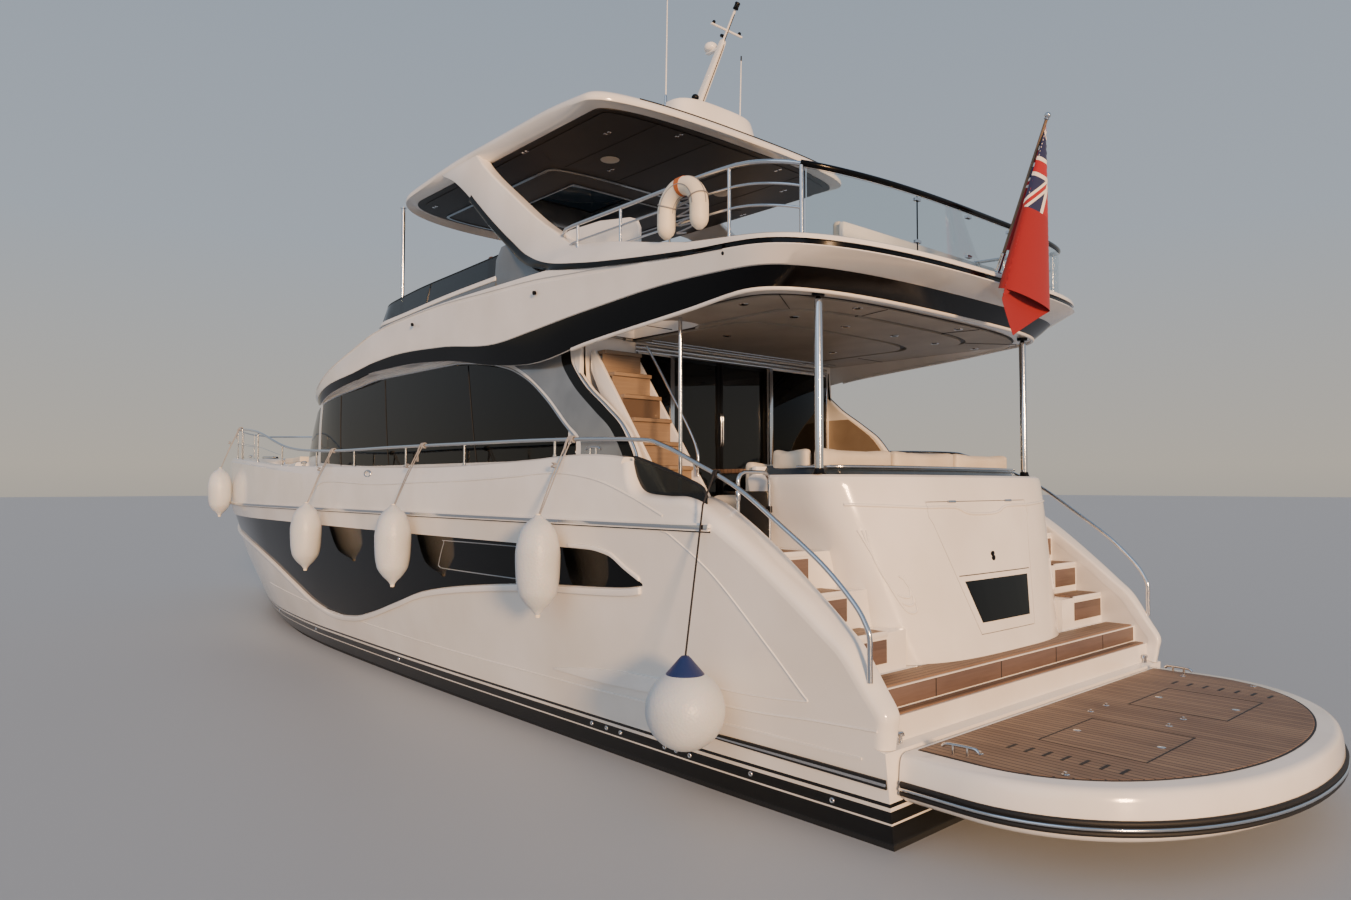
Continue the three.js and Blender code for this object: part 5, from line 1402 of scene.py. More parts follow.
roof_cut = box_form(SUNROOF[0], SUNROOF[1], -SUNROOF[2], SUNROOF[2], 6.0, 7.4)
hardtop_form = stack([
    *[hardtop_line(inset, HARDTOP_UNDER + step) for inset, step in ((0.17, 0), (0.14, 0.002), (0.1, 0.014))],
    hardtop_line(0.045, lambda x: 0.55 * HARDTOP_UNDER + 0.45 * hardtop_edge(-0.12)(x)),
    *[hardtop_line(inset, hardtop_edge(step)) for inset, step in (
        (0.008, -0.135), (0.0, -0.11), (0.006, -0.085), (0.028, -0.052), (0.075, -0.02), (0.16, 0.0))],
    hardtop_line(0.36, lambda x: 0.62 * hardtop_edge(0.0)(x) + 0.38 * HARDTOP_CROWN + 0.012),
    hardtop_line(0.7, HARDTOP_CROWN),
])
part("hardtop_moulding", carved(hardtop_form, roof_cut), gelcoat, sharp=32, stands_for=["hardtop"])
part("hardtop_liner", carved(slab_of(hardtop_line(0.27, 0), LINER_FACE, 6.562), roof_cut), dark_liner_and_gap_shade)
part("hardtop_inner_trim", hollow(hardtop_line(0.165, 0), hardtop_line(0.275, 0), 6.552, 6.563),
     dark_liner_and_gap_shade, sharp=40)
frame_out = half_line(0, -3.48, -0.42, 1.37, aft_nose=0.24, fore_nose=0.24)
frame_in = half_line(0, -3.435, -0.465, 1.325, aft_nose=0.2, fore_nose=0.2)
part("hardtop_frame", hollow(frame_out, frame_in, 6.534, 6.548), silver_paint, sharp=40)
seam_ends = ((-5.3, 0.42, -3.5, 0.42), (-5.3, 1.24, -3.5, 1.24), (-3.56, 1.5, -3.74, 1.72))
seams = [[(x0, y0 * s, 6.5455), (x1, y1 * s, 6.5455)] for x0, y0, x1, y1 in seam_ends for s in (1, -1)]
round_bar("hardtop_seams", seams, 0.003, rubber, count=8)
roof_places = ((-4.73, 1.51), (-3.6, 1.89), (-3.8, 0.74), (-5.22, 0.85), (-0.9, 1.7), (-2.2, 1.6))
roof_spots = [((x, y * s, LINER_FACE), (0, 0, -1)) for x, y in roof_places for s in (1, -1)]
rim_profile = [(0.012, 0.003), (0.02, 0.005), (0.026, 0.0), (0.026, -0.006), (0.008, -0.006)]
for name, shift in (("aft", -0.035), ("fore", 0.035)):
    fittings(f"hardtop_lights_{name}", turned(rim_profile, count=20, open_ends=True),
             [((x + shift, y, z), aim) for (x, y, z), aim in roof_spots], steel)
speakers = [((-4.08, y, LINER_FACE), (0, 0, -1)) for y in (0.97, -0.97)]
fittings("hardtop_speakers", turned([(0.0, 0.008), (0.09, 0.01), (0.112, 0.006), (0.118, 0.0),
                                     (0.118, -0.006)], count=40), speakers, hide_cream)
gutter = [p for p in hardtop_line(0.052, hardtop_edge(-0.034)) if p[0] < -4.9 and p[1] < 1.62]
round_bar("hardtop_gutter", [gutter[::-1] + to_starboard(gutter[1:])], 0.011, rubber, count=8)
side_joint = [p for p in hardtop_line(0.19, hardtop_edge(0.005)) if -5.2 < p[0] < -0.6 and p[1] > 1.6]
round_bar("hardtop_side_joints", both_runs(side_joint), 0.004, rubber, count=8)

# Sunroof: a dark pane in a black frame, with its rails on the roof
aft, fore, half = SUNROOF
part("sunroof_pane", box_form(aft - 0.03, fore + 0.03, -half - 0.03, half + 0.03, 6.8785,
                              6.8925), smoked_glass, body="sunroof", bevel=0.004)
part("sunroof_frame", boxes(
    (aft - 0.04, aft + 0.03, -half - 0.04, half + 0.04, 6.871, 6.8995),
    (fore - 0.03, fore + 0.04, -half - 0.04, half + 0.04, 6.871, 6.8995),
    (aft + 0.028, fore - 0.028, -half - 0.04, -half + 0.03, 6.8715, 6.899),
    (aft + 0.028, fore - 0.028, half - 0.03, half + 0.04, 6.8715, 6.899)), dark_metal, body="sunroof",
     bevel=0.008, steps=3, stands_for=["sunroof"])
part("sunroof_rails", boxes(*[(-4.05, -1.26, y - 0.015, y + 0.015, 6.866, 6.885) for y in (-0.872, 0.872)]),
     dark_metal, bevel=0.004)
lining = hollow(half_line(0, aft - 0.002, fore + 0.002, half + 0.002),
                half_line(0, aft + 0.018, fore - 0.018, half - 0.018), 6.53, 6.868)
part("sunroof_lining", lining, silver_paint, sharp=30, bevel=0.004)

# Arch legs: sections from the hardtop's edge down to the coaming, turning outward at the foot
ARCH_PAIRS = (
    # fore x, z and aft x, z of a section
    (-1.95, 6.62, -2.90, 6.64),
    (-2.38, 6.41, -3.28, 6.30),
    (-2.90, 6.01, -3.74, 5.95),
    (-3.29, 5.67, -4.29, 5.54),
    (-3.75, 5.32, -4.68, 5.30),
    (-4.17, 5.07, -5.09, 5.08),
    (-4.76, 4.88, -5.84, 4.93),
    (-5.50, 4.72, -6.55, 4.765),
    (-6.05, 4.64, -7.05, 4.66),
)
LEG_Y = ((4.6, 2.402), (4.75, 2.39), (4.9, 2.33), (5.1, 2.23), (5.4, 2.172), (6.45, 2.172), (6.62, 2.15))
arch_fore = side_line([pair[:2] for pair in ARCH_PAIRS])
arch_aft = side_line([pair[2:] for pair in ARCH_PAIRS])


def leg_ring(fore, aft):
    """Section of a leg: a flat box with rounded corners between its fore and aft edges."""
    thick, round_by = 0.17, 0.035
    along = aft - fore
    width = along.length
    along.normalize()
    ring = []
    for u0, v0, start in ((width - round_by, -round_by, 0.5), (round_by, -round_by, 1.0),
                          (round_by, round_by - thick, 1.5), (width - round_by, round_by - thick, 2.0)):
        for k in range(6):
            t = pi * (start + 0.1 * k) - pi * 0.5
            u, v = u0 + round_by * cos(t), v0 + round_by * sin(t)
            crown = 0.014 * (1 - (2 * u / width - 1) ** 2) if v > -0.5 * thick else 0.0
            spot = fore + along * u
            ring.append((spot.x, sample(LEG_Y, 1, spot.z) + v + crown, spot.z))
    return ring


leg_form = loft([leg_ring(f, a) for f, a in zip(arch_fore, arch_aft)], round_rows=True, ends=True)
for name, side in SIDES:
    part(f"arch_leg_{name}", leg_form if side > 0 else mirrored(leg_form), gelcoat, sharp=38,
         stands_for=[f"arch_{name}"])

# Black trim down the fore edge of each leg, into the groove under the cap
leg_skin = skin_of(gather(leg_form, fly_form))
trim_mid = side_line([(-2.78, 6.12), (-2.93, 5.98), (-3.31, 5.66), (-3.77, 5.31), (-4.19, 5.065),
                      (-4.76, 4.87), (-5.44, 4.745), (-6.14, 4.655), (-6.95, 4.572), (-7.5, 4.525)])
trim_half = side_line([(half, 0) for half in (0.045, 0.05, 0.052, 0.055, 0.05, 0.038, 0.03, 0.026,
                                              0.022, 0.02)])
trim_grid = []
for i, spot in enumerate(trim_mid):
    along = along_at(trim_mid, i)
    across = Vector((along.z, 0, -along.x)) * trim_half[i].x
    trim_grid.append([((spot + across * t).x, (spot + across * t).z) for t in spread(-1, 1, 4)])


def on_leg(x, z, out):
    """Outermost of the leg and the moulding near a point, so that the trim clears the lips of the groove."""
    hits = [leg_skin.ray_cast(Vector((x + dx, 6, z + dz)), Vector((0, -1, 0)))[0]
            for dx in (-0.05, 0, 0.05) for dz in (-0.016, 0, 0.016)]
    reach = [spot.y for spot in hits if spot is not None and spot.y > 2.0]
    return Vector((x, (max(reach) if reach else sample(LEG_Y, 1, z) - 0.03) + out, z))


part("arch_trims", both_sides(panel_on(on_leg, trim_grid, -0.02, 0.004)), black_paint_and_painted_reflection, sharp=50)
inner_edge = [f + (a - f).normalized() * -0.006 for f, a in zip(arch_fore, arch_aft)][6:48]
trim_inside = [[(p.x, sample(LEG_Y, 1, p.z) - 0.03, p.z), (p.x, sample(LEG_Y, 1, p.z) - 0.15, p.z)]
               for p in inner_edge]
thick_rows = [[(x0, y0, z0), (x1, y1, z1), (x1 - 0.012, y1, z1 - 0.006), (x0 - 0.012, y0, z0 - 0.006)]
              for (x0, y0, z0), (x1, y1, z1) in trim_inside]
part("arch_fore_faces", both_sides(loft(thick_rows, round_rows=True, ends=True)), black_paint_and_painted_reflection, sharp=40)

# Poles under the fore end of the hardtop
for name, side in SIDES:
    pole = turned([(0.045, 0.0), (0.045, 0.012), (0.028, 0.02), (0.028, 1.665), (0.045, 1.672),
                   (0.045, 1.684)], (-0.5, side * 1.995, 4.88), count=20)
    part(f"hardtop_post_{name}", pole, steel, stands_for=[f"hardtop_pole_{name}"])

# Plinth with the aerials, between the sunroof and the aft end of the hardtop
def plinth_line(inset, z):
    return half_line(z, -5.15 + inset, -4.15 - inset, 0.7 - inset, aft_nose=0.3, fore_nose=0.3)


def oval(centre, u, v, a, b, power=4.0, count=28):
    """Ring about a centre with half-widths a along u and b along v; a higher power squares its corners."""
    ring = []
    for t in spread(0, 2 * pi, count)[:-1]:
        c, s = cos(t), sin(t)
        ring.append(Vector(centre) + u * (copysign(abs(c) ** (2 / power), c) * a)
                    + v * (copysign(abs(s) ** (2 / power), s) * b))
    return ring


def circle(centre, u, v, radius, count):
    return oval(centre, u, v, radius, radius, 2.0, count)


MAST_FOOT = Vector((-4.6, 0, 7.26))
plinth = stack(refine([plinth_line(i, z) for z, i in ((6.76, 0), (6.9, 0.0), (7.05, 0.03), (7.13, 0.05),
                                                      (7.152, 0.07), (7.16, 0.11))], 3, breaks=(1,)))
part("plinth_moulding", plinth, gelcoat, sharp=35, stands_for=["aerial_plinth"])
part("plinth_seal", hollow(plinth_line(-0.008, 0), plinth_line(0.01, 0), 6.82, 6.882), rubber)
cheek_arc = [(-4.6 - 0.07 * cos(t), 7.25 + 0.07 * sin(t)) for t in spread(0, pi, 12)]
cheek_side = [(-4.67, 7.15), (-4.67, 7.25), *cheek_arc, (-4.53, 7.25), (-4.53, 7.15)]
cheek_heads = [turned([(0.022, 0), (0.022, 0.006), (0.016, 0.012), (0, 0.013)], (-4.6, side * 0.074, 7.26),
                      (0, side, 0), 20) for side in (-1, 1)]
part("mast_cheeks", gather(prism(cheek_side, -0.075, -0.055), prism(cheek_side, 0.055, 0.075)),
     gelcoat, bevel=0.004)
part("mast_pin_heads", gather(*cheek_heads), steel)
whips, whip_feet, whip_tips = [], [], []
for side, top in ((1, 8.46), (-1, 8.12)):
    foot, head = Vector((-4.75, side * 0.64, 7.2)), Vector((-4.78, side * 0.64, top))
    lean = (head - foot).normalized()
    whips.append(turned([(0.009, 0), (0.0085, 0.5), (0.0065, top - 7.26), (0, top - 7.26)], foot, lean, 12))
    whip_tips.append(turned([(0.0095, 0), (0.0095, 0.06), (0.006, 0.066)],
                            foot + lean * (top - 7.266), lean, 12))
    whip_feet.append(turned([(0.03, 0), (0.03, 0.03), (0.018, 0.045), (0.018, 0.13), (0.011, 0.15)],
                            (-4.75, side * 0.64, 7.09), count=20))
part("whip_aerials", gather(*whips), gelcoat)
part("whip_tips", gather(*whip_tips), rubber)
part("whip_feet", gather(*whip_feet), steel)
disc_stem = turned([(0.02, 0), (0.02, 0.15)], (-4.48, -0.42, 7.15))
disc = turned([(0.05, 0), (0.1, 0.008), (0.12, 0.02), (0.118, 0.03), (0.09, 0.04), (0.04, 0.044), (0, 0.045)],
              (-4.48, -0.42, 7.29), count=40)
part("satellite_disc", gather(disc_stem, disc), gelcoat, sharp=45)
part("aerial_dome", turned([(0.07, 0), (0.07, 0.055), (0.075, 0.06), (0.074, 0.08), (0.065, 0.105),
                            (0.045, 0.124), (0.02, 0.132), (0, 0.133)], (-4.48, 0.38, 7.156),
                           count=36), gelcoat, sharp=50)
part("camera_post", gather(
    turned([(0.04, 0), (0.04, 0.01), (0.02, 0.015), (0.02, 0.06)], (-4.95, 0.34, 7.15)),
    turned([(0.03, 0.0), (0.045, 0.015), (0.045, 0.04), (0.03, 0.06), (0, 0.068)], (-4.95, 0.34, 7.2))),
     dark_metal, sharp=45)

# Folding mast: a tapered box section, then a thin pole to the all-round light
mast_run, mast_rise = 0.7, 1.04
mast_rake = atan2(mast_run, mast_rise)
MAST_LENGTH = hypot(mast_run, mast_rise)
up_mast = Vector((-sin(mast_rake), 0, cos(mast_rake)))
off_mast = Vector((cos(mast_rake), 0, sin(mast_rake)))
athwart = Vector((0, 1, 0))


def on_mast(s, h=0.0, y=0.0):
    return MAST_FOOT + up_mast * s + off_mast * h + athwart * y


mast_sizes = ((-0.058, 0.035, 0.03), (-0.05, 0.05, 0.045), (-0.03, 0.057, 0.048), (0.1, 0.057, 0.048),
              (0.45, 0.05, 0.043), (0.8, 0.043, 0.036), (0.86, 0.04, 0.033), (0.885, 0.03, 0.026),
              (0.89, 0.018, 0.018))
mast_rows = [oval(on_mast(s), off_mast, athwart, a, b) for s, a, b in mast_sizes]
part("mast_section", loft(mast_rows, round_rows=True, ends=True), gelcoat, "mast", sharp=40,
     stands_for=["mast"])
round_bar("mast_pole", [[on_mast(0.88), on_mast(MAST_LENGTH)]], 0.016, gelcoat, "mast")
round_bar("mast_spreader", [[on_mast(0.8 * MAST_LENGTH, 0.01, y) for y in (-0.26, 0.26)]], 0.014,
          gelcoat, "mast")
round_bar("mast_cable", [[on_mast(s, -a - 0.006) for s, a in ((0.1, 0.057), (0.45, 0.05), (0.8, 0.043))]
                         + [on_mast(0.9, -0.024), on_mast(1.2, -0.02)]], 0.005, rubber, "mast", 8)
light_case = [(0, 0), (0.03, 0), (0.034, 0.008), (0.034, 0.024), (0.03, 0.026), (0.03, 0.062),
              (0.034, 0.064), (0.034, 0.078), (0.024, 0.09), (0, 0.092)]
part("mast_light", turned(light_case, on_mast(MAST_LENGTH - 0.004), up_mast, 28), dark_metal, "mast",
     sharp=40)
part("mast_light_lens", turned([(0.0315, 0), (0.0315, 0.035)], on_mast(MAST_LENGTH + 0.022), up_mast,
                               28), clear_glass, "mast")
light_spots = [(on_mast(0.8 * MAST_LENGTH, 0.024, y), up_mast) for y in (-0.22, 0.22)] + [
    (on_mast(0.74 * MAST_LENGTH, 0.04), off_mast)]
fittings("mast_small_lights", turned([(0.02, -0.004), (0.022, 0.012), (0.02, 0.036), (0.01, 0.046),
                                      (0, 0.047)], count=20), light_spots, dark_metal, "mast")
shelf = on_mast(0.62 * MAST_LENGTH, 0.04)
part("radome_bracket", prism([(shelf.x - 0.03, shelf.z - 0.03), (shelf.x - 0.03, shelf.z + 0.005),
                              (shelf.x + 0.2, shelf.z + 0.005), (shelf.x + 0.2, shelf.z - 0.012)],
                             -0.03, 0.03), gelcoat, "mast", bevel=0.004)
part("radome", turned([(0.045, 0), (0.075, 0.014), (0.086, 0.04), (0.085, 0.062), (0.074, 0.088),
                       (0.052, 0.106), (0.025, 0.115), (0, 0.117)],
                      (shelf.x + 0.13, 0, shelf.z + 0.004), count=40), gelcoat, "mast", sharp=50)

# Rails of the flybridge, and the glass round its stern
FLY_RAIL = ((-8.575, 5.0), (-8.42, 5.04), (-8.0, 5.15), (-7.5, 5.225), (-7.0, 5.24), (-4.7, 5.24))
RAIL_HEIGHT = FLY_RAIL[-1][1]
RIM_CORNER = (-8.146, 2.159)
RIM_HALF, RIM_NOSE = 2.315, 1.005


def rail_top(drop=0.0):
    return lambda x: sample(FLY_RAIL, 1, x) - drop


def rim(drop=0.0):
    line = half_line(rail_top(drop), -8.575, -5.15, RIM_HALF, 2.27, aft_nose=RIM_NOSE, fine=4)
    return [Vector(p) for p in line[:-6]]


def rim_x(y):
    """How far aft the rounded stern of the rim is at a half-breadth."""
    return -7.57 - RIM_NOSE * (1 - (abs(y) / RIM_HALF) ** 3) ** (1 / 3)


def rim_half(x):
    line = rim()
    i = next(k for k in range(1, len(line)) if line[k].x > x)
    t = (x - line[i - 1].x) / (line[i].x - line[i - 1].x)
    return line[i - 1].y + t * (line[i].y - line[i - 1].y)


top_run = rim() + [Vector((x, y, RAIL_HEIGHT)) for x, y in ((-5.0, 2.255), (-4.86, 2.19), (-4.72, 2.11))]
round_bar("fly_rail_top", [to_starboard(top_run)[::-1] + top_run[1:]], 0.02, steel, count=20,
          stands_for=["fly_rail"])
side_bars = [[p for p in rim(drop) if p.x > RIM_CORNER[0]] + [Vector((-4.85, 2.18, RAIL_HEIGHT - drop))]
             for drop in (0.18, 0.36)]
round_bar("fly_rail_bars", both_runs(*side_bars), 0.011, steel, count=12)
post_spots = [(x, rim_half(x)) for x in (-5.23, -5.96, -6.7, -7.48)]
round_bar("fly_rail_posts", [[(x, y * s, sample(CAP_TOP, 1, x) - 0.02), (x, y * s, rail_top()(x))]
                             for x, y in post_spots for s in (1, -1)], 0.015, steel, count=14)
corner_x, corner_y = RIM_CORNER
round_bar("fly_rail_corner_posts", [[(corner_x, corner_y * s, 4.47),
                                     (corner_x, corner_y * s, rail_top()(corner_x))]
                                    for s in (1, -1)], 0.019, steel, count=16)
flange = turned([(0.034, 0), (0.034, 0.004), (0.02, 0.009), (0.02, 0.022)], count=20)
flange_spots = [((x, y * s, sample(CAP_TOP, 1, x) - 0.001), (0, 0, 1))
                for x, y in post_spots[1:] + [RIM_CORNER] for s in (1, -1)]
fittings("fly_rail_flanges", flange, flange_spots, steel)


def stern_pane(y0, y1, count):
    """Slab of glass along the rim between two half-breadths, from the cap to just under the rail."""
    rows = []
    for y in spread(y0, y1, count):
        x = rim_x(y)
        foot, head = cap(0.006)(x), rail_top(0.03)(x)
        rows.append([(x - 0.006, y, foot), (x - 0.006, y, head), (x + 0.006, y, head), (x + 0.006, y, foot)])
    return loft(rows, round_rows=True, ends=True)


side_pane = stern_pane(1.125, 2.135, 30)
part("stern_glass", gather(stern_pane(-1.115, 1.115, 40), side_pane, mirrored(side_pane)),
     clear_glass, sharp=30, stands_for=["fly_glass_aft"])
foot_line = [(rim_x(y), y, cap(0.006)(rim_x(y))) for y in spread(-2.13, 2.13, 80)]
round_bar("stern_glass_foot", [foot_line], 0.014, rubber, count=10)
clip = box_form(-0.02, 0.02, -0.035, 0.035, -0.012, 0.012)
clip_spots = [((rim_x(y), y, rail_top(drop)(rim_x(y))), (0, 0, 1)) for y in (0.37, -0.37, 1.12, -1.12)
              for drop in (0.06, 0.42)]
fittings("stern_glass_clips", clip, clip_spots, steel)

# Ensign staff in its socket, raked aft
STAFF_FOOT = Vector((-8.655, 0, 4.478))
staff_aim = Vector((-0.51, 0, 1.36)).normalized()
part("staff_pole", turned([(0.018, 0.03), (0.0175, 0.4), (0.016, 0.9), (0.014, 1.375)], STAFF_FOOT,
                          staff_aim, 20), varnish, stands_for=["ensign_staff"])
part("staff_ball", turned([(0, 1.37), (0.02, 1.372), (0.024, 1.38), (0.018, 1.388), (0.026, 1.4),
                           (0.028, 1.412), (0.024, 1.426), (0.012, 1.436), (0, 1.438)],
                          STAFF_FOOT, staff_aim, 24), steel, sharp=50)
part("staff_socket", turned([(0.045, 0), (0.045, 0.008), (0.024, 0.02), (0.0225, 0.16), (0.026, 0.165),
                             (0.026, 0.18)], STAFF_FOOT, staff_aim, 28), steel, sharp=45)


def ensign_pattern(tree, shader, place):
    """Red cloth with straight and diagonal crosses on a dark blue upper quarter, in the sheet's UV."""
    spot = add(tree, "ShaderNodeUVMap", {}, uv_map="cut").outputs["UV"]
    split = add(tree, "ShaderNodeSeparateXYZ", {"Vector": spot})

    def calc(operation, a, b=0):
        return maths(tree, operation, a, b)

    across, down = calc("MULTIPLY", split.outputs["X"], 2), calc("MULTIPLY", split.outputs["Y"], 2)
    canton = calc("MULTIPLY", calc("LESS_THAN", across, 1), calc("LESS_THAN", down, 1))
    straight = calc("MINIMUM", calc("MULTIPLY", calc("ABSOLUTE", calc("SUBTRACT", across, 0.5)), 1.4),
                    calc("ABSOLUTE", calc("SUBTRACT", down, 0.5)))
    slant = calc("MINIMUM", calc("ABSOLUTE", calc("SUBTRACT", across, down)),
                 calc("ABSOLUTE", calc("SUBTRACT", calc("ADD", across, down), 1)))
    colour = linear("#1b2450")
    for mask, code in ((calc("LESS_THAN", slant, 0.09), "#e8e4dc"),
                       (calc("LESS_THAN", slant, 0.035), "#a3141f"),
                       (calc("LESS_THAN", straight, 0.165), "#e8e4dc"),
                       (calc("LESS_THAN", straight, 0.1), "#a3141f"),
                       (calc("SUBTRACT", 1, canton), "#8f0b14")):
        colour = mixed(tree, mask, colour, linear(code))
    tint(tree, shader, colour)
    bumped(tree, shader, noise(tree, place, 420.0, 2.0), 0.3, 0.001)


# Sewn bunting of the ensign: matt woven polyester
bunting = finish("ensign_bunting", "#8f0b14", 0.85, ensign_pattern, Sheen_Weight=0.3)
HOIST, FLY = 1.12, 1.5


def fold_line(swing, count=240):
    """Directions from the flag's upper corner, from the staff round through its folds to the hanging fly."""
    line = []
    for s in spread(0, 1, count):
        ease = min(1.0, 4 * s)
        tilt = radians(20.5 - 13.5 * sin(2.4 * s))
        tilt += 0.4 * swing * ease * sin(4.0 * pi * s + 0.6)
        side = swing * ease * sin(4.6 * pi * s)
        line.append(Vector((sin(tilt), tan(side), -cos(tilt))).normalized())
    return line


def turned_through(line):
    return sum(a.angle(b) for a, b in zip(line, line[1:]))


low, high = 0.0, 0.6
for _ in range(40):
    swing = 0.5 * (low + high)
    low, high = (swing, high) if turned_through(fold_line(swing)) < pi / 2 else (low, swing)
folds = fold_line(swing)
reached = [0.0]
for a, b in zip(folds, folds[1:]):
    reached.append(reached[-1] + a.angle(b))
corner_aloft = STAFF_FOOT + staff_aim * 1.33 + Vector((-0.016, 0, -0.004))
flag_points, flag_faces, flag_uv = [], [], []
DOWN, OUT = 46, 96
for i in range(DOWN + 1):
    for j in range(OUT + 1):
        a, b = HOIST * i / DOWN, FLY * j / OUT
        angle = atan2(b, a)
        k = min(range(len(reached)), key=lambda n: abs(reached[n] - angle))
        k = min(max(k, 1), len(reached) - 1)
        t = (angle - reached[k - 1]) / (reached[k] - reached[k - 1])
        aim = (folds[k - 1] + (folds[k] - folds[k - 1]) * t).normalized()
        flag_points.append(tuple(corner_aloft + aim * hypot(a, b)))
        flag_uv.append((j / OUT, i / DOWN))
for i in range(DOWN):
    for j in range(OUT):
        n = i * (OUT + 1) + j
        flag_faces.append((n, n + 1, n + OUT + 2, n + OUT + 1))
flag_mesh = bpy.data.meshes.new("ensign_sheet")
flag_mesh.from_pydata(flag_points, [], flag_faces)
cut_map = flag_mesh.uv_layers.new(name="cut")
for loop in flag_mesh.loops:
    cut_map.data[loop.index].uv = flag_uv[loop.vertex_index]
flag = new_object("ensign_sheet", flag_mesh)
modify(flag, "SOLIDIFY", thickness=0.0012)
flag_mesh = baked(flag).data
bpy.data.objects.remove(flag)
flag = part("ensign_sheet", flag_mesh, bunting, sharp=80, stands_for=["ensign"])
toggles = [[corner_aloft - staff_aim * d + Vector((0.016, 0, 0.004)), corner_aloft - staff_aim * d]
           for d in (0.0, HOIST - 0.02)]
round_bar("ensign_toggles", toggles, 0.006, grey_rope, count=8)


# Padded pieces: blown up by a short cloth run from a slightly smaller block, held to the space of their solid
PAD_SWELL = 0.022


def soft_block(name, form, rounding):
    """A block with rounded edges, cut into even small faces."""
    pad = new_object(name, make_mesh(name, form))
    modify(pad, "BEVEL", width=rounding, segments=3)
    modify(pad, "REMESH", mode="VOXEL", voxel_size=0.024)
    return baked(pad)


def smoothed(pad):
    """The pad's mesh after a smoothing step; the pad itself goes."""
    modify(pad, "SUBSURF", levels=1, render_levels=1)
    mesh = baked(pad).data
    bpy.data.objects.remove(pad)
    return mesh


def stuffed(name, box, material, fill=0.7, tilt=None):
    """A cushion in a box, flat underneath and crowned on top; tilt leans it after the cloth run."""
    x0, x1, y0, y1, z0, z1 = box
    inset = 0.6 * PAD_SWELL
    block = box_form(x0 + inset, x1 - inset, y0 + inset, y1 - inset, z0, z1 - PAD_SWELL)
    pad = soft_block(name, block, min(0.035, 0.3 * (z1 - z0)))
    start = [v.co.copy() for v in pad.data.vertices]
    cloth = modify(pad, "CLOTH").settings
    cloth.quality = 4
    cloth.mass = 0.3
    cloth.use_pressure = True
    cloth.uniform_pressure_force = 4.0
    cloth.effector_weights.gravity = 0
    for frame_number in range(1, 21):
        scene.frame_set(frame_number)
    baked(pad)
    for vertex, origin in zip(pad.data.vertices, start):
        step = vertex.co - origin
        if step.length > PAD_SWELL:
            vertex.co = origin + step * (PAD_SWELL / step.length)
        vertex.co.z = max(vertex.co.z, z0)
    scene.frame_set(1)
    mesh = smoothed(pad)
    if tilt:
        hinge, lean = Vector(tilt[0]), tilt[1]
        for vertex in mesh.vertices:
            x, z = vertex.co.x - hinge.x, vertex.co.z - hinge.z
            vertex.co.x = hinge.x + x * cos(lean) + z * sin(lean)
            vertex.co.z = hinge.z - x * sin(lean) + z * cos(lean)
    part(name, mesh, material, sharp=80)


def row_of(name, box, along, count, material, **settings):
    """Equal cushions side by side along x or y in one box."""
    first = 0 if along == "x" else 2
    start, stop = box[first:first + 2]
    for n in range(count):
        low, high = (start + (stop - start) * (k / count) for k in (n, n + 1))
        piece = (*box[:first], low + 0.006, high - 0.006, *box[first + 2:])
        stuffed(f"{name}_{n + 1}", piece, material, **settings)


# Cockpit sofa across the transom
part("sofa_base", boxes((-7.2465, -6.62, -1.72, 1.72, 2.06, 2.3),
                        (-7.2465, -6.7, -1.68, 1.68, 1.981, 2.07),
                        (-7.2465, -7.19, -1.74, 1.74, 2.3, 2.7)), gelcoat, bevel=0.012,
     stands_for=["cockpit_sofa"])
row_of("sofa_seat", (-7.1, -6.56, -1.74, 1.74, 2.3, 2.435), "y", 3, hide_cream)
row_of("sofa_back", (-7.185, -7.05, -1.74, 1.74, 2.42, 2.765), "y", 3, hide_cream, fill=0.6)

# Cockpit table on its column
table_edge = half_line(0, -6.35, -5.7, 0.7, aft_nose=0.12, fore_nose=0.12)
table_line = [(x, y + 0.2) for x, y, _ in closed_line(table_edge)]
part("table_top", prism(table_line, 2.652, 2.7, "z"), teak_step, bevel=0.012, steps=4,
     stands_for=["cockpit_table"])
part("table_column", turned([(0.22, 0), (0.22, 0.008), (0.21, 0.016), (0.09, 0.03), (0.062, 0.05),
                             (0.06, 0.3), (0.052, 0.302), (0.052, 0.62), (0.09, 0.64), (0.16, 0.655),
                             (0.16, 0.67)], (-6.025, 0.2, 1.981), count=40), steel, sharp=45)

# Cockpit sole in laid teak, narrower beside the house
part("cockpit_teak", boxes((-7.245, -6.105, -2.37, 2.37, 1.979, 1.9865),
                           (-6.105, -5.105, -2.02, 2.02, 1.979, 1.9865)), teak_deck)
part("cockpit_coving", boxes((-7.248, -6.105, 2.365, 2.379, 1.978, 2.06),
                             (-7.248, -6.105, -2.379, -2.365, 1.978, 2.06)), gelcoat)

# Flight to the flybridge: oak treads with closed risers in white stringers, and a slim post
FLIGHT_AFT, FLIGHT_FORE, STEPS = -6.42, -5.11, 8
RISE = (4.2 - COCKPIT_SOLE) / (STEPS + 1)
GOING = (FLIGHT_FORE - FLIGHT_AFT) / STEPS
flight_treads, flight_risers, strips = [], [], []
for n in range(STEPS):
    aft, top = FLIGHT_AFT + GOING * n, COCKPIT_SOLE + RISE * (n + 1)
    flight_treads.append(box_form(aft - 0.028, aft + GOING + 0.006, 1.462, 1.968, top - 0.04, top))
    flight_risers.append(box_form(aft + 0.002, aft + 0.02, 1.462, 1.968, top - RISE + 0.001, top - 0.041))
    strips.append(box_form(aft - 0.018, aft + 0.012, 1.5, 1.93, top + 0.0002, top + 0.003))
part("flight_treads", gather(*flight_treads), oak, bevel=0.006, stands_for=["fly_stairs"])
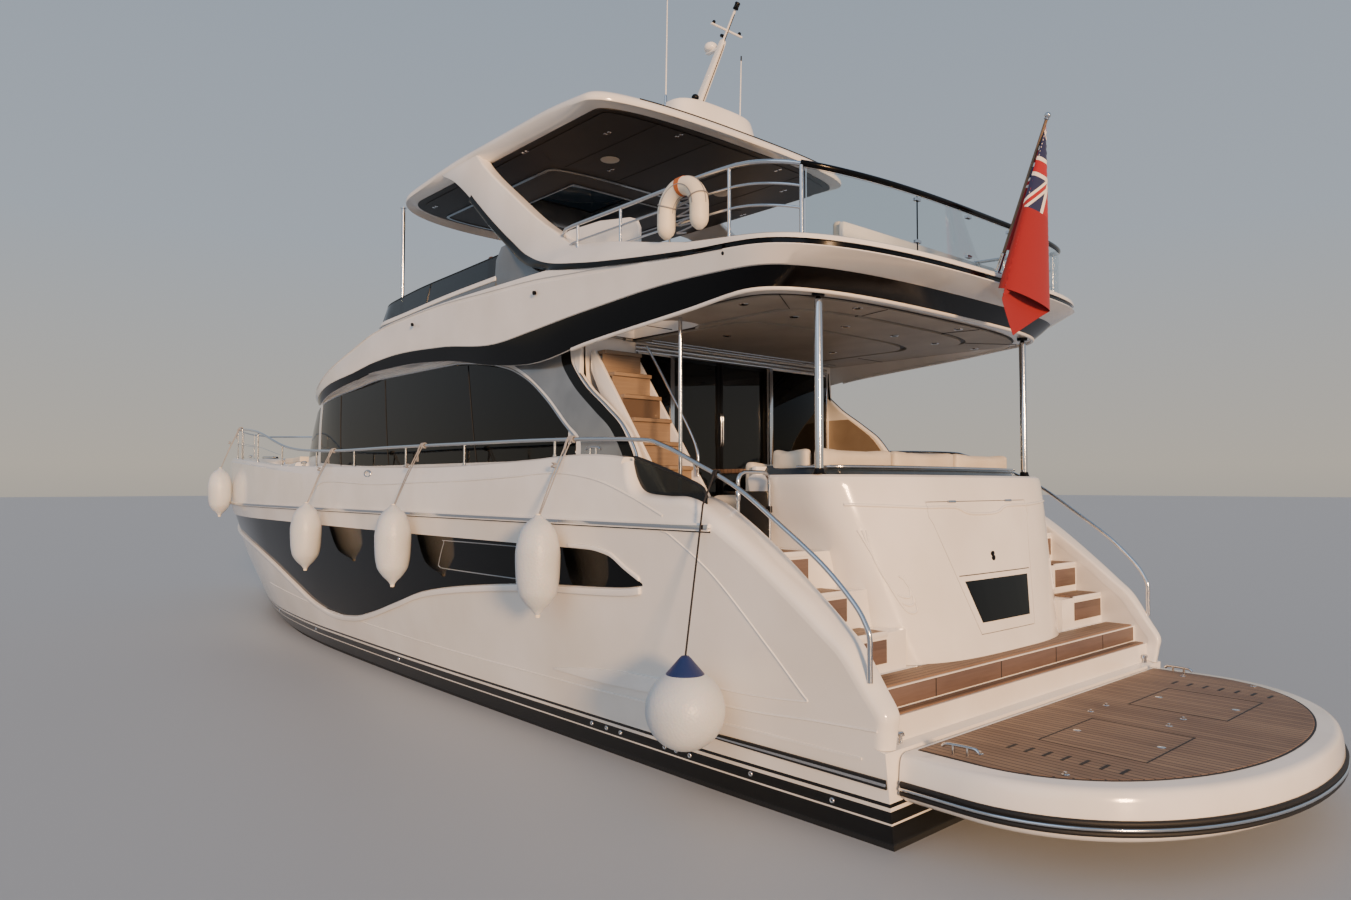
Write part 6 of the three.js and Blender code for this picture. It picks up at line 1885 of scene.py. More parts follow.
part("flight_risers", gather(*flight_risers), oak)
part("flight_grips", gather(*strips), rubber)
flight_top = COCKPIT_SOLE + RISE * STEPS
string = [(-6.48, 1.981), (-6.16, 1.981), (FLIGHT_FORE, flight_top - 0.2), (FLIGHT_FORE, flight_top),
          (-5.17, flight_top), (-6.48, COCKPIT_SOLE + RISE)]
part("flight_stringers", gather(prism(string, 1.42, 1.46), prism(string, 1.97, 2.01)), gelcoat, bevel=0.006)
part("flight_post", turned([(0.035, 0), (0.035, 0.01), (0.019, 0.02), (0.019, 1.905), (0.034, 1.915),
                            (0.034, 1.925)], (-6.46, 1.95, COCKPIT_SOLE + RISE), count=24), steel, sharp=45)
grab = flowing([(-6.2, 1.475, 2.62), (-6.16, 1.475, 2.95), (-5.75, 1.475, 3.55), (-5.4, 1.475, 4.02)], 8)
round_bar("flight_handrail", [grab], 0.014, steel)

# Steel poles from the coaming to the ceiling, in dark sockets
for name, side in SIDES:
    x, y = -7.985, side * 1.76
    pole_profile = [(0.037, 0), (0.037, 1.44), (0.03, 1.475), (0.016, 1.5), (0, 1.505)]
    pole = turned(pole_profile, (x, y, 2.621), count=32)
    part(f"overhang_pole_{name}", pole, steel, sharp=45, stands_for=[f"pole_{name}"])
    foot_profile = [(0, 0), (0.062, 0), (0.062, 0.006), (0.05, 0.014), (0.042, 0.05), (0.0375, 0.052),
                    (0.0375, 0)]
    foot = turned(foot_profile, (x, y, 2.6205), count=32, open_ends=True)
    head = turned([(0.05, 0.0), (0.054, 0.006), (0.054, 0.03)], (x, y, 4.12), count=32)
    part(f"overhang_pole_sockets_{name}", gather(foot, head), dark_metal, sharp=45)

# Gates at the head of each flight, hinged outboard
GATE_X, GATE_LATCH, GATE_HINGE, GATE_FOOT, GATE_BEND = -7.54, 1.89, 2.278, 2.03, 0.09
for name, side in SIDES:
    ring = [(GATE_LATCH, GATE_FOOT)]
    for centre, start, stop in ((1.98, pi, pi / 2), (2.188, pi / 2, 0)):
        ring += [(centre + GATE_BEND * cos(t), 2.55 + GATE_BEND * sin(t)) for t in spread(start, stop, 8)]
    frame_run = [(GATE_X, side * y, z) for y, z in [*ring, (GATE_HINGE, GATE_FOOT)]]
    round_bar(f"gate_frame_{name}", [frame_run], 0.0165, steel, f"gate_{name}", stands_for=[f"gate_{name}"])
    y0, y1 = sorted((side * 1.903, side * 2.265))
    part(f"gate_panel_{name}", box_form(-7.5445, -7.5355, y0, y1, 2.062, 2.478), dark_metal,
         f"gate_{name}", bevel=0.003)
    part(f"gate_knuckles_{name}", gather(*[turned([(0.0195, 0), (0.0215, 0.004), (0.0215, 0.076),
                                                   (0.0195, 0.08)], (GATE_X, side * GATE_HINGE, z),
                                                  count=20) for z in (2.1, 2.4)]), steel,
         f"gate_{name}", sharp=45)
    part(f"gate_latch_{name}", box_form(-7.556, -7.524, side * GATE_LATCH - 0.024,
                                        side * GATE_LATCH + 0.024, 2.29, 2.35), dark_metal,
         f"gate_{name}", bevel=0.005)


def hose(path, radii, count):
    """Tube of changing thickness along a path, with closed ends."""
    path = [Vector(p) for p in path]
    rows, side = [], None
    for i, spot in enumerate(path):
        along = along_at(path, i)
        if side is None:
            side = along.orthogonal().normalized()
        side = (side - along * side.dot(along)).normalized()
        rows.append(circle(spot, side, along.cross(side), radii[i], count))
    return loft(rows, round_rows=True, ends=True)


# Lifebuoy: a horseshoe in a sewn cover on the port rail, with its strap, seams and bracket
BUOY_X, BUOY_HALF, BUOY_THICK = -6.99, 0.215, 0.085
buoy_y = rim_half(BUOY_X) + 0.02 + BUOY_THICK - 0.006
arc_z = 5.25 - BUOY_THICK - BUOY_HALF
buoy_path = [(BUOY_X - BUOY_HALF, buoy_y, z) for z in spread(4.74, arc_z, 6)[:-1]]
buoy_path += [(BUOY_X - BUOY_HALF * cos(t), buoy_y, arc_z + BUOY_HALF * sin(t)) for t in spread(0, pi, 24)]
buoy_path += [(BUOY_X + BUOY_HALF, buoy_y, z) for z in spread(arc_z, 4.74, 6)[1:]]
buoy_radii = [0.03, 0.066, 0.08] + [0.083] * (len(buoy_path) - 6) + [0.08, 0.066, 0.03]
buoy = part("lifebuoy_cover", hose(buoy_path, buoy_radii, 32), buoy_vinyl, sharp=60, stands_for=["lifebuoy"])


def around_buoy(t, radius):
    centre = Vector((BUOY_X - BUOY_HALF * cos(t), buoy_y, arc_z + BUOY_HALF * sin(t)))
    outward = Vector((-cos(t), 0, sin(t)))
    return circle(centre, outward, Vector((0, 1, 0)), radius, 32)


# Orange reflective webbing and grey piping sewn to the cover
webbing = finish("orange_webbing", "#b5622c", 0.7, woven(0.004, "#a35526", "#c47036"))
strap_rows = [around_buoy(t, r) for t, r in ((1.44, 0.082), (1.44, 0.0865), (1.7, 0.0865), (1.7, 0.082))]
part("buoy_strap", loft(strap_rows + [strap_rows[0]], round_rows=True), webbing, sharp=50)
piping = [[around_buoy(t, 0.0845)[k] for t in spread(0.02, pi - 0.02, 40)] for k in (0, 8, 16)]
round_bar("buoy_piping", piping, 0.004, grey_rope, count=8)
webs = [[around_buoy(t, 0.0875)[k % 32] for k in range(33)] for t in (0.35, pi - 0.35)]
round_bar("buoy_bands", webs, 0.006, grey_rope, count=8)
lace = [(BUOY_X + 0.12 * sin(7 * t), buoy_y - 0.045 + 0.01 * sin(11 * t), 4.76 + 0.085 * t)
        for t in spread(0, 4, 48)]
round_bar("buoy_line_bag", [lace], 0.008, grey_rope, count=8)
part("buoy_bracket", boxes(*[(x - 0.012, x + 0.012, rim_half(x) - 0.024, buoy_y - 0.07, 4.86, 4.885)
                             for x in (-7.15, -6.83)]), steel, bevel=0.003)

# Seating round the flybridge, on moulded white bases that stand on the teak
SEAT_FOOT = 4.3575
part("fly_sofa_bases", boxes((-7.6, -5.5, -1.95, -1.3, SEAT_FOOT, 4.665),
                             (-7.6, -6.95, -1.3, 0.9, SEAT_FOOT, 4.665),
                             (-7.6, -5.5, -1.95, -1.885, 4.665, 5.02),
                             (-7.6, -7.54, -1.885, 0.9, 4.665, 5.02)), gelcoat, bevel=0.015,
     stands_for=["fly_sofa"])
row_of("fly_seat_side", (-6.88, -5.5, -1.7, -1.27, 4.667, 4.79), "x", 2, hide_cream)
row_of("fly_seat_aft", (-7.4, -6.92, -1.7, 0.9, 4.667, 4.79), "y", 3, hide_cream)
row_of("fly_back_side", (-7.4, -5.5, -1.88, -1.75, 4.76, 5.08), "x", 3, hide_cream, fill=0.6)
row_of("fly_back_aft", (-7.54, -7.42, -1.7, 0.9, 4.76, 5.08), "y", 3, hide_cream, fill=0.6)
part("fly_locker", boxes((-5.04, -3.92, 1.36, 1.98, SEAT_FOOT, 4.98),
                         (-5.02, -3.9, 1.9, 2.0, 4.98, 5.3)), gelcoat, bevel=0.03, steps=4)
row_of("fly_locker_seat", (-5.02, -3.94, 1.38, 1.86, 4.982, 5.08), "x", 2, hide_cream)

# Helm of the flybridge: console with its dash, wheel and levers, and a bolstered seat
console_side = [(-0.69, 4.98), (-0.665, 5.05), (-0.46, 5.172), (-0.42, 5.178), (-0.13, 5.122), (-0.1, 5.1),
                (-0.1, 4.358), (-0.645, 4.358), (-0.7, 4.96)]
part("helm_console", prism(console_side, 0.15, 1.35), gelcoat, bevel=0.018, steps=4,
     stands_for=["fly_console"])
dash = [(-0.662, 5.053), (-0.47, 5.168), (-0.474, 5.175), (-0.667, 5.06)]
part("helm_dash", prism(dash, 0.22, 1.28), black_paint_and_painted_reflection, bevel=0.003)
part("helm_screens", gather(*[prism([(-0.648, 5.068), (-0.492, 5.162), (-0.4955, 5.1675),
                                     (-0.6515, 5.0735)], y, y + 0.26) for y in (0.95, 0.28)]),
     black_glass, bevel=0.002)
wheel_at, wheel_aim = Vector((-0.8, 0.75, 4.92)), Vector((-0.82, 0, 0.57)).normalized()
wheel_side = Vector((0, 1, 0))
wheel_up = wheel_aim.cross(wheel_side)
round_bar("helm_wheel_rim", [circle(wheel_at, wheel_side, wheel_up, 0.17, 40)], 0.014, rubber, closed=True)
spokes = [[wheel_at - wheel_aim * 0.01, wheel_at + (wheel_side * cos(t) + wheel_up * sin(t)) * 0.165]
          for t in (0.52, 2.62, 4.71)]
round_bar("helm_wheel_spokes", spokes + [[wheel_at - wheel_aim * 0.16, wheel_at]], 0.012, steel)
levers = [[(-0.6, y, 5.09), (-0.66, y, 5.2)] for y in (1.18, 1.22)]
round_bar("helm_levers", levers, 0.008, steel)
part("helm_seat_base", box_form(-1.65, -1.15, 0.27, 1.23, SEAT_FOOT, 4.8), gelcoat, bevel=0.03, steps=4,
     stands_for=["helm_seat"])
row_of("helm_seat_pad", (-1.7, -1.12, 0.2, 1.3, 4.802, 4.935), "y", 2, hide_brown)
row_of("helm_seat_back", (-1.5, -1.36, 0.3, 1.2, 4.93, 5.84), "y", 2, hide_brown, fill=0.6,
       tilt=((-1.43, 0, 4.93), -0.11))

# Guard rail: one tube from quarter to quarter round the bow, with its posts, flanges and middle wires
def rail_half(x):
    return 2.45 + 0.0675 * (x + 9) if x < -7 else max(0.06, knuckle_half(x - 0.15) - 0.165)


guard_side = [Vector((-8.985, 2.45, z)) for z in (1.15, 1.25, 1.35, 1.45)]
guard_side += [Vector((x, rail_half(x), z)) for x, z in GUARD_LINE]
guard_run = flowing(guard_side + [Vector((11.6, 0, 3.77))] + to_starboard(guard_side)[::-1], 7)
round_bar("guard_rail", [guard_run], 0.02, steel, stands_for=["guardrail"])
guard_feet = [(x, rail_half(x) * s, sheer(2, x)) for x in GUARD_POSTS for s in (1, -1)]
guard_posts = [[(x, y, z - 0.03), (x, y, sample(GUARD_LINE, 1, x))] for x, y, z in guard_feet]
round_bar("guard_posts", guard_posts, 0.013, steel, count=12)
fittings("guard_flanges", turned([(0.036, -0.02), (0.036, 0.004), (0.02, 0.01), (0.02, 0.03)], (0, 0, 0),
                                 count=20), [((x, y, z - 0.001), (0, 0, 1)) for x, y, z in guard_feet], steel)
guard_wires = [[(x, rail_half(x) * s, sheer(2, x) + 0.5 * (sample(GUARD_LINE, 1, x) - sheer(2, x)))
                for x in spread(2.79, 10.3, 30)] for s in (1, -1)]
round_bar("guard_wires", guard_wires, 0.005, steel, count=8)

# Foredeck: sunpad on the coachroof, hatches, windlass, cleats and the anchor in its roller.
# The pad is crowned between its seams without a cloth run, as it is wide and thin.
pad_line = half_line(0, 6.26, 8.74, 1.07, 0.75, fore_nose=1.14, fine=2)
SUNPAD_FOOT = 3.012
sunpad = soft_block("sunpad_cover", slab_of(pad_line, SUNPAD_FOOT, 3.12), 0.03)
for vertex in sunpad.data.vertices:
    x, y, z = vertex.co
    if z > SUNPAD_FOOT + 0.06:
        channel = min(abs(sin(pi * (x - 6.25) / 0.42)), abs(sin(pi * y / 0.5)) + 0.2)
        vertex.co.z = z - 0.012 + 0.018 * min(1.0, 3.5 * channel) ** 0.5
sunpad = part("sunpad_cover", smoothed(sunpad), hide_cream, sharp=80, stands_for=["foredeck_sunpad"])
part("foredeck_backrest", turned([(0.3, 0), (0.32, 0.02), (0.32, 0.05), (0.28, 0.075), (0.1, 0.085)],
                                 (9.05, 0, 2.935), count=48), smoked_glass, sharp=45)
hatch_ring = [(0.3, 0), (0.36, 0), (0.36, 0.03), (0.33, 0.045), (0.31, 0.045), (0.3, 0.0)]
part("foredeck_hatch_ring", turned(hatch_ring, (9.05, 0, 2.92), count=48, open_ends=True), steel, sharp=45)
part("side_hatches", both_sides(box_form(7.3, 7.75, 1.02, 1.2, 2.86, 2.875)), smoked_glass, bevel=0.006)
part("windlass", gather(turned([(0.12, 0), (0.12, 0.03), (0.1, 0.05), (0.1, 0.08), (0.075, 0.1),
                                (0.06, 0.14), (0.08, 0.17), (0.09, 0.2), (0.07, 0.225), (0, 0.23)],
                               (10.35, 0.0, 2.958), count=36),
                        box_form(10.42, 10.62, -0.05, 0.05, 2.958, 3.02)), steel, bevel=0.004, sharp=45)
plate = closed_line(half_line(0, 9.95, 10.75, 0.22, aft_nose=0.2, fore_nose=0.2))
part("windlass_plate", prism([(x, y) for x, y, _ in plate], 2.955, 2.963, "z"), steel, bevel=0.002)
for n, (x, inboard) in enumerate(((-5.8, 0.065), (1.9, 0.065), (9.6, 0.07)), 1):
    for name, side in SIDES:
        cleat(f"deck_cleat_{n}_{name}", x, side * (rail_half(x) - inboard), sheer(2, x) + 0.001, 0.24,
              turn=-0.02 * side)
stem_top = SHEER_LINES[-1][2]
roller = [(11.05, stem_top + 0.0005), (11.84, stem_top + 0.0005), (11.875, stem_top + 0.03),
          (11.86, stem_top + 0.075), (11.8, stem_top + 0.085), (11.05, stem_top + 0.058)]
part("bow_roller", gather(prism(roller, -0.075, -0.063), prism(roller, 0.063, 0.075),
                          box_form(11.05, 11.84, -0.064, 0.064, stem_top + 0.0005, stem_top + 0.008)),
     steel, bevel=0.002)
shank = [(11.1, 3.262), (11.7, 3.262), (11.79, 3.16), (11.86, 2.96), (11.905, 2.94), (11.93, 2.985),
         (11.84, 3.2), (11.7, 3.222), (11.1, 3.222)]
part("anchor_shank", prism(shank, -0.015, 0.015), steel, bevel=0.004, stands_for=["anchor"])
fluke = [[(11.96, y, 3.05 + 0.1 * abs(y)), (11.9, y * 0.9, 2.93), (11.8, y * 0.5, 2.83),
          (11.755, 0, 2.785)] for y in spread(-0.2, 0.2, 12)]
fluke_under = [[(x - 0.02, y, z + 0.012) for x, y, z in row] for row in fluke]
part("anchor_flukes", loft([a + b[::-1] for a, b in zip(fluke, fluke_under)], round_rows=True,
                           ends=True), steel, sharp=40)
links = []
for k in range(9):
    x, z = 10.66 + 0.05 * k, 3.01 + 0.022 * k
    flat = k % 2 == 0
    links.append([Vector((x + 0.036 * cos(t), 0.017 * sin(t) * flat, z + 0.017 * sin(t) * (not flat)))
                  for t in around(16)])
round_bar("anchor_chain", links, 0.0065, steel, count=8, closed=True)

# Running gear: shafts in their brackets, propellers and rudders
SHAFT_Y, SHAFT_END = 1.15, Vector((-7.44, 0, -1.12))
SHAFT_RUN, SHAFT_DROP = 2.74, 0.48
RUDDER_X = -8.35
shaft_aim = Vector((-SHAFT_RUN, 0, -SHAFT_DROP)).normalized()
gear, struts, stocks = [], [], []
for side in (1, -1):
    foot = Vector((-4.7, side * SHAFT_Y, -0.64))
    end = Vector((SHAFT_END.x, side * SHAFT_Y, SHAFT_END.z))
    gear.append(turned([(0.045, 0), (0.045, 2.775)], foot, shaft_aim, 24))
    gear.append(turned([(0.06, 0), (0.08, 0.03), (0.08, 0.3), (0.07, 0.315)], end - shaft_aim * 0.33,
                       shaft_aim, 28))
    bracket = [(0.05, -1.12), (0.3, -1.08), (0.33, -0.45), (0.09, -0.45)]
    rows = [[(SHAFT_END.x + 0.5 * (a[0] + b[0]) + 0.5 * (b[0] - a[0]) * cos(t),
              side * SHAFT_Y + 0.017 * sin(t), 0.5 * (a[1] + b[1]) + 0.5 * (b[1] - a[1]) * cos(t))
             for t in around(20)] for a, b in ((bracket[0], bracket[1]), (bracket[3], bracket[2]))]
    struts.append(loft(rows, round_rows=True, ends=True))
    stocks.append(turned([(0.06, 0), (0.06, 0.45)], (RUDDER_X, side * SHAFT_Y, -0.6595), count=24))
part("shafts", gather(*gear), steel, sharp=45)
part("shaft_brackets", gather(*struts), bronze, sharp=45)
part("rudder_stocks", gather(*stocks), bronze, sharp=45)
PROPELLER_RADIUS = 0.43


def blade_point(r, w, face, side):
    """A spot of one blade: r is the radius, w runs across it, face is 1 or -1."""
    pitch = radians(62) * side + 0.35 * side * (0.26 - r) / PROPELLER_RADIUS
    thick = 0.011 * (1 - 0.6 * r / PROPELLER_RADIUS) * (1 - w * w) ** 0.5 + 0.0012
    reach = min(1.0, max(0.0, (r - 0.06) / 0.37))
    half = 0.168 * max(0.0, sin(acos(1 - 2 * min(0.999, 0.06 + 0.94 * reach)))) ** 0.8
    a, b = w * half, face * thick
    return (b * sin(pitch) + a * cos(pitch), -b * cos(pitch) + a * sin(pitch), r)


def spun(p, turn):
    x, y, z = p
    return x, y * cos(turn) - z * sin(turn), y * sin(turn) + z * cos(turn)


def in_place(p, side):
    x, y, z = p
    tilt = atan2(SHAFT_DROP, SHAFT_RUN)
    return (SHAFT_END.x + x * cos(tilt) - z * sin(tilt), side * SHAFT_Y + y,
            SHAFT_END.z + x * sin(tilt) + z * cos(tilt))


for name, side in SIDES:
    blades = []
    for n in range(4):
        rows = []
        for r in spread(0.055, 0.428, 14):
            ring = [blade_point(r, w, 1, side) for w in spread(-1, 1, 10)]
            ring += [blade_point(r, w, -1, side) for w in spread(1, -1, 10)[1:-1]]
            rows.append([in_place(spun((x - 0.12, y, z), n * pi / 2), side) for x, y, z in ring])
        blades.append(loft(rows, round_rows=True, ends=True))
    hub = turned([(0.074, 0.0005), (0.078, 0.02), (0.076, 0.13), (0.06, 0.19), (0.045, 0.225),
                  (0.02, 0.239), (0, 0.24)], in_place((0, 0, 0), side), shaft_aim, 36)
    part(f"propeller_hub_{name}", hub, bronze, f"propeller_{name}", sharp=45,
         stands_for=[f"propeller_{name}"])
    part(f"propeller_blades_{name}", gather(*blades), bronze, f"propeller_{name}", sharp=50)
    rudder_rows = []
    for z, fore, aft in ((-0.66, 0.17, -0.36), (-0.7, 0.168, -0.355), (-1.1, 0.15, -0.31),
                         (-1.5, 0.134, -0.275), (-1.56, 0.12, -0.26)):
        middle, half = 0.5 * (fore + aft), 0.5 * (fore - aft)
        ring = []
        for t in spread(0, 2 * pi, 36)[:-1]:
            c = cos(t)
            width = 0.027 * abs(sin(t)) ** 0.9 * (0.62 + 0.38 * c)
            ring.append((RUDDER_X + middle + half * c, side * SHAFT_Y + copysign(width, sin(t)), z))
        rudder_rows.append(ring)
    part(f"rudder_blade_{name}", loft(rudder_rows, round_rows=True, ends=True), bronze,
         f"rudder_{name}", sharp=50, stands_for=[f"rudder_{name}"])

# Fenders on the port side, each on a taut lanyard to the rail
HITCH = 0.029


def hitch_turns(spot, steps):
    """Turns of a lanyard round the guard rail, at steps along it."""
    x, y, z = spot
    return [[Vector((x + d, y + HITCH * cos(t), z + HITCH * sin(t))) for t in around(20)] for d in steps]


FENDER_SHAPE = ((0.0, 0.08), (0.02, 0.13), (0.05, 0.22), (0.13, 0.57), (0.24, 0.86), (0.4, 0.97),
                (0.6, 1.0), (0.8, 0.85), (0.89, 0.66), (0.95, 0.38), (0.98, 0.2), (1.0, 0.14))
FENDERS = ((1, 6.15, 1.93, 2.86), (2, 0.48, 1.31, 2.27), (3, -2.425, 1.32, 2.29), (4, -5.55, 1.29, 2.245))
for n, x, low, top in FENDERS:
    y = knuckle_half(x) + 0.221
    size = top - low
    profile = [(0, 0.0)] + [(0.213 * sample(FENDER_SHAPE, 1, h), size * h)
                            for h in spread(0, 1, 44)] + [(0, size)]
    # The body's cool grey is painted shade on white vinyl
    part(f"fender_{n}_body", turned(profile, (x, y, low), count=48), fender_vinyl_in_painted_shade, sharp=60,
         stands_for=[f"fender_{n}"])
    part(f"fender_{n}_eyes", gather(*[turned([(0.022, 0), (0.026, 0.02), (0.026, 0.045), (0.02, 0.062)],
                                             (x, y, z), count=24)
                                      for z in (low - 0.012, top - 0.05)]), buoy_vinyl, sharp=60)
    rail_y, rail_high = rail_half(x), sample(GUARD_LINE, 1, x)
    mid = Vector((x, 0.5 * (y + rail_y) + 0.02, 0.5 * (top + rail_high)))
    rail_end = Vector((x, rail_y + 0.026, rail_high + 0.004))
    line = [Vector((x, y, top - 0.03)), mid, rail_end]
    twin = [[p + Vector((d * k, 0, 0)) for p, k in zip(line, (0.3, 0.8, 1.0))] for d in (-0.03, 0.03)]
    knot = [mid + Vector((0.022 * sin(2 * t), 0.016 * cos(3 * t), 0.11 + 0.022 * cos(t)))
            for t in spread(0, 6.2, 40)]
    tails = [[rail_end + Vector(step) for step in ((d, 0.012, 0), (1.6 * d, 0.03, -0.09),
                                                   (2.2 * d, 0.025, -0.2))] for d in (0.02, 0.034)]
    round_bar(f"fender_{n}_lanyard", twin + [knot] + [flowing(tail, 5) for tail in tails], 0.0065,
              grey_rope, count=10)
    hitch = hitch_turns((x, rail_y, rail_high), (-0.034, -0.018, -0.002, 0.016, 0.032))
    round_bar(f"fender_{n}_hitch", hitch, 0.0085, grey_rope, count=8, closed=True)

ball_x = -7.56
ball_y, ball_low, ball_top = knuckle_half(ball_x) + 0.211, 0.465, 1.2
ball_profile = [(0.315 * cos(t), 0.315 + 0.315 * sin(t)) for t in spread(-pi / 2, 1.09, 24)]
part("fender_ball_body", turned(ball_profile + [(0.13, 0.6), (0, 0.6)], (ball_x, ball_y, ball_low),
                                count=56), fender_vinyl_in_painted_shade, sharp=60, stands_for=["fender_ball"])
part("fender_ball_cone", turned([(0, 0.575), (0.154, 0.588), (0.15, 0.596), (0.115, 0.635), (0.08, 0.675),
                                 (0.05, 0.71), (0.03, 0.73), (0, 0.735)], (ball_x, ball_y, ball_low),
                                count=48), blue_vinyl, sharp=50)
ball_edge = Vector((ball_x, knuckle_half(ball_x) + 0.018, 2.37))
ball_rail = Vector((ball_x, rail_half(ball_x) + 0.026, sample(GUARD_LINE, 1, ball_x) + 0.004))
round_bar("fender_ball_lanyard", [[Vector((ball_x, ball_y, ball_top - 0.03)), ball_edge, ball_rail]],
          0.008, black_rope, count=10)
round_bar("fender_ball_hitch", hitch_turns(ball_rail - Vector((0, 0.026, 0.004)),
                                           (-0.016, 0.0, 0.016)), 0.0075, black_rope, count=8, closed=True)

# Handrail over the stern glass in gloss black: a painted reflection of the dark surroundings in its polished
# steel
over_glass = [p + Vector((0, 0, 0.006)) for p in rim() if p.x < RIM_CORNER[0] + 0.02]
round_bar("stern_handrail", [to_starboard(over_glass)[::-1] + over_glass[1:]], 0.026, black_paint_and_painted_reflection, count=20)

# Smoked glass that closes the dip of each bulwark, under a black trim line
DIP_TOP = ((-7.46, 2.425), (-7.42, 2.5), (-7.25, 2.572), (-7.09, 2.625), (-6.85, 2.7), (-6.66, 2.755),
           (-6.56, 2.78))
dip_edge = [(x, sample(DIP_TOP, 1, x)) for x in spread(-7.46, -6.545, 24)]
dip_glass = []
for x, z in dip_edge:
    y = knuckle_half(x) - 0.125
    dip_glass.append([(x, y, 2.36), (x, y, z), (x, y - 0.012, z), (x, y - 0.012, 2.36)])
part("bulwark_glass", both_sides(loft(dip_glass, round_rows=True, ends=True)), smoked_glass, sharp=40)
dip_run = [(x, knuckle_half(x) - 0.131, z) for x, z in dip_edge]
round_bar("bulwark_glass_trim", both_runs(dip_run), 0.014, rubber, count=10)

# Rub strip round the aft quarter, level with the platform's, and the lines moulded into the side
strip("quarter_rub_strip", ((-9.09, 0.436, 0.5), (-7.9, 0.452, 0.506), (-7.0, 0.47, 0.496)), rubber,
      out=0.016)
strip("quarter_rub_steel", ((-9.09, 0.458, 0.48), (-7.9, 0.47, 0.487), (-7.0, 0.479, 0.487)), steel,
      out=0.021)
crease_rows = ((-8.9, 0.6, 0.618), (-6.8, 0.6, 0.616), (-5.6, 0.588, 0.6), (-3.3, 0.575, 0.587),
               (0.15, 0.62, 0.632), (4.1, 0.78, 0.79))
strip("spray_crease", crease_rows, gelcoat, out=0.008)
scoops = ((-6.95, 0.73, 0.86), (-6.4, 0.7, 0.845), (-5.9, 0.69, 0.8), (-5.45, 0.695, 0.745),
          (-5.25, 0.7, 0.71))
strip("side_scoop_upper", scoops, gelcoat, out=0.018)


def side_bead(name, points, radius, out=0.0, per=8, count=10, material=gelcoat):
    """A thin line moulded or laid on both sides of the hull."""
    run = [on_port(x, z, out) for x, z in smooth_flat(points, per)]
    round_bar(name, both_runs(run), radius, material, count=count)


side_bead("quarter_panel_crease", [(-7.05, 2.14), (-7.17, 2.1), (-7.62, 1.8), (-8.13, 1.3), (-8.42, 0.99),
                                   (-8.46, 0.95), (-8.4, 0.93), (-7.94, 0.895), (-7.5, 0.888)], 0.008)
side_bead("quarter_step_line", [(-9.05, 0.83), (-8.5, 0.805), (-7.94, 0.765), (-7.3, 0.755)], 0.01)
side_bead("shoulder_crease", [(-7.05, 2.27), (-6.6, 2.44), (-6.16, 2.57), (-5.65, 2.64), (-5.19, 2.645),
                              (-4.8, 2.62), (-3.7, 2.58), (-2.63, 2.564), (-1.28, 2.54), (0.3, 2.58),
                              (0.75, 2.48), (1.05, 2.26)], 0.011, -0.001, count=12)

# Through-hull outlets along the black band, and the fairleads of the bulwark
outlet = turned([(0.0, -0.01), (0.014, -0.01), (0.014, 0.0), (0.008, 0.003), (0.01, 0.006),
                 (0.018, 0.007), (0.024, 0.0), (0.024, -0.01)], count=20, open_ends=True)
outlet_spots = []
for x, z in ((-8.6, 0.235), (-7.81, 0.245), (-7.11, 0.235), (-6.94, 0.24), (-6.79, 0.24), (-6.17, 0.238),
             (-5.96, 0.24), (-5.73, 0.24), (-1.44, 0.235), (1.8, 0.24), (4.4, 0.24)):
    spot = on_port(x, z, 0.002)
    outlet_spots += [((spot.x, spot.y * side, spot.z), (0, side, -0.1)) for side in (1, -1)]
fittings("hull_outlets", outlet, outlet_spots, steel, sharp=50)
for n, (x, z) in enumerate(((-1.05, 2.68), (9.9, 3.08)), 1):
    spot = on_port(x, z, 0.006)
    for name, side in SIDES:
        lead = [(spot.x + 0.1 * cos(t), spot.y * side, spot.z + 0.042 * sin(t)) for t in around(24)]
        round_bar(f"fairlead_{n}_{name}", [lead], 0.011, steel, count=10, closed=True)
light_places = ((-7.5, 2.405, 4.47), (-4.6, 2.4, 4.6), (-1.6, 2.37, 4.66))
fly_lights = [((x, y * s, z), (0, s * 0.95, -0.2)) for x, y, z in light_places for s in (1, -1)]
fittings("fly_band_lights", turned([(0.022, -0.02), (0.024, 0.004), (0.016, 0.008)], count=20),
         fly_lights, dark_metal)

# Opening pane in the long hull window, in a slim frame
pane_line = [(-4.9, 1.895), (-3.3, 1.885), (-3.19, 1.86), (-3.02, 1.62), (-3.03, 1.57), (-3.25, 1.555),
             (-4.9, 1.555)]
side_bead("hull_window_frame", pane_line, 0.007, -0.017, 5, material=silver_paint)

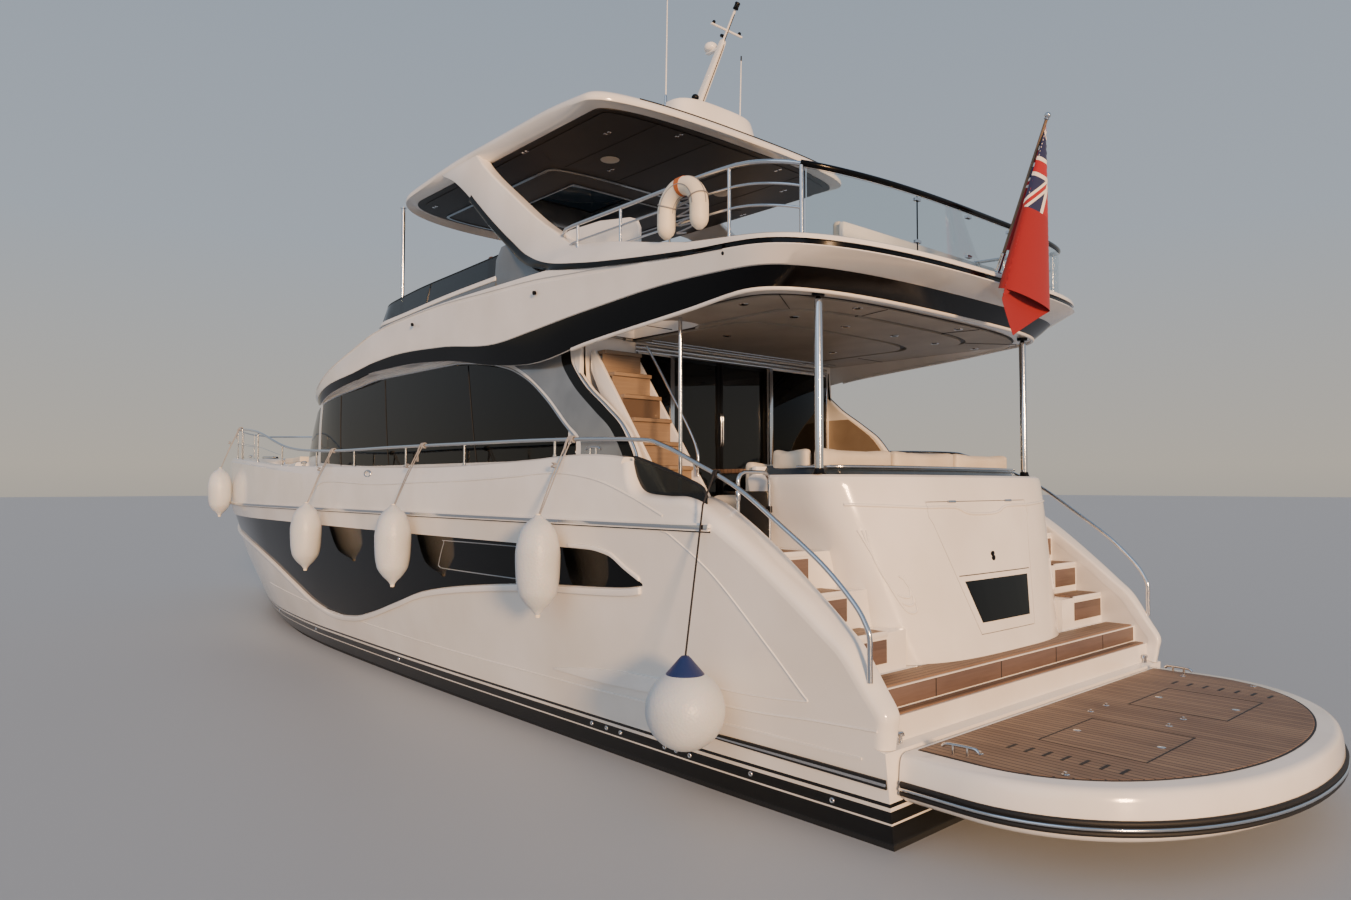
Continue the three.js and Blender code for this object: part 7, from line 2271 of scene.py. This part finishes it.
# Screen beside the stairwell on the flybridge, and the bolsters behind the cockpit coaming
stairwell_side = [(-5.95, 4.36), (-5.95, 5.1), (-5.9, 5.19), (-5.8, 5.23), (-5.3, 5.305), (-4.75, 5.32),
                  (-4.5, 5.27), (-4.45, 5.2), (-4.45, 4.36)]
part("stairwell_screen", prism(stairwell_side, 2.005, 2.045), gelcoat, bevel=0.012, steps=3)
row_of("coaming_bolster", (-7.9, -7.76, -1.62, 1.62, 2.64, 2.875), "y", 3, hide_cream)
row_of("coaming_return", (-7.74, -7.28, 1.5, 1.62, 2.64, 2.875), "x", 1, hide_cream)

# Every solid of the frame that is still shown: the stairs' moulding, and the steel lift gear and trim tabs
for name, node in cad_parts.items():
    if not node.hide_render:
        node.data.materials.clear()
        node.data.materials.append(steel if name.startswith(("lift_", "trim_tab")) else gelcoat)

# Stage: a plain pale floor at the waterline, a low warm key from aft, and a cool soft sky
floor = new_object("floor", make_mesh("floor", box_form(-220, 220, -220, 220, -0.02, 0.0)))
floor.data.materials.append(finish("pale_floor", "#b9bcbd", 0.5))
floor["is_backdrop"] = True
world = bpy.data.worlds.new("studio")
scene.world = world
world.use_nodes = True
sky = world.node_tree
coordinates = add(sky, "ShaderNodeTexCoord", {}).outputs["Generated"]
height = add(sky, "ShaderNodeSeparateXYZ", {"Vector": coordinates}).outputs["Z"]
level = add(sky, "ShaderNodeMapRange", {"Value": height, "From Min": -0.1, "From Max": 0.9}).outputs["Result"]
shade = ramp(sky, level, [(0.0, "#b4aea6"), (0.12, "#dcd3c4"), (0.35, "#c3cdd8"), (1.0, "#9db2cb")])
sky.links.new(shade, sky.nodes["Background"].inputs["Color"])
sky.nodes["Background"].inputs["Strength"].default_value = 0.74


def lamp(name, place, power, spread_angle, colour):
    """A broad, far lamp that shines from a place towards the middle of the boat."""
    data = bpy.data.lights.new(name, "SUN")
    data.energy = power
    data.angle = spread_angle
    data.color = linear(colour)[:3]
    light = new_object(name, data)
    light.location = place
    light.rotation_euler = (Vector((0, 0, 2.5)) - Vector(place)).to_track_quat("-Z", "Y").to_euler()


lamp("evening_key", (-40, 15, 9.5), 4.8, 0.14, "#ffc992")
lamp("cool_fill", (-10, 34, 22), 0.55, 0.9, "#c4d6f0")
low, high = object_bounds()
